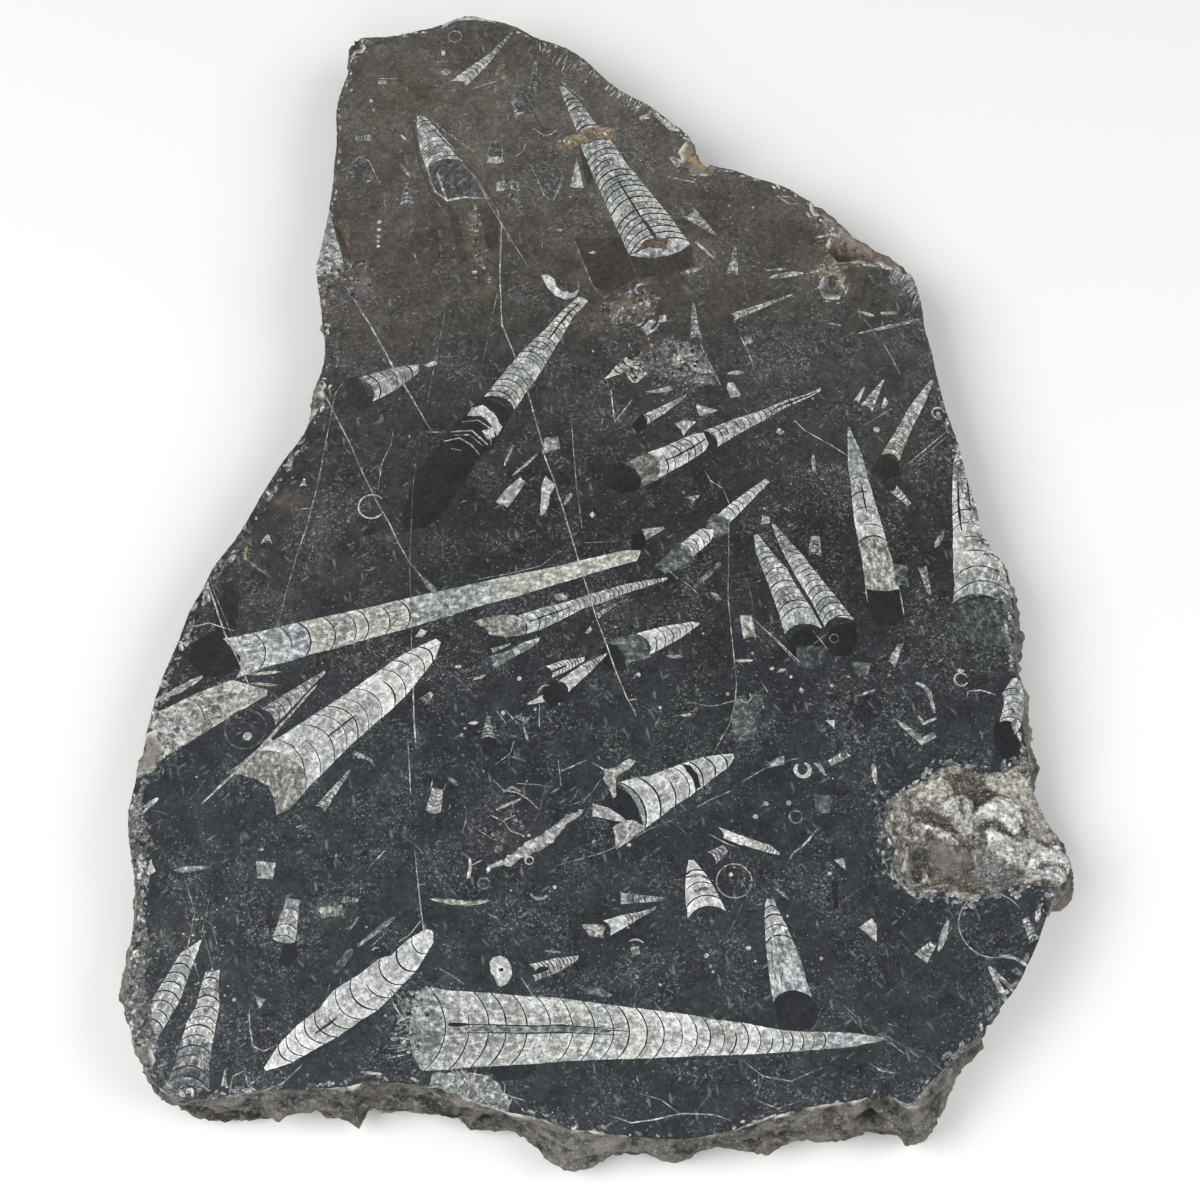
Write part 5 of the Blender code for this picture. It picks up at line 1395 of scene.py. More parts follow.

# The hollow: crystal lumps, shells that stand free in it, and the crevices between them, coloured near black
# as painted shade.
HOLLOW = (
    Lump("#5d564c", -0.3, (140, -160, 170, -158, 172, -184, 156, -186, 142, -184)),
    Lump("#8b8379", 0.2, (143, -162, 156, -162, 160, -172, 152, -181, 143, -176)),
    Lump("#403a33", -1.3, (162, -161, 170, -163, 171, -173, 165, -175, 161, -169)),
    Lump("#3f3932", -1.2, (140, -166, 146, -167, 147, -177, 142, -179)),
    Lump("#716e70", 0.3, (172, -166, 180, -165, 189, -170, 189, -184, 181, -187, 172, -184), (150, -160),
        2.4),
    Lump("#9b9791", 0.5, (194, -141, 201, -138, 210, -143, 213, -156, 205, -161, 196, -158)),
    Lump("#4c443a", -0.6, (160, -130, 176, -129, 178, -134, 170, -138, 160, -137)),
    Lump("#3d352c", -1.5, (170, -137, 178, -135, 184, -136, 183, -138, 176, -142, 171, -148, 169, -142)),
    Lump("#b3b1a3", 0.9, (176, -132, 184, -130, 192, -128, 197, -131, 198, -136, 196, -142, 193, -146, 190,
        -140, 184, -137, 178, -135), (170, -150), 2.6),
    Lump("#cfd0cc", 1.1, (171, -150, 174, -145, 179, -141.5, 184, -139, 189, -141, 193, -146, 194, -152, 192,
        -157, 188, -158, 185, -153, 180, -150, 175, -150), (180, -158), 2.3),
    Lump("#bcb9ac", 0.8, (146, -139, 151, -134, 157, -131, 162, -134, 163, -138, 158, -140, 150, -142)),
    Lump("#b1b3b0", 0.7,
        (157, -144, 162, -140, 167, -138, 171, -141, 171, -148, 170, -156, 166, -159, 162, -150, 158, -147),
        (150, -150), 2.4),
    Lump("#38322c", -1.2, (165.5, -140, 165.6, -145, 165, -150), width=1.6),
    Lump("#372f27", -1.6,
        (149, -144, 156, -147, 162, -152, 163, -157, 158, -156, 152, -151, 146, -150, 143, -148)),
    Lump("#dcdcd6", 0.9, (147, -152, 154, -156, 160, -160, 164, -161.5), width=2.2),
    Lump("#312b26", -1.6, (150, -155, 156, -160.5, 160, -167), width=2.6),
    Lump("#bfc0bc", 0.7,
        (178, -160, 186, -158, 192, -162, 194, -168, 192, -173, 186, -172, 180, -168, 176, -164), (196, -150),
        2.2),
    Lump("#dddeda", 0.6, (176, -155, 181, -154, 184, -158, 182, -162, 177, -161)),
    Lump("#312d29", -1.5,
        (173, -153, 177, -151, 182, -151, 186, -155, 188, -159, 183, -157, 178, -154, 174, -157)),
    Lump("#cdcecb", 1.2, (194, -172, 198, -166, 203, -163, 209, -164, 214, -170, 216, -178, 214, -184, 208,
        -181, 200, -180, 191, -182, 193, -177), (202, -184), 3.4),
    Lump("#3a3733", -1.2, (196, -175, 203, -172, 210, -173, 214, -178), width=1.7),
    Lump("#aeb0ae", 0.6, (194, -158, 199, -157, 199, -162, 197, -168, 193, -166, 192, -161)),
    Lump("#2e2b28", -1.4, (192, -152, 196, -160), width=2.2),
    Lump("#2e2b28", -1.3, (200, -161, 206, -164), width=2.0),
    Lump("#33302c", -1.3, (199, -181, 207, -186), width=2.2),
    Lump("#3a3733", -1.1, (200, -140, 207, -141), width=1.8),
    Lump("#d8d8d2", 0.7, (140, -163, 139, -170, 136, -177), width=1.7),
    Lump("#d2d2cb", 0.6, (150, -174, 146, -180, 140, -183), width=1.5),
    Lump("#8f8f7f", 0.6, (141, -187, 150, -183, 158, -182, 163, -188, 170, -190), width=2.4),
)

# Crumbly stains, crushed shell and rubble.
RUBBLE = (
    Rubble((SAND, P, OCHRE, INK, G),
        (-69, 184, -64, 182, -63, 165, -59, 154, -55, 138, -61, 131, -66, 140, -66, 154, -70, 172)),
    Rubble((OCHRE, P, SAND, W), (-25, 223, -10, 222, 6, 224, 8, 232, -6, 233, -20, 226), 0.9, 18),
    Rubble((SAND, P, PINK, INK, G),
        (108, 187, 118, 184, 132, 174, 144, 163, 152, 152, 144, 146, 128, 150, 112, 168), 1.5, 26),
    Rubble((SAND, OL, INK, G), (112, 150, 124, 148, 128, 138, 122, 130, 112, 134), 1.2, 20),
    Rubble((W, P, S, G), (144, 160, 158, 152, 164, 138, 160, 132, 150, 144), 1.1, 24),
    Rubble((SAND, BROWN, P, G, INK, A), (-3, 120, 4, 128, 16, 132, 28, 131, 31, 122, 20, 114, 6, 110), 1.3,
        26),
    Rubble((BL, G, SAND, BROWN, INK, A),
        (-147, 139, -136, 150, -121, 149, -114, 140, -119, 129, -132, 126, -148, 128), 1.3, 24),
    Rubble((SAND, P, PINK), (-147, 124, -141, 126, -142, 112, -147, 108), 1.0, 22),
    Rubble((G, A, S, INK, A), (126, -138, 142, -136, 143, -160, 138, -184, 130, -186, 124, -164), 1.3, 22),
    Rubble((G, A, S, INK), (140, -188, 160, -190, 176, -192, 172, -198, 150, -196), 1.1, 14),
    Rubble((G, OL, A, S, INK), (6, 86, 18, 98, 36, 104, 50, 98, 60, 80, 46, 74, 24, 76), 1.1, 16),
    Rubble((P, G, A), (-134, 200, -116, 197, -118, 201, -133, 204), 0.9, 40),
    Rubble((G, A, INK), (-53, 199, -43, 199, -42, 181, -47, 181, -52, 192), 1.2, 30),
    Rubble((S, G, A), (-194, 50, -176, 58, -160, 40, -164, 14, -186, 10, -204, -6), 1.0, 6),
    Rubble((P, S, G, A), (184, -8, 196, -8, 200, -60, 196, -74, 188, -60), 1.2, 14),
    Rubble((S, G, A, INK), (-52, -148, -38, -146, -34, -160, -42, -172, -54, -166), 1.0, 14),
    Rubble((S, G, BROWN, A, A, INK), (-224, -138, -211, -143, -206, -160, -207, -185, -203, -205, -202, -228,
        -195, -252, -200, -266, -214, -252, -221, -225, -224, -190), 1.2, 26),
    Rubble((C, W, P, OL), (-162, -89, -176, -85, -190, -90, -212, -102, -208, -124, -188, -110, -172, -100),
        1.9, 9),
    Rubble((S, P, G), (-192, -186, -170, -188, -166, -240, -176, -268, -186, -250), 0.6, 8),
    Rubble((INK, P, F, S), (-92, -234, -82, -231, -77, -244, -77, -258, -82, -268, -90, -262, -94, -248), 1.2,
        22),
    Rubble((P, S, OL), (-216, -96, -204, -92, -200, -112, -210, -128, -218, -120), 1.3, 16),
)

# Rows of short scratches.
HATCHES = (
    Hatch((-38, 287), (0, 262), 26, 62, 6, P),
    Hatch((8, 256), (40, 233), 24, 62, 6, P),
    Hatch((149, 151), (162, 125), 34, 62, 6.5, P),
    Hatch((0, 260), (20, 246), 10, 62, 5, W),
    Hatch((154, 146), (160, 118), 18, 66, 5, Tone.GREY),
    Hatch((-94, -233), (-80, -252), 10, 104, 10, Tone.GREY),
    Hatch((-90, -264), (-84, -238), 20, 8, 9),
    Hatch((108, -243), (146, -264), 13, -38, 15, Tone.ASH),
    Hatch((-62, -270), (-38, -282), 12, 80, 7, Tone.SILVER),
    Hatch((-72, -262), (-58, -276), 8, -55, 6, Tone.SILVER),
    Hatch((173, -170), (187, -182), 10, 50, 6, Tone.ASH),
)


# The polished face.


@dataclass
class Mosaic:
    """Every flat piece of the polished face, in painting order."""

    shapes: list[Shape] = field(default_factory=list)
    hash_count: int = 1700
    scratch_count: int = 70

    def seed(self) -> float:
        """Return a seed for the next piece."""
        return 0.731 * len(self.shapes) % 97.0

    def lay_patch(self, patch: Patch) -> None:
        """Add one drawn patch.

        Args:
            patch: The patch as drawn.
        """
        outline = ragged(pairs(patch.outline), 1.7, patch.rag, self.seed())
        look = Look(finish_for(patch.tone), patch.tone, patch.mottle, 23.0 * self.seed(), self.seed(),
            cover=0.85)
        self.shapes.append(Shape(outline, look))

    def lay_streak(self, streak: Streak) -> None:
        """Add one drawn line.

        Args:
            streak: The line as drawn.
        """
        path = pairs(streak.path)
        heading = math.degrees(math.atan2(path[-1][1] - path[0][1], path[-1][0] - path[0][0]))
        look = Look(finish_for(streak.tone), streak.tone, 1.0, heading, self.seed(), cover=0.8)
        width = 0.62 * streak.width if streak.width < 1.4 else 0.9 * streak.width
        self.shapes.append(Shape(ribbon(path, width, streak.taper, self.seed()), look))

    def lay_shell(self, shell: Shell) -> None:
        """Add a shell with its septa and siphuncle."""
        self.shapes += ShellCut(shell, self.seed()).pieces()

    def lay_hash(self) -> None:
        """Scatter the small broken shell pieces that the limestone is full of."""
        dice = Random(4417)
        tones = (Tone.FAINT, Tone.FAINT, Tone.ASH, Tone.ASH, Tone.GREY, Tone.SILVER, Tone.PALE)
        made = 0
        while made < self.hash_count:
            x, y = dice.uniform(*HASH_ACROSS), dice.uniform(*HASH_ALONG)
            dense = 0.07 + sum(cloud.at(x, y) for cloud in HASH)
            dense += 0.9 * max(0.0, wobble(x, y, 22.0, 3.0) - 0.12)
            if dice.random() > dense:
                continue
            made += 1
            tone = dice.choice(tones)
            look = Look(Finish.CALCITE, tone, 0.8, dice.uniform(0, 180), dice.uniform(0, 90),
                        cover=dice.uniform(0.25, 0.75))
            angle = dice.uniform(0, math.pi)
            if dice.random() < 0.4:
                half = 0.5 * dice.uniform(1.0, 4.2)
                bend = dice.uniform(-0.5, 0.5)
                path = [(x + half * t * math.cos(angle + bend * t), y + half * t * math.sin(angle + bend * t))
                        for t in (-1.0, 0.0, 1.0)]
                outline = ribbon(path, dice.uniform(0.35, 0.9), 0.8, made, 1.2)
            else:
                radius = dice.uniform(0.3, 0.9)
                outline = [(x + radius * dice.uniform(0.6, 1.3) * math.cos(t * 1.26 + angle),
                        y + radius * dice.uniform(0.6, 1.3) * math.sin(t * 1.26 + angle)) for t in range(5)]
            self.shapes.append(Shape(outline, look))

    def lay_scratches(self) -> None:
        """Add long faint hairlines."""
        dice = Random(90)
        for number in range(self.scratch_count):
            x, y = dice.uniform(-205, 195), dice.uniform(-290, 290)
            angle = dice.gauss(1.7, 0.7)
            half = 0.5 * dice.uniform(6, 24)
            path = [(x + half * t * math.cos(angle + 0.12 * t), y + half * t * math.sin(angle + 0.12 * t))
                    for t in (-1.0, -0.3, 0.4, 1.0)]
            look = Look(Finish.CALCITE, dice.choice((Tone.ASH, Tone.GREY)), 1.0, 0.0, number, cover=0.6)
            self.shapes.append(Shape(ribbon(path, dice.uniform(0.3, 0.5), 0.7, number, 3.0), look))

    def lay_rubble(self, rubble: Rubble) -> None:
        """Strew the crumbs of one patch of rubble.

        Args:
            rubble: The outline and its crumbs.
        """
        dice = Random(round(10 * rubble.outline[0] + rubble.outline[1]))
        ring = np.array(pairs(rubble.outline))
        low, high = ring.min(axis=0), ring.max(axis=0)
        rows = np.hstack([ring, np.roll(ring, -1, axis=0)])
        for number in range(round((high[0] - low[0]) * (high[1] - low[1]) * rubble.dense / 100.0)):
            x, y = dice.uniform(low[0], high[0]), dice.uniform(low[1], high[1])
            reach, turn = rubble.size * dice.uniform(0.35, 1.2), dice.uniform(0, math.pi)
            look = Look(Finish.CALCITE, dice.choice(rubble.tones), 1.0, math.degrees(turn), number,
                        cover=dice.uniform(0.35, 0.9))
            spokes = [reach * dice.uniform(0.55, 1.3) for _ in range(6)]
            if not inside(np.array([x]), np.array([y]), rows)[0] or wobble(x, y, 5.0, 30.0) < -0.35:
                continue
            outline = [(x + spoke * math.cos(corner * 1.05 + turn),
                    y + spoke * math.sin(corner * 1.05 + turn)) for corner, spoke in enumerate(spokes)]
            self.shapes.append(Shape(outline, look))

    def lay_hatch(self, hatch: Hatch) -> None:
        """Add a row of short scratches.

        Args:
            hatch: The row as drawn.
        """
        dice = Random(round(hatch.start[0] * 7 + hatch.start[1]))
        for number in range(hatch.count):
            share = (number + dice.random()) / hatch.count
            x = hatch.start[0] + (hatch.end[0] - hatch.start[0]) * share + dice.gauss(0.0, 1.6)
            y = hatch.start[1] + (hatch.end[1] - hatch.start[1]) * share + dice.gauss(0.0, 1.6)
            angle = math.radians(hatch.heading + dice.gauss(0.0, 9.0))
            half = 0.5 * hatch.length * dice.uniform(0.4, 1.2)
            path = [
                (x + half * t * math.cos(angle), y + half * t * math.sin(angle)) for t in (-1.0, 0.1, 1.0)]
            look = Look(Finish.CALCITE, hatch.tone, 1.0, hatch.heading, number, cover=dice.uniform(0.5, 0.95))
            self.shapes.append(Shape(ribbon(path, dice.uniform(0.35, 0.8), 0.7, number, 2.0), look))

    def build(self) -> list[Shape]:
        """Lay every piece and return them all.

        Returns:
            The shapes, in painting order.
        """
        self.lay_hash()
        self.lay_scratches()
        for patch in UNDER:
            self.lay_patch(patch)
        for shell in SHELLS:
            self.lay_shell(shell)
        for cone in CONES:
            self.lay_shell(cone.shell())
        for patch in PATCHES:
            self.lay_patch(patch)
        for streak in STREAKS:
            self.lay_streak(streak)
        for rubble in RUBBLE:
            self.lay_rubble(rubble)
        for hatch in HATCHES:
            self.lay_hatch(hatch)
        for ring in RINGS:
            look = Look(finish_for(ring.tone), ring.tone, 0.4, 0.0, self.seed())
            self.shapes.append(Shape(ribbon(ring.path(), ring.width, 0.4, self.seed(), 1.2), look))
        for x, y, radius in DOTS:
            turns = [math.radians(60.0 * step) for step in range(6)]
            outline = ragged([(x + radius * math.cos(t), y + radius * math.sin(t)) for t in turns], 0.9, 0.35,
                x)
            self.shapes.append(Shape(outline, Look(Finish.CALCITE, Tone.PALE, 0.3, 0.0, y)))
        return self.shapes


def inside(xs: np.ndarray, ys: np.ndarray, edges: np.ndarray) -> np.ndarray:
    """Tell which points lie inside closed outlines, by counting crossings.

    Args:
        xs: X of the points.
        ys: Y of the points.
        edges: Rows of x0, y0, x1, y1, one for each edge.

    Returns:
        True for each point inside.
    """
    odd = np.zeros(len(xs), dtype=bool)
    for x0, y0, x1, y1 in edges:
        if y0 == y1:
            continue
        crosses = (y0 > ys) != (y1 > ys)
        odd ^= crosses & (xs < (x1 - x0) * (ys - y0) / (y1 - y0) + x0)
    return odd


def ground_tone(x: float, y: float) -> Vector:
    """Find the linear colour of the polished limestone at a plan point.

    Args:
        x: Plan X, in mm.
        y: Plan Y, in mm.

    Returns:
        The linear colour.
    """
    foot, middle, head = (Vector(linear(code)) for code in (FOOT_TONE, MIDDLE_TONE, HEAD_TONE_AND_REFLECTION))
    # The brown head is partly the stone's own colour and partly a painted reflection of warm light.
    if y < 0.0:
        tone = middle.lerp(foot, min(1.0, -y / 150.0))
    else:
        tone = middle.lerp(head, min(1.0, y / 190.0))
    for cloud in HAZE:
        # A small stain is broken up, and a wide one stays even.
        small = min(cloud.radii) < 25.0
        broken = 0.3 + 0.8 * wobble(x, y, 5.0, 1.0) if small else 1.0 + 0.5 * wobble(x, y, 9.0, 1.0)
        amount = cloud.at(x, y) * broken
        if amount > 0.01:
            tone = tone.lerp(Vector(linear(cloud.tone)), min(1.0, amount))
    return tone


def wall_tone(place: Vector) -> Vector:
    """Find the linear colour of the broken stone.

    Args:
        place: The place, in mm.

    Returns:
        The colour: pale in places from dust, crust and painted light, dark at the foot from painted shade,
            and darker the deeper it lies below the face, which is painted shade of the undercut.
    """
    # Painted shade: the wall is blended towards the undercut tone the deeper it lies below the polished face.
    depth = min(1.0, max(0.0, (FACE_HEIGHT - place.z) / FACE_HEIGHT))
    top, undercut_shade = Vector(linear(WALL_TONE)), Vector(linear(PAINTED_UNDERCUT_SHADE))
    tone = top.lerp(undercut_shade, min(1.0, 1.3 * depth))
    # These colours are partly painted light and shade, and they fade with the depth below the face.
    for cloud in WALL_COLOUR_LIGHT_AND_SHADE:
        amount = cloud.at(place.x, place.y) * (1.0 - 0.45 * depth) * (1.0 + 0.8 * noise.noise(place / 7.0))
        if amount > 0.01:
            tone = tone.lerp(Vector(linear(cloud.tone)), min(1.0, amount))
    return tone * (1.0 + 0.5 * noise.noise(place / 13.0 + Vector((3, 8, 2))))


@dataclass
class Slab:
    """The whole stone: a polished mosaic face, a broken rim, a crystal hollow and a sawn back."""

    wall_edge: float = 2.3
    hollow_edge: float = 0.95
    rim_step: float = 1.7
    grid: float = 5.0
    wall_relief: float = 1.8
    hollow_relief: float = 0.6
    mesh: bmesh.types.BMesh = field(default_factory=bmesh.new)

    def load_solid(self) -> None:
        """Copy the CAD solid in plan millimetres and open its flat polished face."""
        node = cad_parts[NODE]
        self.mesh.from_mesh(node.data)
        bmesh.ops.remove_doubles(self.mesh, verts=self.mesh.verts, dist=1e-5)
        for vert in self.mesh.verts:
            vert.co = vert.co / MM
            vert.co.x -= PLAN_SHIFT[0]
            vert.co.y -= PLAN_SHIFT[1]
        self.low = Vector([min(v.co[i] for v in self.mesh.verts) for i in range(3)])
        self.high = Vector([max(v.co[i] for v in self.mesh.verts) for i in range(3)])
        self.tone = self.mesh.loops.layers.float_vector.new("tone")
        self.grain = self.mesh.faces.layers.float_vector.new("grain")
        self.station = self.mesh.loops.layers.float_vector.new("station")
        self.state = self.mesh.verts.layers.float_vector.new("state")
        self.ground = self.mesh.verts.layers.float_vector.new("ground")
        polished = []
        for face in self.mesh.faces:
            heights = [vert.co.z for vert in face.verts]
            middle = face.calc_center_median()
            if min(heights) > FACE_HEIGHT - FLAT_SLACK:
                polished.append(face)
            elif max(heights) < BACK_SLACK:
                face.material_index = Finish.SAWN.value
            elif face.normal.z > 0.1 and min(heights) > HOLLOW_FLOOR and self.in_hollow(middle):
                face.material_index = Finish.SPAR.value
            else:
                face.material_index = Finish.BROKEN.value
        bmesh.ops.delete(self.mesh, geom=polished, context="FACES_ONLY")

    @staticmethod
    def in_hollow(place: Vector) -> bool:
        """Tell whether a place is in the hollow at the right of the face."""
        return place.x > HOLLOW_LEFT and HOLLOW_SPAN[0] < place.y < HOLLOW_SPAN[1]

    def refine(self) -> None:
        """Cut the broken faces into small ones."""
        for _ in range(3):
            long = []
            for edge in self.mesh.edges:
                kinds = {face.material_index for face in edge.link_faces}
                limit = self.hollow_edge if Finish.SPAR.value in kinds else self.wall_edge
                if edge.is_boundary:
                    limit = self.rim_step
                if kinds != {Finish.SAWN.value} and edge.calc_length() > 1.35 * limit:
                    long.append(edge)
            if not long:
                break
            bmesh.ops.subdivide_edges(self.mesh, edges=long, cuts=1)
            wide = [face for face in self.mesh.faces if len(face.verts) > 3]
            bmesh.ops.triangulate(self.mesh, faces=wide)

    def measure_from_lip(self) -> None:
        """Store how far each point lies from the lip over the stone, and where along the lip."""
        self.mesh.verts.ensure_lookup_table()
        self.mesh.verts.index_update()
        loops = self.rim_loops()
        self.away = {}
        queue = []
        for loop in loops:
            run = 0.0
            for index, vert in enumerate(loop):
                heapq.heappush(queue, (0.0, vert.index, run))
                run += (loop[(index + 1) % len(loop)].co - vert.co).length
        while queue:
            length, index, run = heapq.heappop(queue)
            if index in self.away:
                continue
            self.away[index] = (length, run)
            vert = self.mesh.verts[index]
            for edge in vert.link_edges:
                other = edge.other_vert(vert)
                if other.index not in self.away:
                    heapq.heappush(queue, (length + edge.calc_length(), other.index, run))

    def rim_loops(self) -> list[list[bmesh.types.BMVert]]:
        """Return the closed loops of points round the opened face.

        Returns:
            The points of each loop, in order.
        """
        left = {edge for edge in self.mesh.edges if edge.is_boundary}
        # The order comes from the places alone, so that each run gives the same stone.
        order = sorted(left, key=lambda e: (*e.verts[0].co[:2], *e.verts[1].co[:2]))
        loops = []
        for first in order:
            if first not in left:
                continue
            start, at = first.verts
            loop = [start]
            left.discard(first)
            while at is not start:
                loop.append(at)
                edge = next(e for e in at.link_edges if e in left)
                left.discard(edge)
                at = edge.other_vert(at)
            loops.append(loop)
        return loops

    def ease_hollow(self) -> None:
        """Smooth the hollow's rim, break it up again like crystals, and draw the points near it along."""
        near = [
            v for v in self.mesh.verts if self.in_hollow(v.co) and self.away.get(v.index, (99.0,))[0] < 7.0]
        rim = [v for v in near if any(edge.is_boundary for edge in v.link_edges)]
        for passes, group, on_rim in ((6, rim, True), (5, [v for v in near if v not in set(rim)], False)):
            for _ in range(passes):
                moved = {}
                for vert in group:
                    others = [e.other_vert(vert).co for e in vert.link_edges if e.is_boundary or not on_rim]
                    mean = sum(others, Vector()) / len(others)
                    moved[vert] = vert.co.lerp(mean, 0.5)
                for vert, place in moved.items():
                    vert.co.x, vert.co.y = place.x, place.y
                    if not on_rim:
                        vert.co.z = min(place.z, FACE_HEIGHT - 0.05)
            if on_rim:
                for vert in rim:
                    x, y = vert.co.x, vert.co.y
                    vert.co.x += 0.9 * wobble(x, y, 4.5, 14.0)
                    vert.co.y += 0.9 * wobble(x, y, 4.5, 17.0)

    def carve_hollow(self) -> None:
        """Raise, sink and colour the lumps and crevices of the hollow, with painted shade in the crevices and
        on the rib troughs.
        """
        spar = Finish.SPAR.value
        verts = [v for v in self.mesh.verts if any(face.material_index == spar for face in v.link_faces)]
        xs, ys = (np.array([v.co[axis] for v in verts]) for axis in (0, 1))
        rise = {vert: 0.0 for vert in verts}
        for vert in verts:
            # Each point rises with this noise and is coloured by it: paler where it rises and near black
            # where it sinks, which paints light and shade onto the relief.
            spot = noise.noise(vert.co / 2.6 + Vector((5, 2, 9)))
            rise[vert] = 0.9 * spot
            other = "#bcb9b1" if spot > 0.0 else "#332f2b"
            vert[self.ground] = Vector(linear(HOLLOW_TONE)).lerp(Vector(linear(other)),
                min(1.0, 1.7 * abs(spot)))
        for lump in HOLLOW:
            ring = lump.ring()
            for index in np.nonzero(inside(xs, ys, np.hstack([ring, np.roll(ring, -1, axis=0)])))[0]:
                vert, wave = verts[index], 0.0
                if lump.pitch:
                    reach = math.hypot(xs[index] - lump.hub[0], ys[index] - lump.hub[1])
                    wave = math.sin(
                        math.tau * reach / lump.pitch + 1.5 * wobble(xs[index], ys[index], 5.0, 3.0))
                rise[vert] = lump.rise + 0.4 * wave
                # The ribs are lighter on their crests and darker in their troughs: painted light and shade.
                own = Vector(linear(lump.tone)) * (1.0 + 0.22 * wave + 0.7 * noise.noise(vert.co / 2.2))
                vert[self.ground] = vert[self.ground].lerp(own, 0.84)
        for vert in verts:
            away = self.away.get(vert.index, (0.0, 0.0))[0]
            around = [rise[o] for o in (e.other_vert(vert) for e in vert.link_edges) if o in rise]
            lift = 0.5 * rise[vert] + 0.5 * sum(around) / max(1, len(around))
            vert.co.z = min(vert.co.z + lift * min(1.0, away / 2.5), FACE_HEIGHT - 0.02 * min(1.0, away))

    def roughen(self) -> None:
        """Move the broken faces in and out like fractured stone."""
        self.mesh.normal_update()
        moves = {}
        for vert in self.mesh.verts:
            away = self.away.get(vert.index, (0.0, 0.0))[0]
            place = vert.co
            kinds = {face.material_index for face in vert.link_faces}
            rim = any(edge.is_boundary for edge in vert.link_edges)
            if rim:
                shift = Vector((wobble(place.x, place.y, 1.9, 4.0), wobble(place.x, place.y, 1.9, 8.0), 0.0))
                moves[vert] = (0.38 * shift, 0.0)
                continue
            if Finish.SAWN.value in kinds:
                moves[vert] = (Vector(), 0.0)
                continue
            fine = noise.noise(place / 2.3)
            broad = noise.noise(place / 8.0 + Vector((7, 3, 1)))
            sharp = 1.0 - abs(noise.noise(place / 4.6 + Vector((1, 9, 4)))) * 2.4
            layer = noise.noise(Vector((place.x / 13.0, place.y / 13.0, place.z / 2.4)))
            crest = 0.4 * broad + 0.25 * sharp + 0.25 * fine + 0.45 * layer
            relief = self.hollow_relief if Finish.SPAR.value in kinds else self.wall_relief
            fade = min(1.0, away / 3.5) * min(1.0, place.z / 4.0)
            moves[vert] = (vert.normal * relief * 1.7 * fade * (crest - 0.15), crest)
        for vert, (shift, crest) in moves.items():
            vert.co += shift
            for axis in range(3):
                vert.co[axis] = min(max(vert.co[axis], self.low[axis]), self.high[axis])
            away = self.away.get(vert.index, (0.0, 0.0))[0]
            vert[self.state] = Vector((away, crest, FACE_HEIGHT - vert.co.z))

    @staticmethod
    def chips(loops: list[list[bmesh.types.BMVert]]) -> list[Shape]:
        """Return the small bruises and splinters that line the rim of the face.

        Args:
            loops: Closed loops of the rim.

        Returns:
            The shapes, in painting order.
        """
        dice = Random(231)
        found = []
        areas = [sum(a.co.x * b.co.y - b.co.x * a.co.y for a,
                b in zip(loop, loop[1:] + loop[:1])) for loop in loops]
        widest = max(abs(area) for area in areas)
        for loop, area in zip(loops, areas):
            side = 1.0 if (area > 0.0) == (abs(area) == widest) else -1.0
            for a, b in zip(loop, loop[1:] + loop[:1]):
                place, step = a.co.to_2d(), (b.co - a.co).to_2d()
                crushed = abs(place.x) > 150.0 and place.y < 60.0
                often = (0.95 if crushed else 0.35) * (1.0 + 1.5 * wobble(place.x, place.y, 14.0, 21.0))
                if step.length < 0.3 or dice.random() > often:
                    continue
                inward = Vector((-step.y, step.x)).normalized() * side
                centre = place + inward * dice.uniform(0.3, 4.6 if crushed else 2.4)
                reach = dice.uniform(0.4, 1.8 if crushed else 1.3)
                turn = math.atan2(step.y, step.x) + dice.gauss(0.0, 0.5)
                outline = []
                for corner in range(6):
                    spoke = reach * dice.uniform(0.6, 1.3)
                    along = Vector(
                        (1.6 * spoke * math.cos(corner * 1.05), 0.8 * spoke * math.sin(corner * 1.05)))
                    along.rotate(Matrix.Rotation(turn, 2))
                    outline.append(tuple(centre + along))
                tone = dice.choice((Tone.WHITE, Tone.PALE, Tone.SILVER, Tone.GREY, Tone.GREY, Tone.ASH))
                look = Look(Finish.CALCITE, tone, 1.0, math.degrees(turn), dice.uniform(0, 90),
                            cover=dice.uniform(0.5, 0.95))
                found.append(Shape(outline, look))
        return found

    def lay_face(self, shapes: list[Shape]) -> None:
        """Cut the flat shapes into the opened face and close it.

        Args:
            shapes: The flat shapes, in painting order.
        """
        loops = self.rim_loops()
        shapes = shapes + self.chips(loops)
        rim = [vert for loop in loops for vert in loop]
        points = [Vector((vert.co.x, vert.co.y)) for vert in rim]
        edges: list[tuple[int, int]] = []
        for loop in loops:
            first = len(edges)
            edges += [(first + i, first + (i + 1) % len(loop)) for i in range(len(loop))]
        rim_edges = len(edges)
        for shape in shapes:
            first = len(points)
            count = len(shape.outline)
            points += [Vector(point) for point in shape.outline]
            edges += [(first + i, first + (i + 1) % count) for i in range(count)]
        points += self.grid_points()
        places, lines, faces, sources, line_sources, _ = delaunay_2d_cdt(points, edges, [], 0, 0.02, True)
        LOG.info("face: %d points, %d edges in; %d triangles out", len(points), len(edges), len(faces))
        corners = [next((rim[s] for s in found if s < len(rim)), None) for found in sources]
        self.split_rim(rim, edges[:rim_edges], places, lines, line_sources, corners)
        for index, vert in enumerate(corners):
            if vert is None:
                corners[index] = self.mesh.verts.new((places[index].x, places[index].y, FACE_HEIGHT))
            corners[index][self.ground] = ground_tone(places[index].x, places[index].y)
        flat = np.array([(p.x, p.y) for p in places])
        triangles = np.array([f for f in faces if len(f) == 3])
        centres = flat[triangles].mean(axis=1)
        rim_rows = np.array([(*points[a], *points[b]) for a, b in edges[:rim_edges]])
        kept = inside(centres[:, 0], centres[:, 1], rim_rows)
        triangles, centres = triangles[kept], centres[kept]
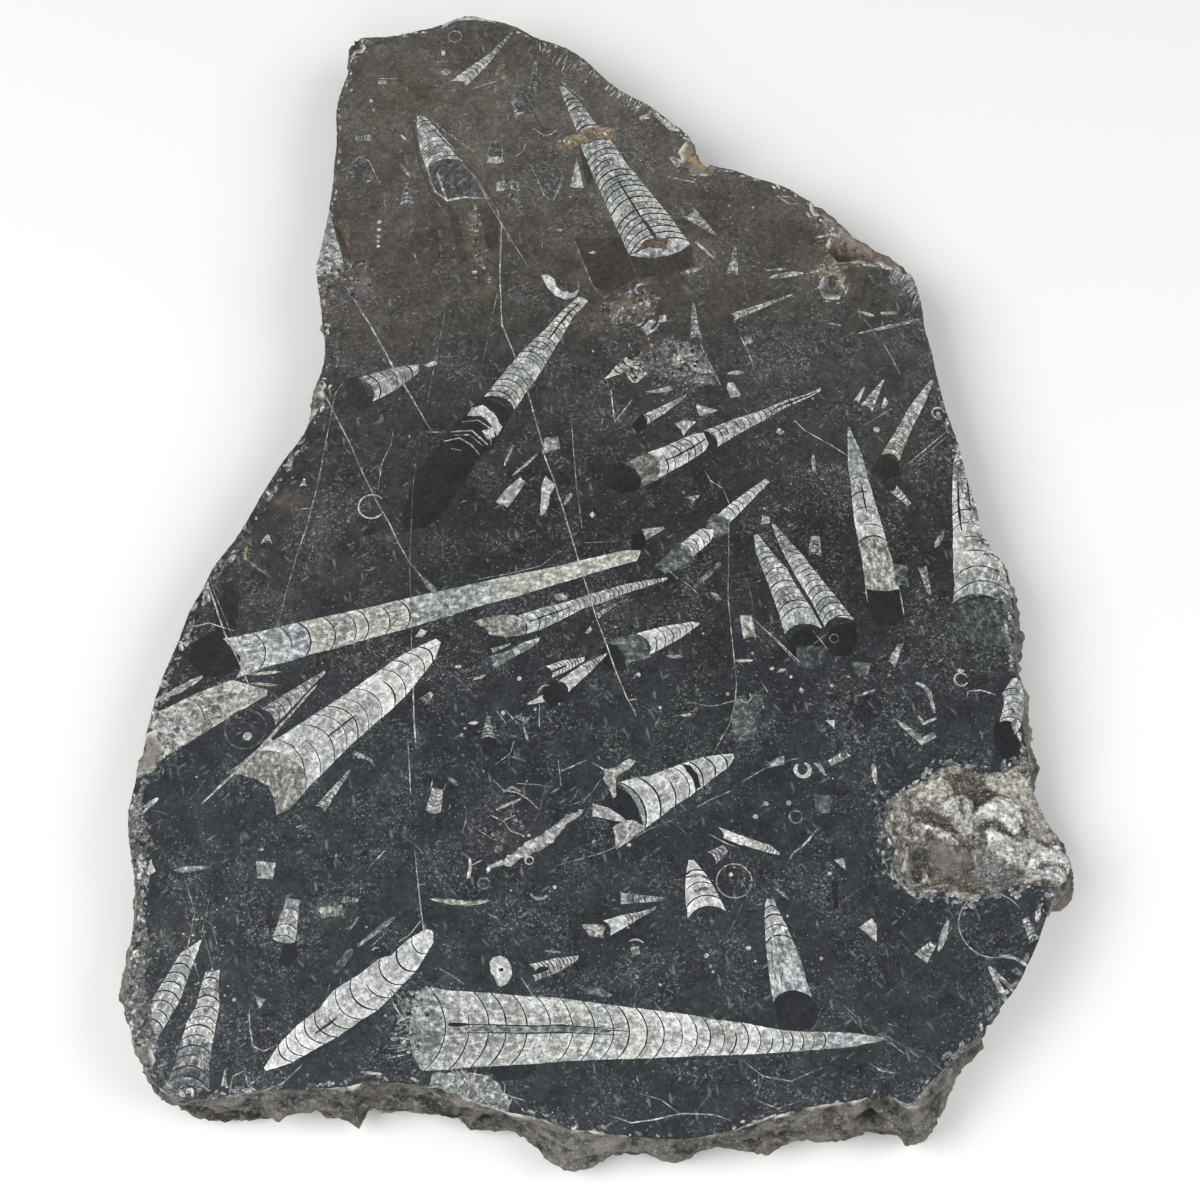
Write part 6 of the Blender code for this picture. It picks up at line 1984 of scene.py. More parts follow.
        owner = self.owners(centres, shapes)
        for corner_ids, centre, number in zip(triangles.tolist(), centres.tolist(), owner.tolist()):
            self.add_triangle([corners[i] for i in corner_ids], centre,
                shapes[number] if number >= 0 else None)
        for vert in corners:
            if not vert.link_faces:
                self.mesh.verts.remove(vert)

    def grid_points(self) -> list[Vector]:
        """Return the loose points that carry the soft colour of the face.

        Returns:
            Plan points, in mm.
        """
        dice = Random(12)
        found = []
        for row in range(int(self.low.y // self.grid), int(self.high.y // self.grid) + 1):
            for column in range(int(self.low.x // self.grid), int(self.high.x // self.grid) + 1):
                x = (column + 0.5 * (row % 2) + dice.uniform(-0.2, 0.2)) * self.grid
                found.append(Vector((x, (row + dice.uniform(-0.2, 0.2)) * self.grid)))
        return found

    def split_rim(
        self,
        rim: list[bmesh.types.BMVert],
        rim_edges: list[tuple[int, int]],
        places: list[Vector],
        lines: list[tuple[int, int]],
        line_sources: list[list[int]],
        corners: list[bmesh.types.BMVert | None],
    ) -> None:
        """Split the wall's top edges where a shape crosses them, so that the stone stays closed.

        Args:
            rim: Points of the rim loops.
            rim_edges: Rim edges as indexes into rim.
            places: Points of the cut face.
            lines: Edges of the cut face.
            line_sources: The input edges that each of them comes from.
            corners: The mesh point of each cut point, where it has one; new ones are filled in.
        """
        crossed: dict[int, set[int]] = {}
        for line, found in zip(lines, line_sources):
            for source in found:
                if source < len(rim_edges):
                    crossed.setdefault(source, set()).update(i for i in line if corners[i] is None)
        for source in sorted(crossed):
            start, end = (rim[i] for i in rim_edges[source])
            origin = start.co.copy()
            order = sorted(crossed[source], key=lambda i: (Vector((*places[i], FACE_HEIGHT)) - origin).length)
            at = start
            for index in order:
                if corners[index] is not None:
                    continue
                edge = self.mesh.edges.get((at, end))
                if edge is None:
                    break
                _, new = bmesh.utils.edge_split(edge, at, 0.5)
                new.co = Vector((*places[index], FACE_HEIGHT))
                corners[index] = new
                at = new

    @staticmethod
    def owners(centres: np.ndarray, shapes: list[Shape]) -> np.ndarray:
        """Return, for each triangle, the number of the last shape that covers it, or -1.

        Args:
            centres: Middle of each triangle.
            shapes: The flat shapes, in painting order.

        Returns:
            The number for each triangle.
        """
        owner = np.full(len(centres), -1)
        xs, ys = centres[:, 0], centres[:, 1]
        for number, shape in enumerate(shapes):
            ring = np.array(shape.outline)
            low, high = ring.min(axis=0), ring.max(axis=0)
            near = np.nonzero((xs > low[0]) & (xs < high[0]) & (ys > low[1]) & (ys < high[1]))[0]
            if len(near):
                rows = np.hstack([ring, np.roll(ring, -1, axis=0)])
                owner[near[inside(xs[near], ys[near], rows)]] = number
        return owner

    def add_triangle(self, corners: list[bmesh.types.BMVert], centre: list[float],
        shape: Shape | None) -> None:
        """Add one triangle of the face with the look of its shape.

        Args:
            corners: Its three points.
            centre: Plan point of its middle.
            shape: The shape that covers it, or None on bare limestone.
        """
        if len(set(corners)) < 3:
            return
        a, b, c = (corner.co for corner in corners)
        if (b.x - a.x) * (c.y - a.y) - (b.y - a.y) * (c.x - a.x) < 0.0:
            corners.reverse()
        if self.mesh.faces.get(corners):
            return
        face = self.mesh.faces.new(corners)
        if shape is None:
            face.material_index = Finish.POLISHED.value
            return
        places = [(loop.vert.co.x, loop.vert.co.y) for loop in face.loops]
        middle = (centre[0], centre[1])
        looks = shape.looks(places, middle)
        face.material_index = looks[0].finish.value
        face[self.grain] = Vector((math.radians(looks[0].heading), looks[0].seed, looks[0].mottle))
        for loop, look, (along, across) in zip(face.loops, looks, shape.stations(places, middle)):
            loop[self.tone] = look.colour(loop.vert[self.ground])
            loop[self.station] = Vector((along, across, 0.0))

    def finish_mesh(self) -> bpy.types.Object:
        """Colour the limestone, unwrap the stone and make it an object.

        Returns:
            The object, without its materials.
        """
        wide = [face for face in self.mesh.faces if len(face.verts) > 3]
        bmesh.ops.triangulate(self.mesh, faces=wide)
        for vert in self.mesh.verts:
            if vert[self.ground].length < 1e-6:
                vert[self.ground] = wall_tone(vert.co)
        self.unwrap()
        flat = (Finish.BROKEN.value, Finish.SPAR.value)
        for face in self.mesh.faces:
            face.smooth = face.material_index in flat
        for edge in self.mesh.edges:
            kinds = {face.material_index in flat for face in edge.link_faces}
            edge.smooth = len(kinds) == 1
        for vert in self.mesh.verts:
            vert.co.x += PLAN_SHIFT[0]
            vert.co.y += PLAN_SHIFT[1]
            vert.co *= MM
        data = bpy.data.meshes.new("orthoceras_slab")
        self.mesh.to_mesh(data)
        self.mesh.free()
        slab = bpy.data.objects.new("orthoceras_slab", data)
        bpy.context.scene.collection.objects.link(slab)
        return slab

    def unwrap(self) -> None:
        """Lay the face, the wall and the back side by side on one square, without overlaps."""
        layer = self.mesh.loops.layers.uv.new("OFBake")
        scale = 0.98 / (self.high.y - self.low.y)
        wall_scale, back_scale = 0.6 * scale, 0.36 * scale
        strip_length, strip_width = 0.62, 0.052
        edge_u = 0.01 + (self.high.x - self.low.x) * scale + 0.01
        self.mesh.verts.index_update()
        for face in self.mesh.faces:
            kind = face.material_index
            if kind == Finish.BROKEN.value and any(v.index in self.away for v in face.verts):
                base = min(self.away.get(v.index, (0.0, 1e9))[1] for v in face.verts)
                strip = int(base * wall_scale / strip_length)
                for loop in face.loops:
                    length, run = self.away.get(loop.vert.index, (0.0, base))
                    run = run if abs(run - base) < 30.0 else base
                    u = edge_u + strip * (strip_width + 0.003) + min(length * wall_scale, strip_width)
                    loop[layer].uv = (u, 0.01 + run * wall_scale - strip * strip_length)
                continue
            for loop in face.loops:
                x, y = loop.vert.co.x - self.low.x, loop.vert.co.y - self.low.y
                if kind == Finish.SAWN.value:
                    loop[layer].uv = (edge_u + x * back_scale, 0.99 - y * back_scale)
                else:
                    loop[layer].uv = (0.01 + x * scale, 0.01 + y * scale)

    def build(self) -> bpy.types.Object:
        """Build the whole stone.

        Returns:
            The finished object, without its materials.
        """
        self.load_solid()
        self.refine()
        self.measure_from_lip()
        self.ease_hollow()
        self.carve_hollow()
        self.roughen()
        self.lay_face(Mosaic().build())
        return self.finish_mesh()


# Finishes.


def add_node(tree: bpy.types.NodeTree, kind: str, settings: dict,
    links: dict | None = None) -> bpy.types.Node:
    """Add a node with its settings and links.

    Args:
        tree: The node tree.
        kind: The node's type.
        settings: Values by property name, or by input name or number.
        links: Output sockets by input name or number.

    Returns:
        The new node.
    """
    node = tree.nodes.new(kind)
    for key, value in settings.items():
        if isinstance(key, str) and key.islower():
            setattr(node, key, value)
        else:
            node.inputs[key].default_value = value
    for key, socket in (links or {}).items():
        tree.links.new(socket, node.inputs[key])
    return node


@dataclass(frozen=True)
class StoneFinish:
    """What every finish of the stone shares."""

    name: str
    roughness: float
    ior: float

    def tree(self) -> tuple[bpy.types.Material, bpy.types.NodeTree, bpy.types.Node, bpy.types.NodeSocket]:
        """Start a material.

        Returns:
            The material, its node tree, its shader, and its coordinates in metres.
        """
        material = bpy.data.materials.new(self.name)
        material.use_nodes = True
        tree = material.node_tree
        shader = tree.nodes["Principled BSDF"]
        shader.inputs["Roughness"].default_value = self.roughness
        shader.inputs["IOR"].default_value = self.ior
        place = add_node(tree, "ShaderNodeTexCoord", {}).outputs["Object"]
        return material, tree, shader, place

    @staticmethod
    def cloud(tree: bpy.types.NodeTree, place: bpy.types.NodeSocket, size: float, detail: float,
              rough: float) -> bpy.types.NodeSocket:
        """Return noise from 0 to 1 whose largest features are the given millimetres wide."""
        settings = {"Scale": per_mm(size), "Detail": detail, "Roughness": rough}
        return add_node(tree, "ShaderNodeTexNoise", settings, {"Vector": place}).outputs[0]

    @staticmethod
    def ramp(tree: bpy.types.NodeTree, value: bpy.types.NodeSocket, start: float, end: float, low: float,
             high: float) -> bpy.types.NodeSocket:
        """Return a value moved from one range to another, and held inside it."""
        settings = {"From Min": start, "From Max": end, "To Min": low, "To Max": high}
        return add_node(tree, "ShaderNodeMapRange", settings, {"Value": value}).outputs["Result"]

    @staticmethod
    def blend(tree: bpy.types.NodeTree, amount: bpy.types.NodeSocket, base: bpy.types.NodeSocket,
              code: str) -> bpy.types.NodeSocket:
        """Return a colour with another laid over it by an amount."""
        settings = {"data_type": "RGBA", 7: (*linear(code), 1.0)}
        return add_node(tree, "ShaderNodeMix", settings, {0: amount, 6: base}).outputs[2]

    def speckle(self, tree: bpy.types.NodeTree, base: bpy.types.NodeSocket, place: bpy.types.NodeSocket,
                marks: Sequence[tuple[float, float, float, str, float, float]]) -> bpy.types.NodeSocket:
        """Strew small flecks over a colour.

        Args:
            tree: The node tree.
            base: The colour under the flecks.
            place: Coordinates in metres.
            marks: For each kind its spacing in mm, turn in degrees, stretch, colour, share and strength.

        Returns:
            The colour with its flecks.
        """
        for spacing, turn, stretch, code, share, strength in marks:
            mapped = add_node(tree, "ShaderNodeMapping", {"vector_type": "TEXTURE",
                    "Rotation": (0.0, 0.0, math.radians(turn)), "Scale": (stretch, 1.0, 1.0)},
                {"Vector": place})
            cells = add_node(tree, "ShaderNodeTexVoronoi",
                {"voronoi_dimensions": "2D", "Scale": per_mm(spacing)}, {"Vector": mapped.outputs["Vector"]})
            core = self.ramp(tree, cells.outputs["Distance"], 0.34, 0.12, 0.0, 1.0)
            dice = add_node(tree, "ShaderNodeSeparateColor", {}, {"Color": cells.outputs["Color"]})
            chosen = self.ramp(tree, dice.outputs["Red"], 1.0 - share, 1.0, 0.1 * strength, strength)
            only = add_node(tree, "ShaderNodeMath", {"operation": "GREATER_THAN", 1: 1.0 - share},
                {0: dice.outputs["Red"]})
            first = add_node(tree, "ShaderNodeMath", {"operation": "MULTIPLY"}, {0: core, 1: chosen})
            amount = add_node(tree, "ShaderNodeMath", {"operation": "MULTIPLY"},
                {0: first.outputs[0], 1: only.outputs[0]})
            base = self.blend(tree, amount.outputs[0], base, code)
        return base


@dataclass(frozen=True)
class PolishedLimestone(StoneFinish):
    """Black limestone, sawn and polished: dark, dense and softly glossy, full of fine shell grit."""

    blotch_mm: float = 38.0
    cloud_mm: float = 11.0
    grain_mm: float = 2.6
    wisp_mm: float = 8.0
    drift_mm: float = 24.0

    def make(self) -> bpy.types.Material:
        """Build the material.

        Returns:
            The finished material.
        """
        material, tree, shader, place = self.tree()
        ground = add_node(tree, "ShaderNodeAttribute", {"attribute_name": "ground"}).outputs["Vector"]
        # Blotches, clouds and grain of falling size keep the dark ground from reading as one flat grey.
        grain = self.cloud(tree, place, self.grain_mm, 8.0, 0.72)
        cloud = self.cloud(tree, place, self.cloud_mm, 6.0, 0.62)
        blotch = self.cloud(tree, place, self.blotch_mm, 3.0, 0.5)
        shade = self.ramp(tree, grain, 0.32, 0.68, 0.58, 1.52)
        for source, low, high in ((cloud, 0.78, 1.26), (blotch, 0.86, 1.16)):
            other = self.ramp(tree, source, 0.32, 0.68, low, high)
            shade = add_node(tree, "ShaderNodeMath", {"operation": "MULTIPLY"},
                {0: shade, 1: other}).outputs[0]
        scaled = add_node(tree, "ShaderNodeVectorMath", {"operation": "SCALE"}, {0: ground, "Scale": shade})
        colour = scaled.outputs["Vector"]
        # Shell grit: crumbs that crowd into drifts, with clean stone between them.
        drift = self.ramp(tree, self.cloud(tree, place, self.drift_mm, 4.0, 0.6), 0.46, 0.66, 0.12, 1.0)
        crumbs = ((1.9, 0.6, 0.68, 0.75, "#8f9291"), (1.1, 0.62, 0.7, 0.8, "#b2b4b1"),
                  (4.4, 0.6, 0.72, 0.3, "#6c7072"), (1.5, 0.38, 0.3, 0.6, "#101112"))
        for size, start, end, strength, code in crumbs:
            crumb = self.ramp(tree, self.cloud(tree, place, size, 3.0, 0.55), start, end, 0.0, strength)
            amount = add_node(tree, "ShaderNodeMath", {"operation": "MULTIPLY"}, {0: crumb, 1: drift})
            colour = self.blend(tree, amount.outputs[0], colour, code)
        # Thin pale wisps where two shades meet: healed cracks and sections of tiny shells.
        wisps = ((self.wisp_mm, 0.012, 0.4, "#8c8f8e"), (3.1, 0.02, 0.3, "#83878a"))
        for spacing, width, strength, code in wisps:
            curve = self.cloud(tree, place, spacing, 3.0, 0.6)
            off = add_node(tree, "ShaderNodeMath", {"operation": "SUBTRACT", 1: 0.5}, {0: curve})
            size = add_node(tree, "ShaderNodeMath", {"operation": "ABSOLUTE"}, {0: off.outputs[0]})
            line = self.ramp(tree, size.outputs[0], width, 0.0, 0.0, strength)
            amount = add_node(tree, "ShaderNodeMath", {"operation": "MULTIPLY"}, {0: line, 1: drift})
            colour = self.blend(tree, amount.outputs[0], colour, code)
        marks = ((1.4, 0.0, 1.0, "#a5a8a6", 0.04, 0.6), (2.2, 35.0, 3.4, "#888c8c", 0.05, 0.5),
                 (2.4, -50.0, 3.8, "#7b8082", 0.05, 0.5), (2.6, 100.0, 3.6, "#8a8d8c", 0.05, 0.5))
        colour = self.speckle(tree, colour, place, marks)
        tree.links.new(colour, shader.inputs["Base Color"])
        gloss = self.ramp(tree, cloud, 0.3, 0.7, self.roughness - 0.05, self.roughness + 0.09)
        tree.links.new(gloss, shader.inputs["Roughness"])
        bump = add_node(tree, "ShaderNodeBump", {"Strength": 0.1, "Distance": 0.0002}, {"Height": grain})
        tree.links.new(bump.outputs["Normal"], shader.inputs["Normal"])
        return material


@dataclass(frozen=True)
class FossilMineral(StoneFinish):
    """Mineral that fills a shell, cut flush and polished: half clear crystals over the dark stone."""

    crystal_mm: float = 2.4
    veil: float = 0.85
    lift: float = 0.72
    crack: float = 0.7
    fringe: float = 0.16
    clear_from: float = 0.5
    marble: float = 0.66

    def make(self) -> bpy.types.Material:
        """Build the material.

        Returns:
            The finished material.
        """
        material, tree, shader, place = self.tree()
        ground, tone, grain, station = (
            add_node(tree, "ShaderNodeAttribute", {"attribute_name": layer}).outputs["Vector"]
            for layer in ("ground", "tone", "grain", "station")
        )
        parts = add_node(tree, "ShaderNodeSeparateXYZ", {}, {"Vector": grain})
        within = add_node(tree, "ShaderNodeSeparateXYZ", {}, {"Vector": station})
        # The crystals follow each shell, so the coordinates turn with its length.
        back = add_node(tree, "ShaderNodeMath", {"operation": "MULTIPLY", 1: -1.0}, {0: parts.outputs["X"]})
        turned = add_node(tree, "ShaderNodeVectorRotate", {"rotation_type": "Z_AXIS"},
            {"Vector": place, "Angle": back.outputs[0]})
        shift = add_node(tree, "ShaderNodeCombineXYZ", {}, {"Z": parts.outputs["Y"]})
        own = add_node(tree, "ShaderNodeVectorMath", {"operation": "ADD"},
            {0: turned.outputs["Vector"], 1: shift.outputs["Vector"]}).outputs["Vector"]
        streaky = add_node(tree, "ShaderNodeVectorMath", {"operation": "MULTIPLY", 1: (0.72, 1.1, 1.0)},
            {0: own})
        ribbed = add_node(tree, "ShaderNodeVectorMath", {"operation": "MULTIPLY", 1: (1.45, 0.9, 1.0)},
            {0: own})
        cloud = self.cloud(tree, streaky.outputs["Vector"], self.crystal_mm, 7.0, 0.72)
        rib = self.cloud(tree, ribbed.outputs["Vector"], 2.6, 5.0, 0.7)
        wide = self.cloud(tree, own, 4.0 * self.crystal_mm, 3.0, 0.5)
        fine = self.cloud(tree, own, 0.9, 3.0, 0.6)
        # Clear patches let the dark stone through, as specks and streaks along the shell.
        clear = self.ramp(tree, cloud, self.clear_from, self.clear_from + 0.13, 0.0, self.veil)
        amount = add_node(tree, "ShaderNodeMath", {"operation": "MULTIPLY"},
            {0: clear, 1: parts.outputs["Z"]})
        deep = add_node(tree, "ShaderNodeMix", {"data_type": "RGBA", 0: 0.2}, {6: ground, 7: tone}).outputs[2]
        body = add_node(tree, "ShaderNodeMix", {"data_type": "RGBA"},
            {0: amount.outputs[0], 6: tone, 7: deep})
        # Marbling: the stone's own dark shows in clouds and veins that run through the chambers.
        warped = add_node(tree, "ShaderNodeTexNoise",
            {"Scale": per_mm(3.2), "Detail": 6.0, "Roughness": 0.66, "Distortion": 1.6}, {"Vector": own})
        vein = self.ramp(tree, warped.outputs[0], 0.47, 0.62, 0.0, self.marble)
        share = add_node(tree, "ShaderNodeMath", {"operation": "MULTIPLY"}, {0: vein, 1: parts.outputs["Z"]})
        body = add_node(tree, "ShaderNodeMix", {"data_type": "RGBA"},
            {0: share.outputs[0], 6: body.outputs[2], 7: deep})
        shade = self.ramp(tree, rib, 0.34, 0.66, 1.22, 0.6)
        broad = self.ramp(tree, wide, 0.34, 0.66, 1.14, 0.76)
        shade = add_node(tree, "ShaderNodeMath", {"operation": "MULTIPLY"}, {0: shade, 1: broad}).outputs[0]
        shaded = add_node(tree, "ShaderNodeVectorMath", {"operation": "SCALE"},
            {0: body.outputs[2], "Scale": shade})
        # White spar lines each chamber wall and the shell's edge, and thins out between them.
        rim = add_node(tree, "ShaderNodeMath", {"operation": "SUBTRACT", 1: 0.55}, {0: within.outputs["X"]})
        away = add_node(tree, "ShaderNodeMath", {"operation": "ABSOLUTE"}, {0: rim.outputs[0]})
        near = self.ramp(tree, away.outputs[0], 0.25, 0.5, -self.fringe, self.fringe)
        side = self.ramp(tree, within.outputs["Y"], 0.3, 0.95, -0.6 * self.fringe, self.fringe)
        both = add_node(tree, "ShaderNodeMath", {"operation": "ADD"}, {0: near, 1: side})
        whole = add_node(tree, "ShaderNodeMath", {"operation": "ADD", 1: 1.0}, {0: both.outputs[0]})
        edged = add_node(tree, "ShaderNodeVectorMath", {"operation": "SCALE"},
            {0: shaded.outputs["Vector"], "Scale": whole.outputs[0]})
        light = self.ramp(tree, cloud, 0.49, 0.38, 0.0, self.lift)
        # A dim fossil has dim flecks.
        reach = add_node(tree, "ShaderNodeVectorMath", {"operation": "LENGTH"}, {0: tone}).outputs["Value"]
        glow = add_node(tree, "ShaderNodeMath", {"operation": "MULTIPLY"},
            {0: light, 1: self.ramp(tree, reach, 0.06, 0.7, 0.08, 1.0)})
        bright = self.blend(tree, glow.outputs[0], edged.outputs["Vector"], "#f4f5f2")
        # Thin dark cracks follow the edges between crystals.
        cells = add_node(tree, "ShaderNodeTexVoronoi", {"feature": "DISTANCE_TO_EDGE", "Scale": per_mm(3.4)},
            {"Vector": streaky.outputs["Vector"]})
        line = self.ramp(tree, cells.outputs["Distance"], 0.07, 0.015, 0.0, self.crack)
        gate = self.ramp(tree, rib, 0.46, 0.58, 0.0, 1.0)
        veins = add_node(tree, "ShaderNodeMath", {"operation": "MULTIPLY"}, {0: line, 1: gate})
        cracked = add_node(tree, "ShaderNodeMix", {"data_type": "RGBA"},
            {0: veins.outputs[0], 6: bright, 7: deep})
        dust = self.ramp(tree, fine, 0.3, 0.7, 1.26, 0.7)
        colour = add_node(tree, "ShaderNodeVectorMath", {"operation": "SCALE"},
            {0: cracked.outputs[2], "Scale": dust})
        tree.links.new(colour.outputs["Vector"], shader.inputs["Base Color"])
        bump = add_node(tree, "ShaderNodeBump", {"Strength": 0.1, "Distance": 0.0002, "invert": True},
            {"Height": veins.outputs[0]})
        tree.links.new(bump.outputs["Normal"], shader.inputs["Normal"])
        return material


@dataclass(frozen=True)
class BrokenLimestone(StoneFinish):
    """Limestone split by hand: dull, dusty and with a painted highlight on the crests, dusty at the bruised
    lip, and painted shade in the breaks.
    """

    crust_mm: float = 3.4

    def make(self) -> bpy.types.Material:
        """Build the material.

        Returns:
            The finished material.
        """
        material, tree, shader, place = self.tree()
        ground, state = (
            add_node(tree, "ShaderNodeAttribute", {"attribute_name": layer}).outputs["Vector"]
            for layer in ("ground", "state")
        )
        parts = add_node(tree, "ShaderNodeSeparateXYZ", {}, {"Vector": state})
        cloud = self.cloud(tree, place, 8.0, 7.0, 0.68)
        grit = self.cloud(tree, place, 1.4, 6.0, 0.75)
        coarse = self.cloud(tree, place, 3.4, 4.0, 0.6)
        # Pale shell crumbs and black stone, salt and pepper, lie over the slow change of colour.
        shade = self.ramp(tree, cloud, 0.3, 0.7, 0.66, 1.4)
        rock = add_node(tree, "ShaderNodeVectorMath", {"operation": "SCALE"}, {0: ground, "Scale": shade})
        colour = self.blend(tree, self.ramp(tree, coarse, 0.48, 0.36, 0.0, 0.8), rock.outputs["Vector"],
            "#25221f")
        colour = self.blend(tree, self.ramp(tree, coarse, 0.54, 0.66, 0.0, 0.5), colour, "#96928b")
        colour = self.blend(tree, self.ramp(tree, grit, 0.55, 0.66, 0.0, 0.55), colour, "#cbc8c1")
        colour = self.blend(tree, self.ramp(tree, grit, 0.45, 0.34, 0.0, 0.7), colour, "#201d1b")
        # The beds that stand out are paler, partly dust and partly a painted highlight, and the sunken seams
        # between them get near-black painted shade.
        crest = self.ramp(tree, parts.outputs["Y"], 0.0, 0.45, 0.0, 0.45)
        colour = self.blend(tree, crest, colour, "#8c8780")
        seam_shade = self.ramp(tree, parts.outputs["Y"], 0.0, -0.35, 0.0, 0.8)
        colour = self.blend(tree, seam_shade, colour, "#1f1d1b")
        # The bruised lip is crushed to white powder in places.
        lip = self.ramp(tree, parts.outputs["X"], self.crust_mm, 0.5, 0.0, 0.95)
        patchy = self.ramp(tree, cloud, 0.44, 0.56, 0.0, 1.0)
        crust = add_node(tree, "ShaderNodeMath", {"operation": "MULTIPLY"}, {0: lip, 1: patchy})
        colour = self.blend(tree, crust.outputs[0], colour, "#d3d1ca")
        tree.links.new(colour, shader.inputs["Base Color"])
        bump = add_node(tree, "ShaderNodeBump", {"Strength": 0.8, "Distance": 0.001}, {"Height": coarse})
        fine = add_node(tree, "ShaderNodeBump", {"Strength": 0.7, "Distance": 0.0006},
            {"Height": grit, "Normal": bump.outputs["Normal"]})
        tree.links.new(fine.outputs["Normal"], shader.inputs["Normal"])
        return material


@dataclass(frozen=True)
class SparHollow(StoneFinish):
    """The unpolished hollow: brown broken crystals, shells of white spar, and small painted glints."""

    def make(self) -> bpy.types.Material:
        """Build the material.

        Returns:
            The finished material.
        """
        material, tree, shader, place = self.tree()
        ground = add_node(tree, "ShaderNodeAttribute", {"attribute_name": "ground"}).outputs["Vector"]
        cloud = self.cloud(tree, place, 2.4, 6.0, 0.72)
        grit = self.cloud(tree, place, 1.1, 5.0, 0.72)
        shade = self.ramp(tree, cloud, 0.36, 0.64, 0.28, 1.6)
        rock = add_node(tree, "ShaderNodeVectorMath", {"operation": "SCALE"}, {0: ground, "Scale": shade})
        # White crystal specks, partly painted glints, lie on the lumps, and dirt stays in the joints between
        # them.
        colour = self.blend(tree, self.ramp(tree, grit, 0.55, 0.65, 0.0, 0.7), rock.outputs["Vector"],
            "#d8d7d1")
        colour = self.blend(tree, self.ramp(tree, grit, 0.47, 0.37, 0.0, 0.8), colour, "#2e2a26")
        tree.links.new(colour, shader.inputs["Base Color"])
        cells = add_node(tree, "ShaderNodeTexVoronoi", {"Scale": per_mm(2.0)}, {"Vector": place})
        facet = add_node(tree, "ShaderNodeBump", {"Strength": 0.6, "Distance": 0.0008},
            {"Height": cells.outputs["Distance"]})
        bump = add_node(tree, "ShaderNodeBump", {"Strength": 0.6, "Distance": 0.0005},
            {"Height": grit, "Normal": facet.outputs["Normal"]})
        tree.links.new(bump.outputs["Normal"], shader.inputs["Normal"])
        return material


@dataclass(frozen=True)
class SawnLimestone(StoneFinish):
    """The sawn back: matt grey-black stone with the curved marks of the saw."""

    saw_mm: float = 3.2

    def make(self) -> bpy.types.Material:
        """Build the material.

        Returns:
            The finished material.
        """
        material, tree, shader, place = self.tree()
        marks = add_node(tree, "ShaderNodeTexWave", {"wave_type": "RINGS", "rings_direction": "Z",
                "Scale": per_mm(self.saw_mm) / 20.0, "Distortion": 1.4, "Detail": 3.0}, {"Vector": place})
        cloud = add_node(tree, "ShaderNodeTexNoise", {"Scale": per_mm(22.0), "Detail": 6.0},
            {"Vector": place})
        mixed = add_node(tree, "ShaderNodeMix",
            {"data_type": "RGBA", 6: (*linear("#35363a"), 1.0), 7: (*linear("#54544f"), 1.0)},
            {0: cloud.outputs[0]})
        shade = add_node(tree, "ShaderNodeMapRange", {"To Min": 0.88, "To Max": 1.08},
            {"Value": marks.outputs["Fac"]})
        colour = add_node(tree, "ShaderNodeVectorMath", {"operation": "SCALE"},
            {0: mixed.outputs[2], "Scale": shade.outputs["Result"]})
        flecks = ((3.0, 20.0, 1.0, "#8b8d8c", 0.2, 0.5), (2.4, -30.0, 3.0, "#77797a", 0.2, 0.5))
        tree.links.new(self.speckle(tree, colour.outputs["Vector"], place, flecks),
            shader.inputs["Base Color"])
        bump = add_node(tree, "ShaderNodeBump", {"Strength": 0.2, "Distance": 0.0003},
            {"Height": marks.outputs["Fac"]})
        tree.links.new(bump.outputs["Normal"], shader.inputs["Normal"])
        return material


FINISHES = (
    # Near black with a soft gloss, so that the pale shells stand out.
    PolishedLimestone("polished black limestone", 0.34, 1.36),
    # Milky white and grey crystals with dark specks between them.
    FossilMineral("polished shell calcite", 0.36, 1.38),
    # Dark mud in the open chambers: calm, with hardly a crystal in it.
    FossilMineral("lime mud infill", 0.38, 1.36, crystal_mm=2.6, veil=0.5, lift=0.02, crack=0.15, fringe=0.0),
    # Rusty and sandy stains, crumbly and less glossy than the stone round them.
    FossilMineral("iron stained calcite", 0.5, 1.38, crystal_mm=2.2, veil=1.0, lift=0.3, crack=0.8,
        fringe=0.0, clear_from=0.46),
    # Dull and rough, with dust and a painted highlight on its ledges, and painted shade in its seams.
    BrokenLimestone("hand-split limestone", 0.85, 1.45),
    # Brown, with white crystal specks and painted glints where crystals broke.
    SparHollow("broken spar hollow", 0.7, 1.5),
    # Matt and even, with faint arcs.
    SawnLimestone("sawn limestone back", 0.7, 1.48),
)


# Studio.


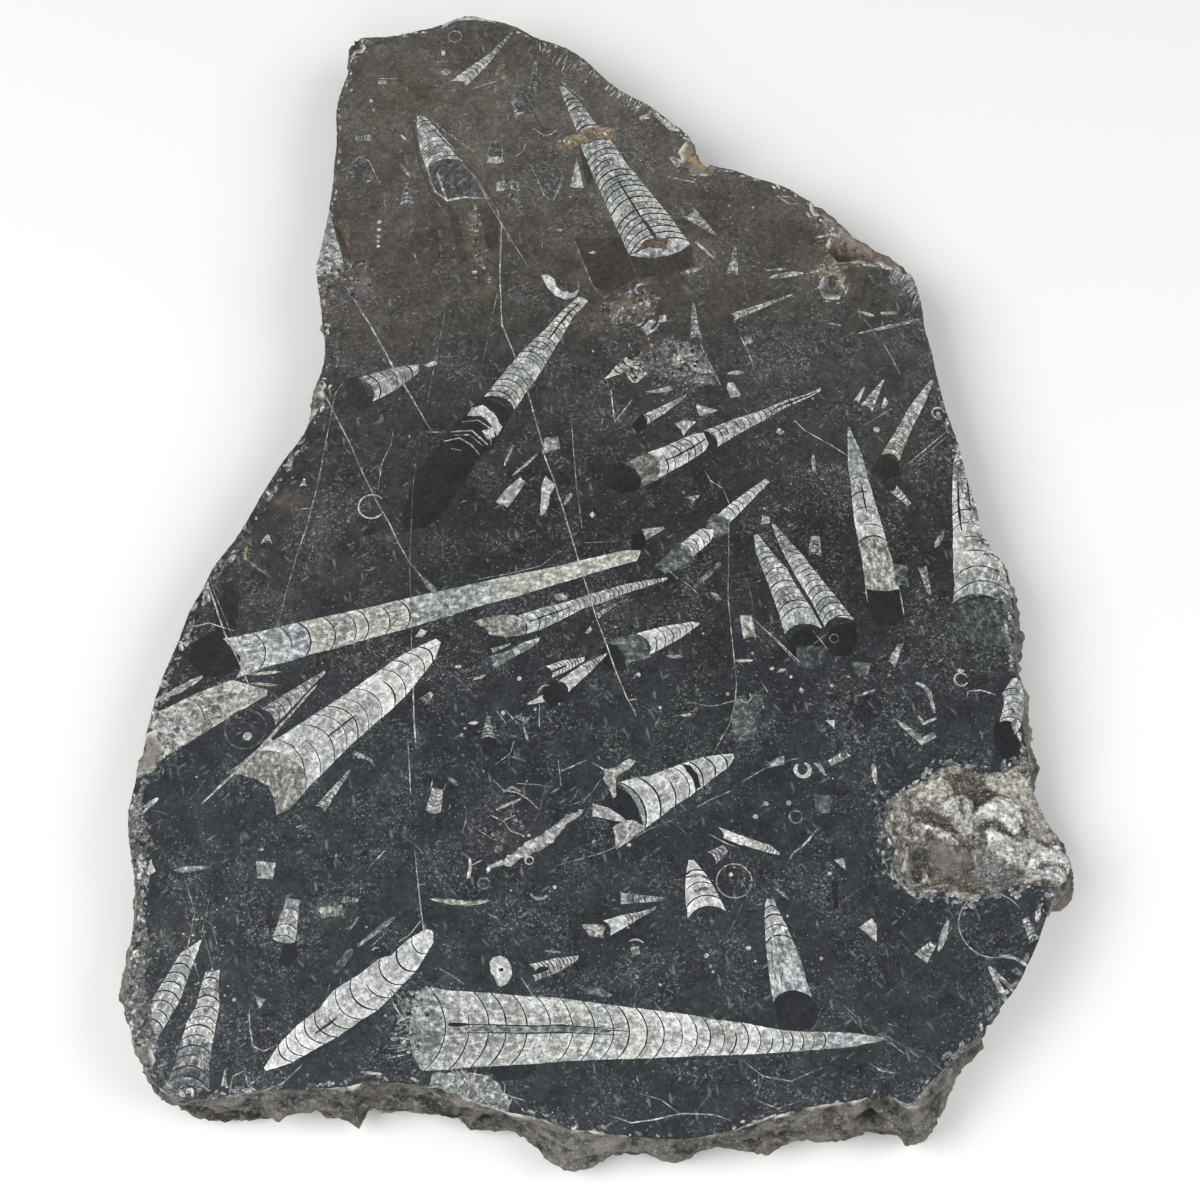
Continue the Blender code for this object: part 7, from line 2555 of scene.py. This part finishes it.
@dataclass(frozen=True)
class Studio:
    """Plain pale floor, soft lights and the camera of the photograph."""

    floor_size: float = 7.0
    floor_tone: str = "#f1f1ef"
    target: tuple[float, float, float] = (-0.00085, -0.04251, 0.040)
    station: tuple[float, float, float] = (-0.00085, -0.46961, 0.9992)
    lens: float = 65.7

    def lay_floor(self) -> None:
        """Add the floor, which is not part of the object."""
        data = bpy.data.meshes.new("studio_floor")
        half = 0.5 * self.floor_size
        data.from_pydata([(-half, -half, 0), (half, -half, 0), (half, half, 0), (-half, half, 0)], [],
            [(0, 1, 2, 3)])
        floor = bpy.data.objects.new("studio_floor", data)
        bpy.context.scene.collection.objects.link(floor)
        material = bpy.data.materials.new("studio paper")
        material.use_nodes = True
        shader = material.node_tree.nodes["Principled BSDF"]
        shader.inputs["Base Color"].default_value = (*linear(self.floor_tone), 1.0)
        shader.inputs["Roughness"].default_value = 0.9
        data.materials.append(material)

    def hang_lights(self) -> None:
        """Hang three soft boxes and fill the room with pale light."""
        lights = (("key", (-1.5, -0.5, 1.9), 1.6, 43.0), ("fill", (1.7, -0.4, 1.8), 1.6, 27.0),
                  ("foot", (0.0, -1.9, 1.3), 1.4, 14.0))
        for name, place, size, power in lights:
            data = bpy.data.lights.new(f"{name}_light", "AREA")
            data.energy = power
            data.size = size
            lamp = bpy.data.objects.new(f"{name}_light", data)
            lamp.location = place
            lamp.rotation_euler = (Vector((0, 0, 0)) - Vector(place)).to_track_quat("-Z", "Y").to_euler()
            bpy.context.scene.collection.objects.link(lamp)
        world = bpy.data.worlds.new("studio_room")
        world.use_nodes = True
        world.node_tree.nodes["Background"].inputs["Color"].default_value = (*linear("#f2f4f6"), 1.0)
        world.node_tree.nodes["Background"].inputs["Strength"].default_value = 0.3
        bpy.context.scene.world = world
        # The photograph has plain contrast, so the render's colours are shown as they are.
        bpy.context.scene.view_settings.view_transform = "Standard"

    def set_camera(self) -> None:
        """Place the camera where the photograph was taken from."""
        data = bpy.data.cameras.new("photo_camera")
        data.lens = self.lens
        data.sensor_width = 36.0
        data.clip_start = 0.01
        camera = bpy.data.objects.new("photo_camera", data)
        camera.location = self.station
        look = Vector(self.target) - Vector(self.station)
        camera.rotation_euler = look.to_track_quat("-Z", "Y").to_euler()
        bpy.context.scene.collection.objects.link(camera)
        bpy.context.scene.camera = camera

    def build(self) -> None:
        """Set the whole studio up."""
        self.lay_floor()
        self.hang_lights()
        self.set_camera()


def main() -> None:
    """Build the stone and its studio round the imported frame."""
    logging.basicConfig(level=logging.INFO, format="%(name)s: %(message)s")
    slab = Slab().build()
    for finish in FINISHES:
        slab.data.materials.append(finish.make())
    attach(slab, "root")
    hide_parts(NODE)
    LOG.info("%s: %d faces", slab.name, len(slab.data.polygons))
    Studio().build()


if __name__ == "__main__":
    main()
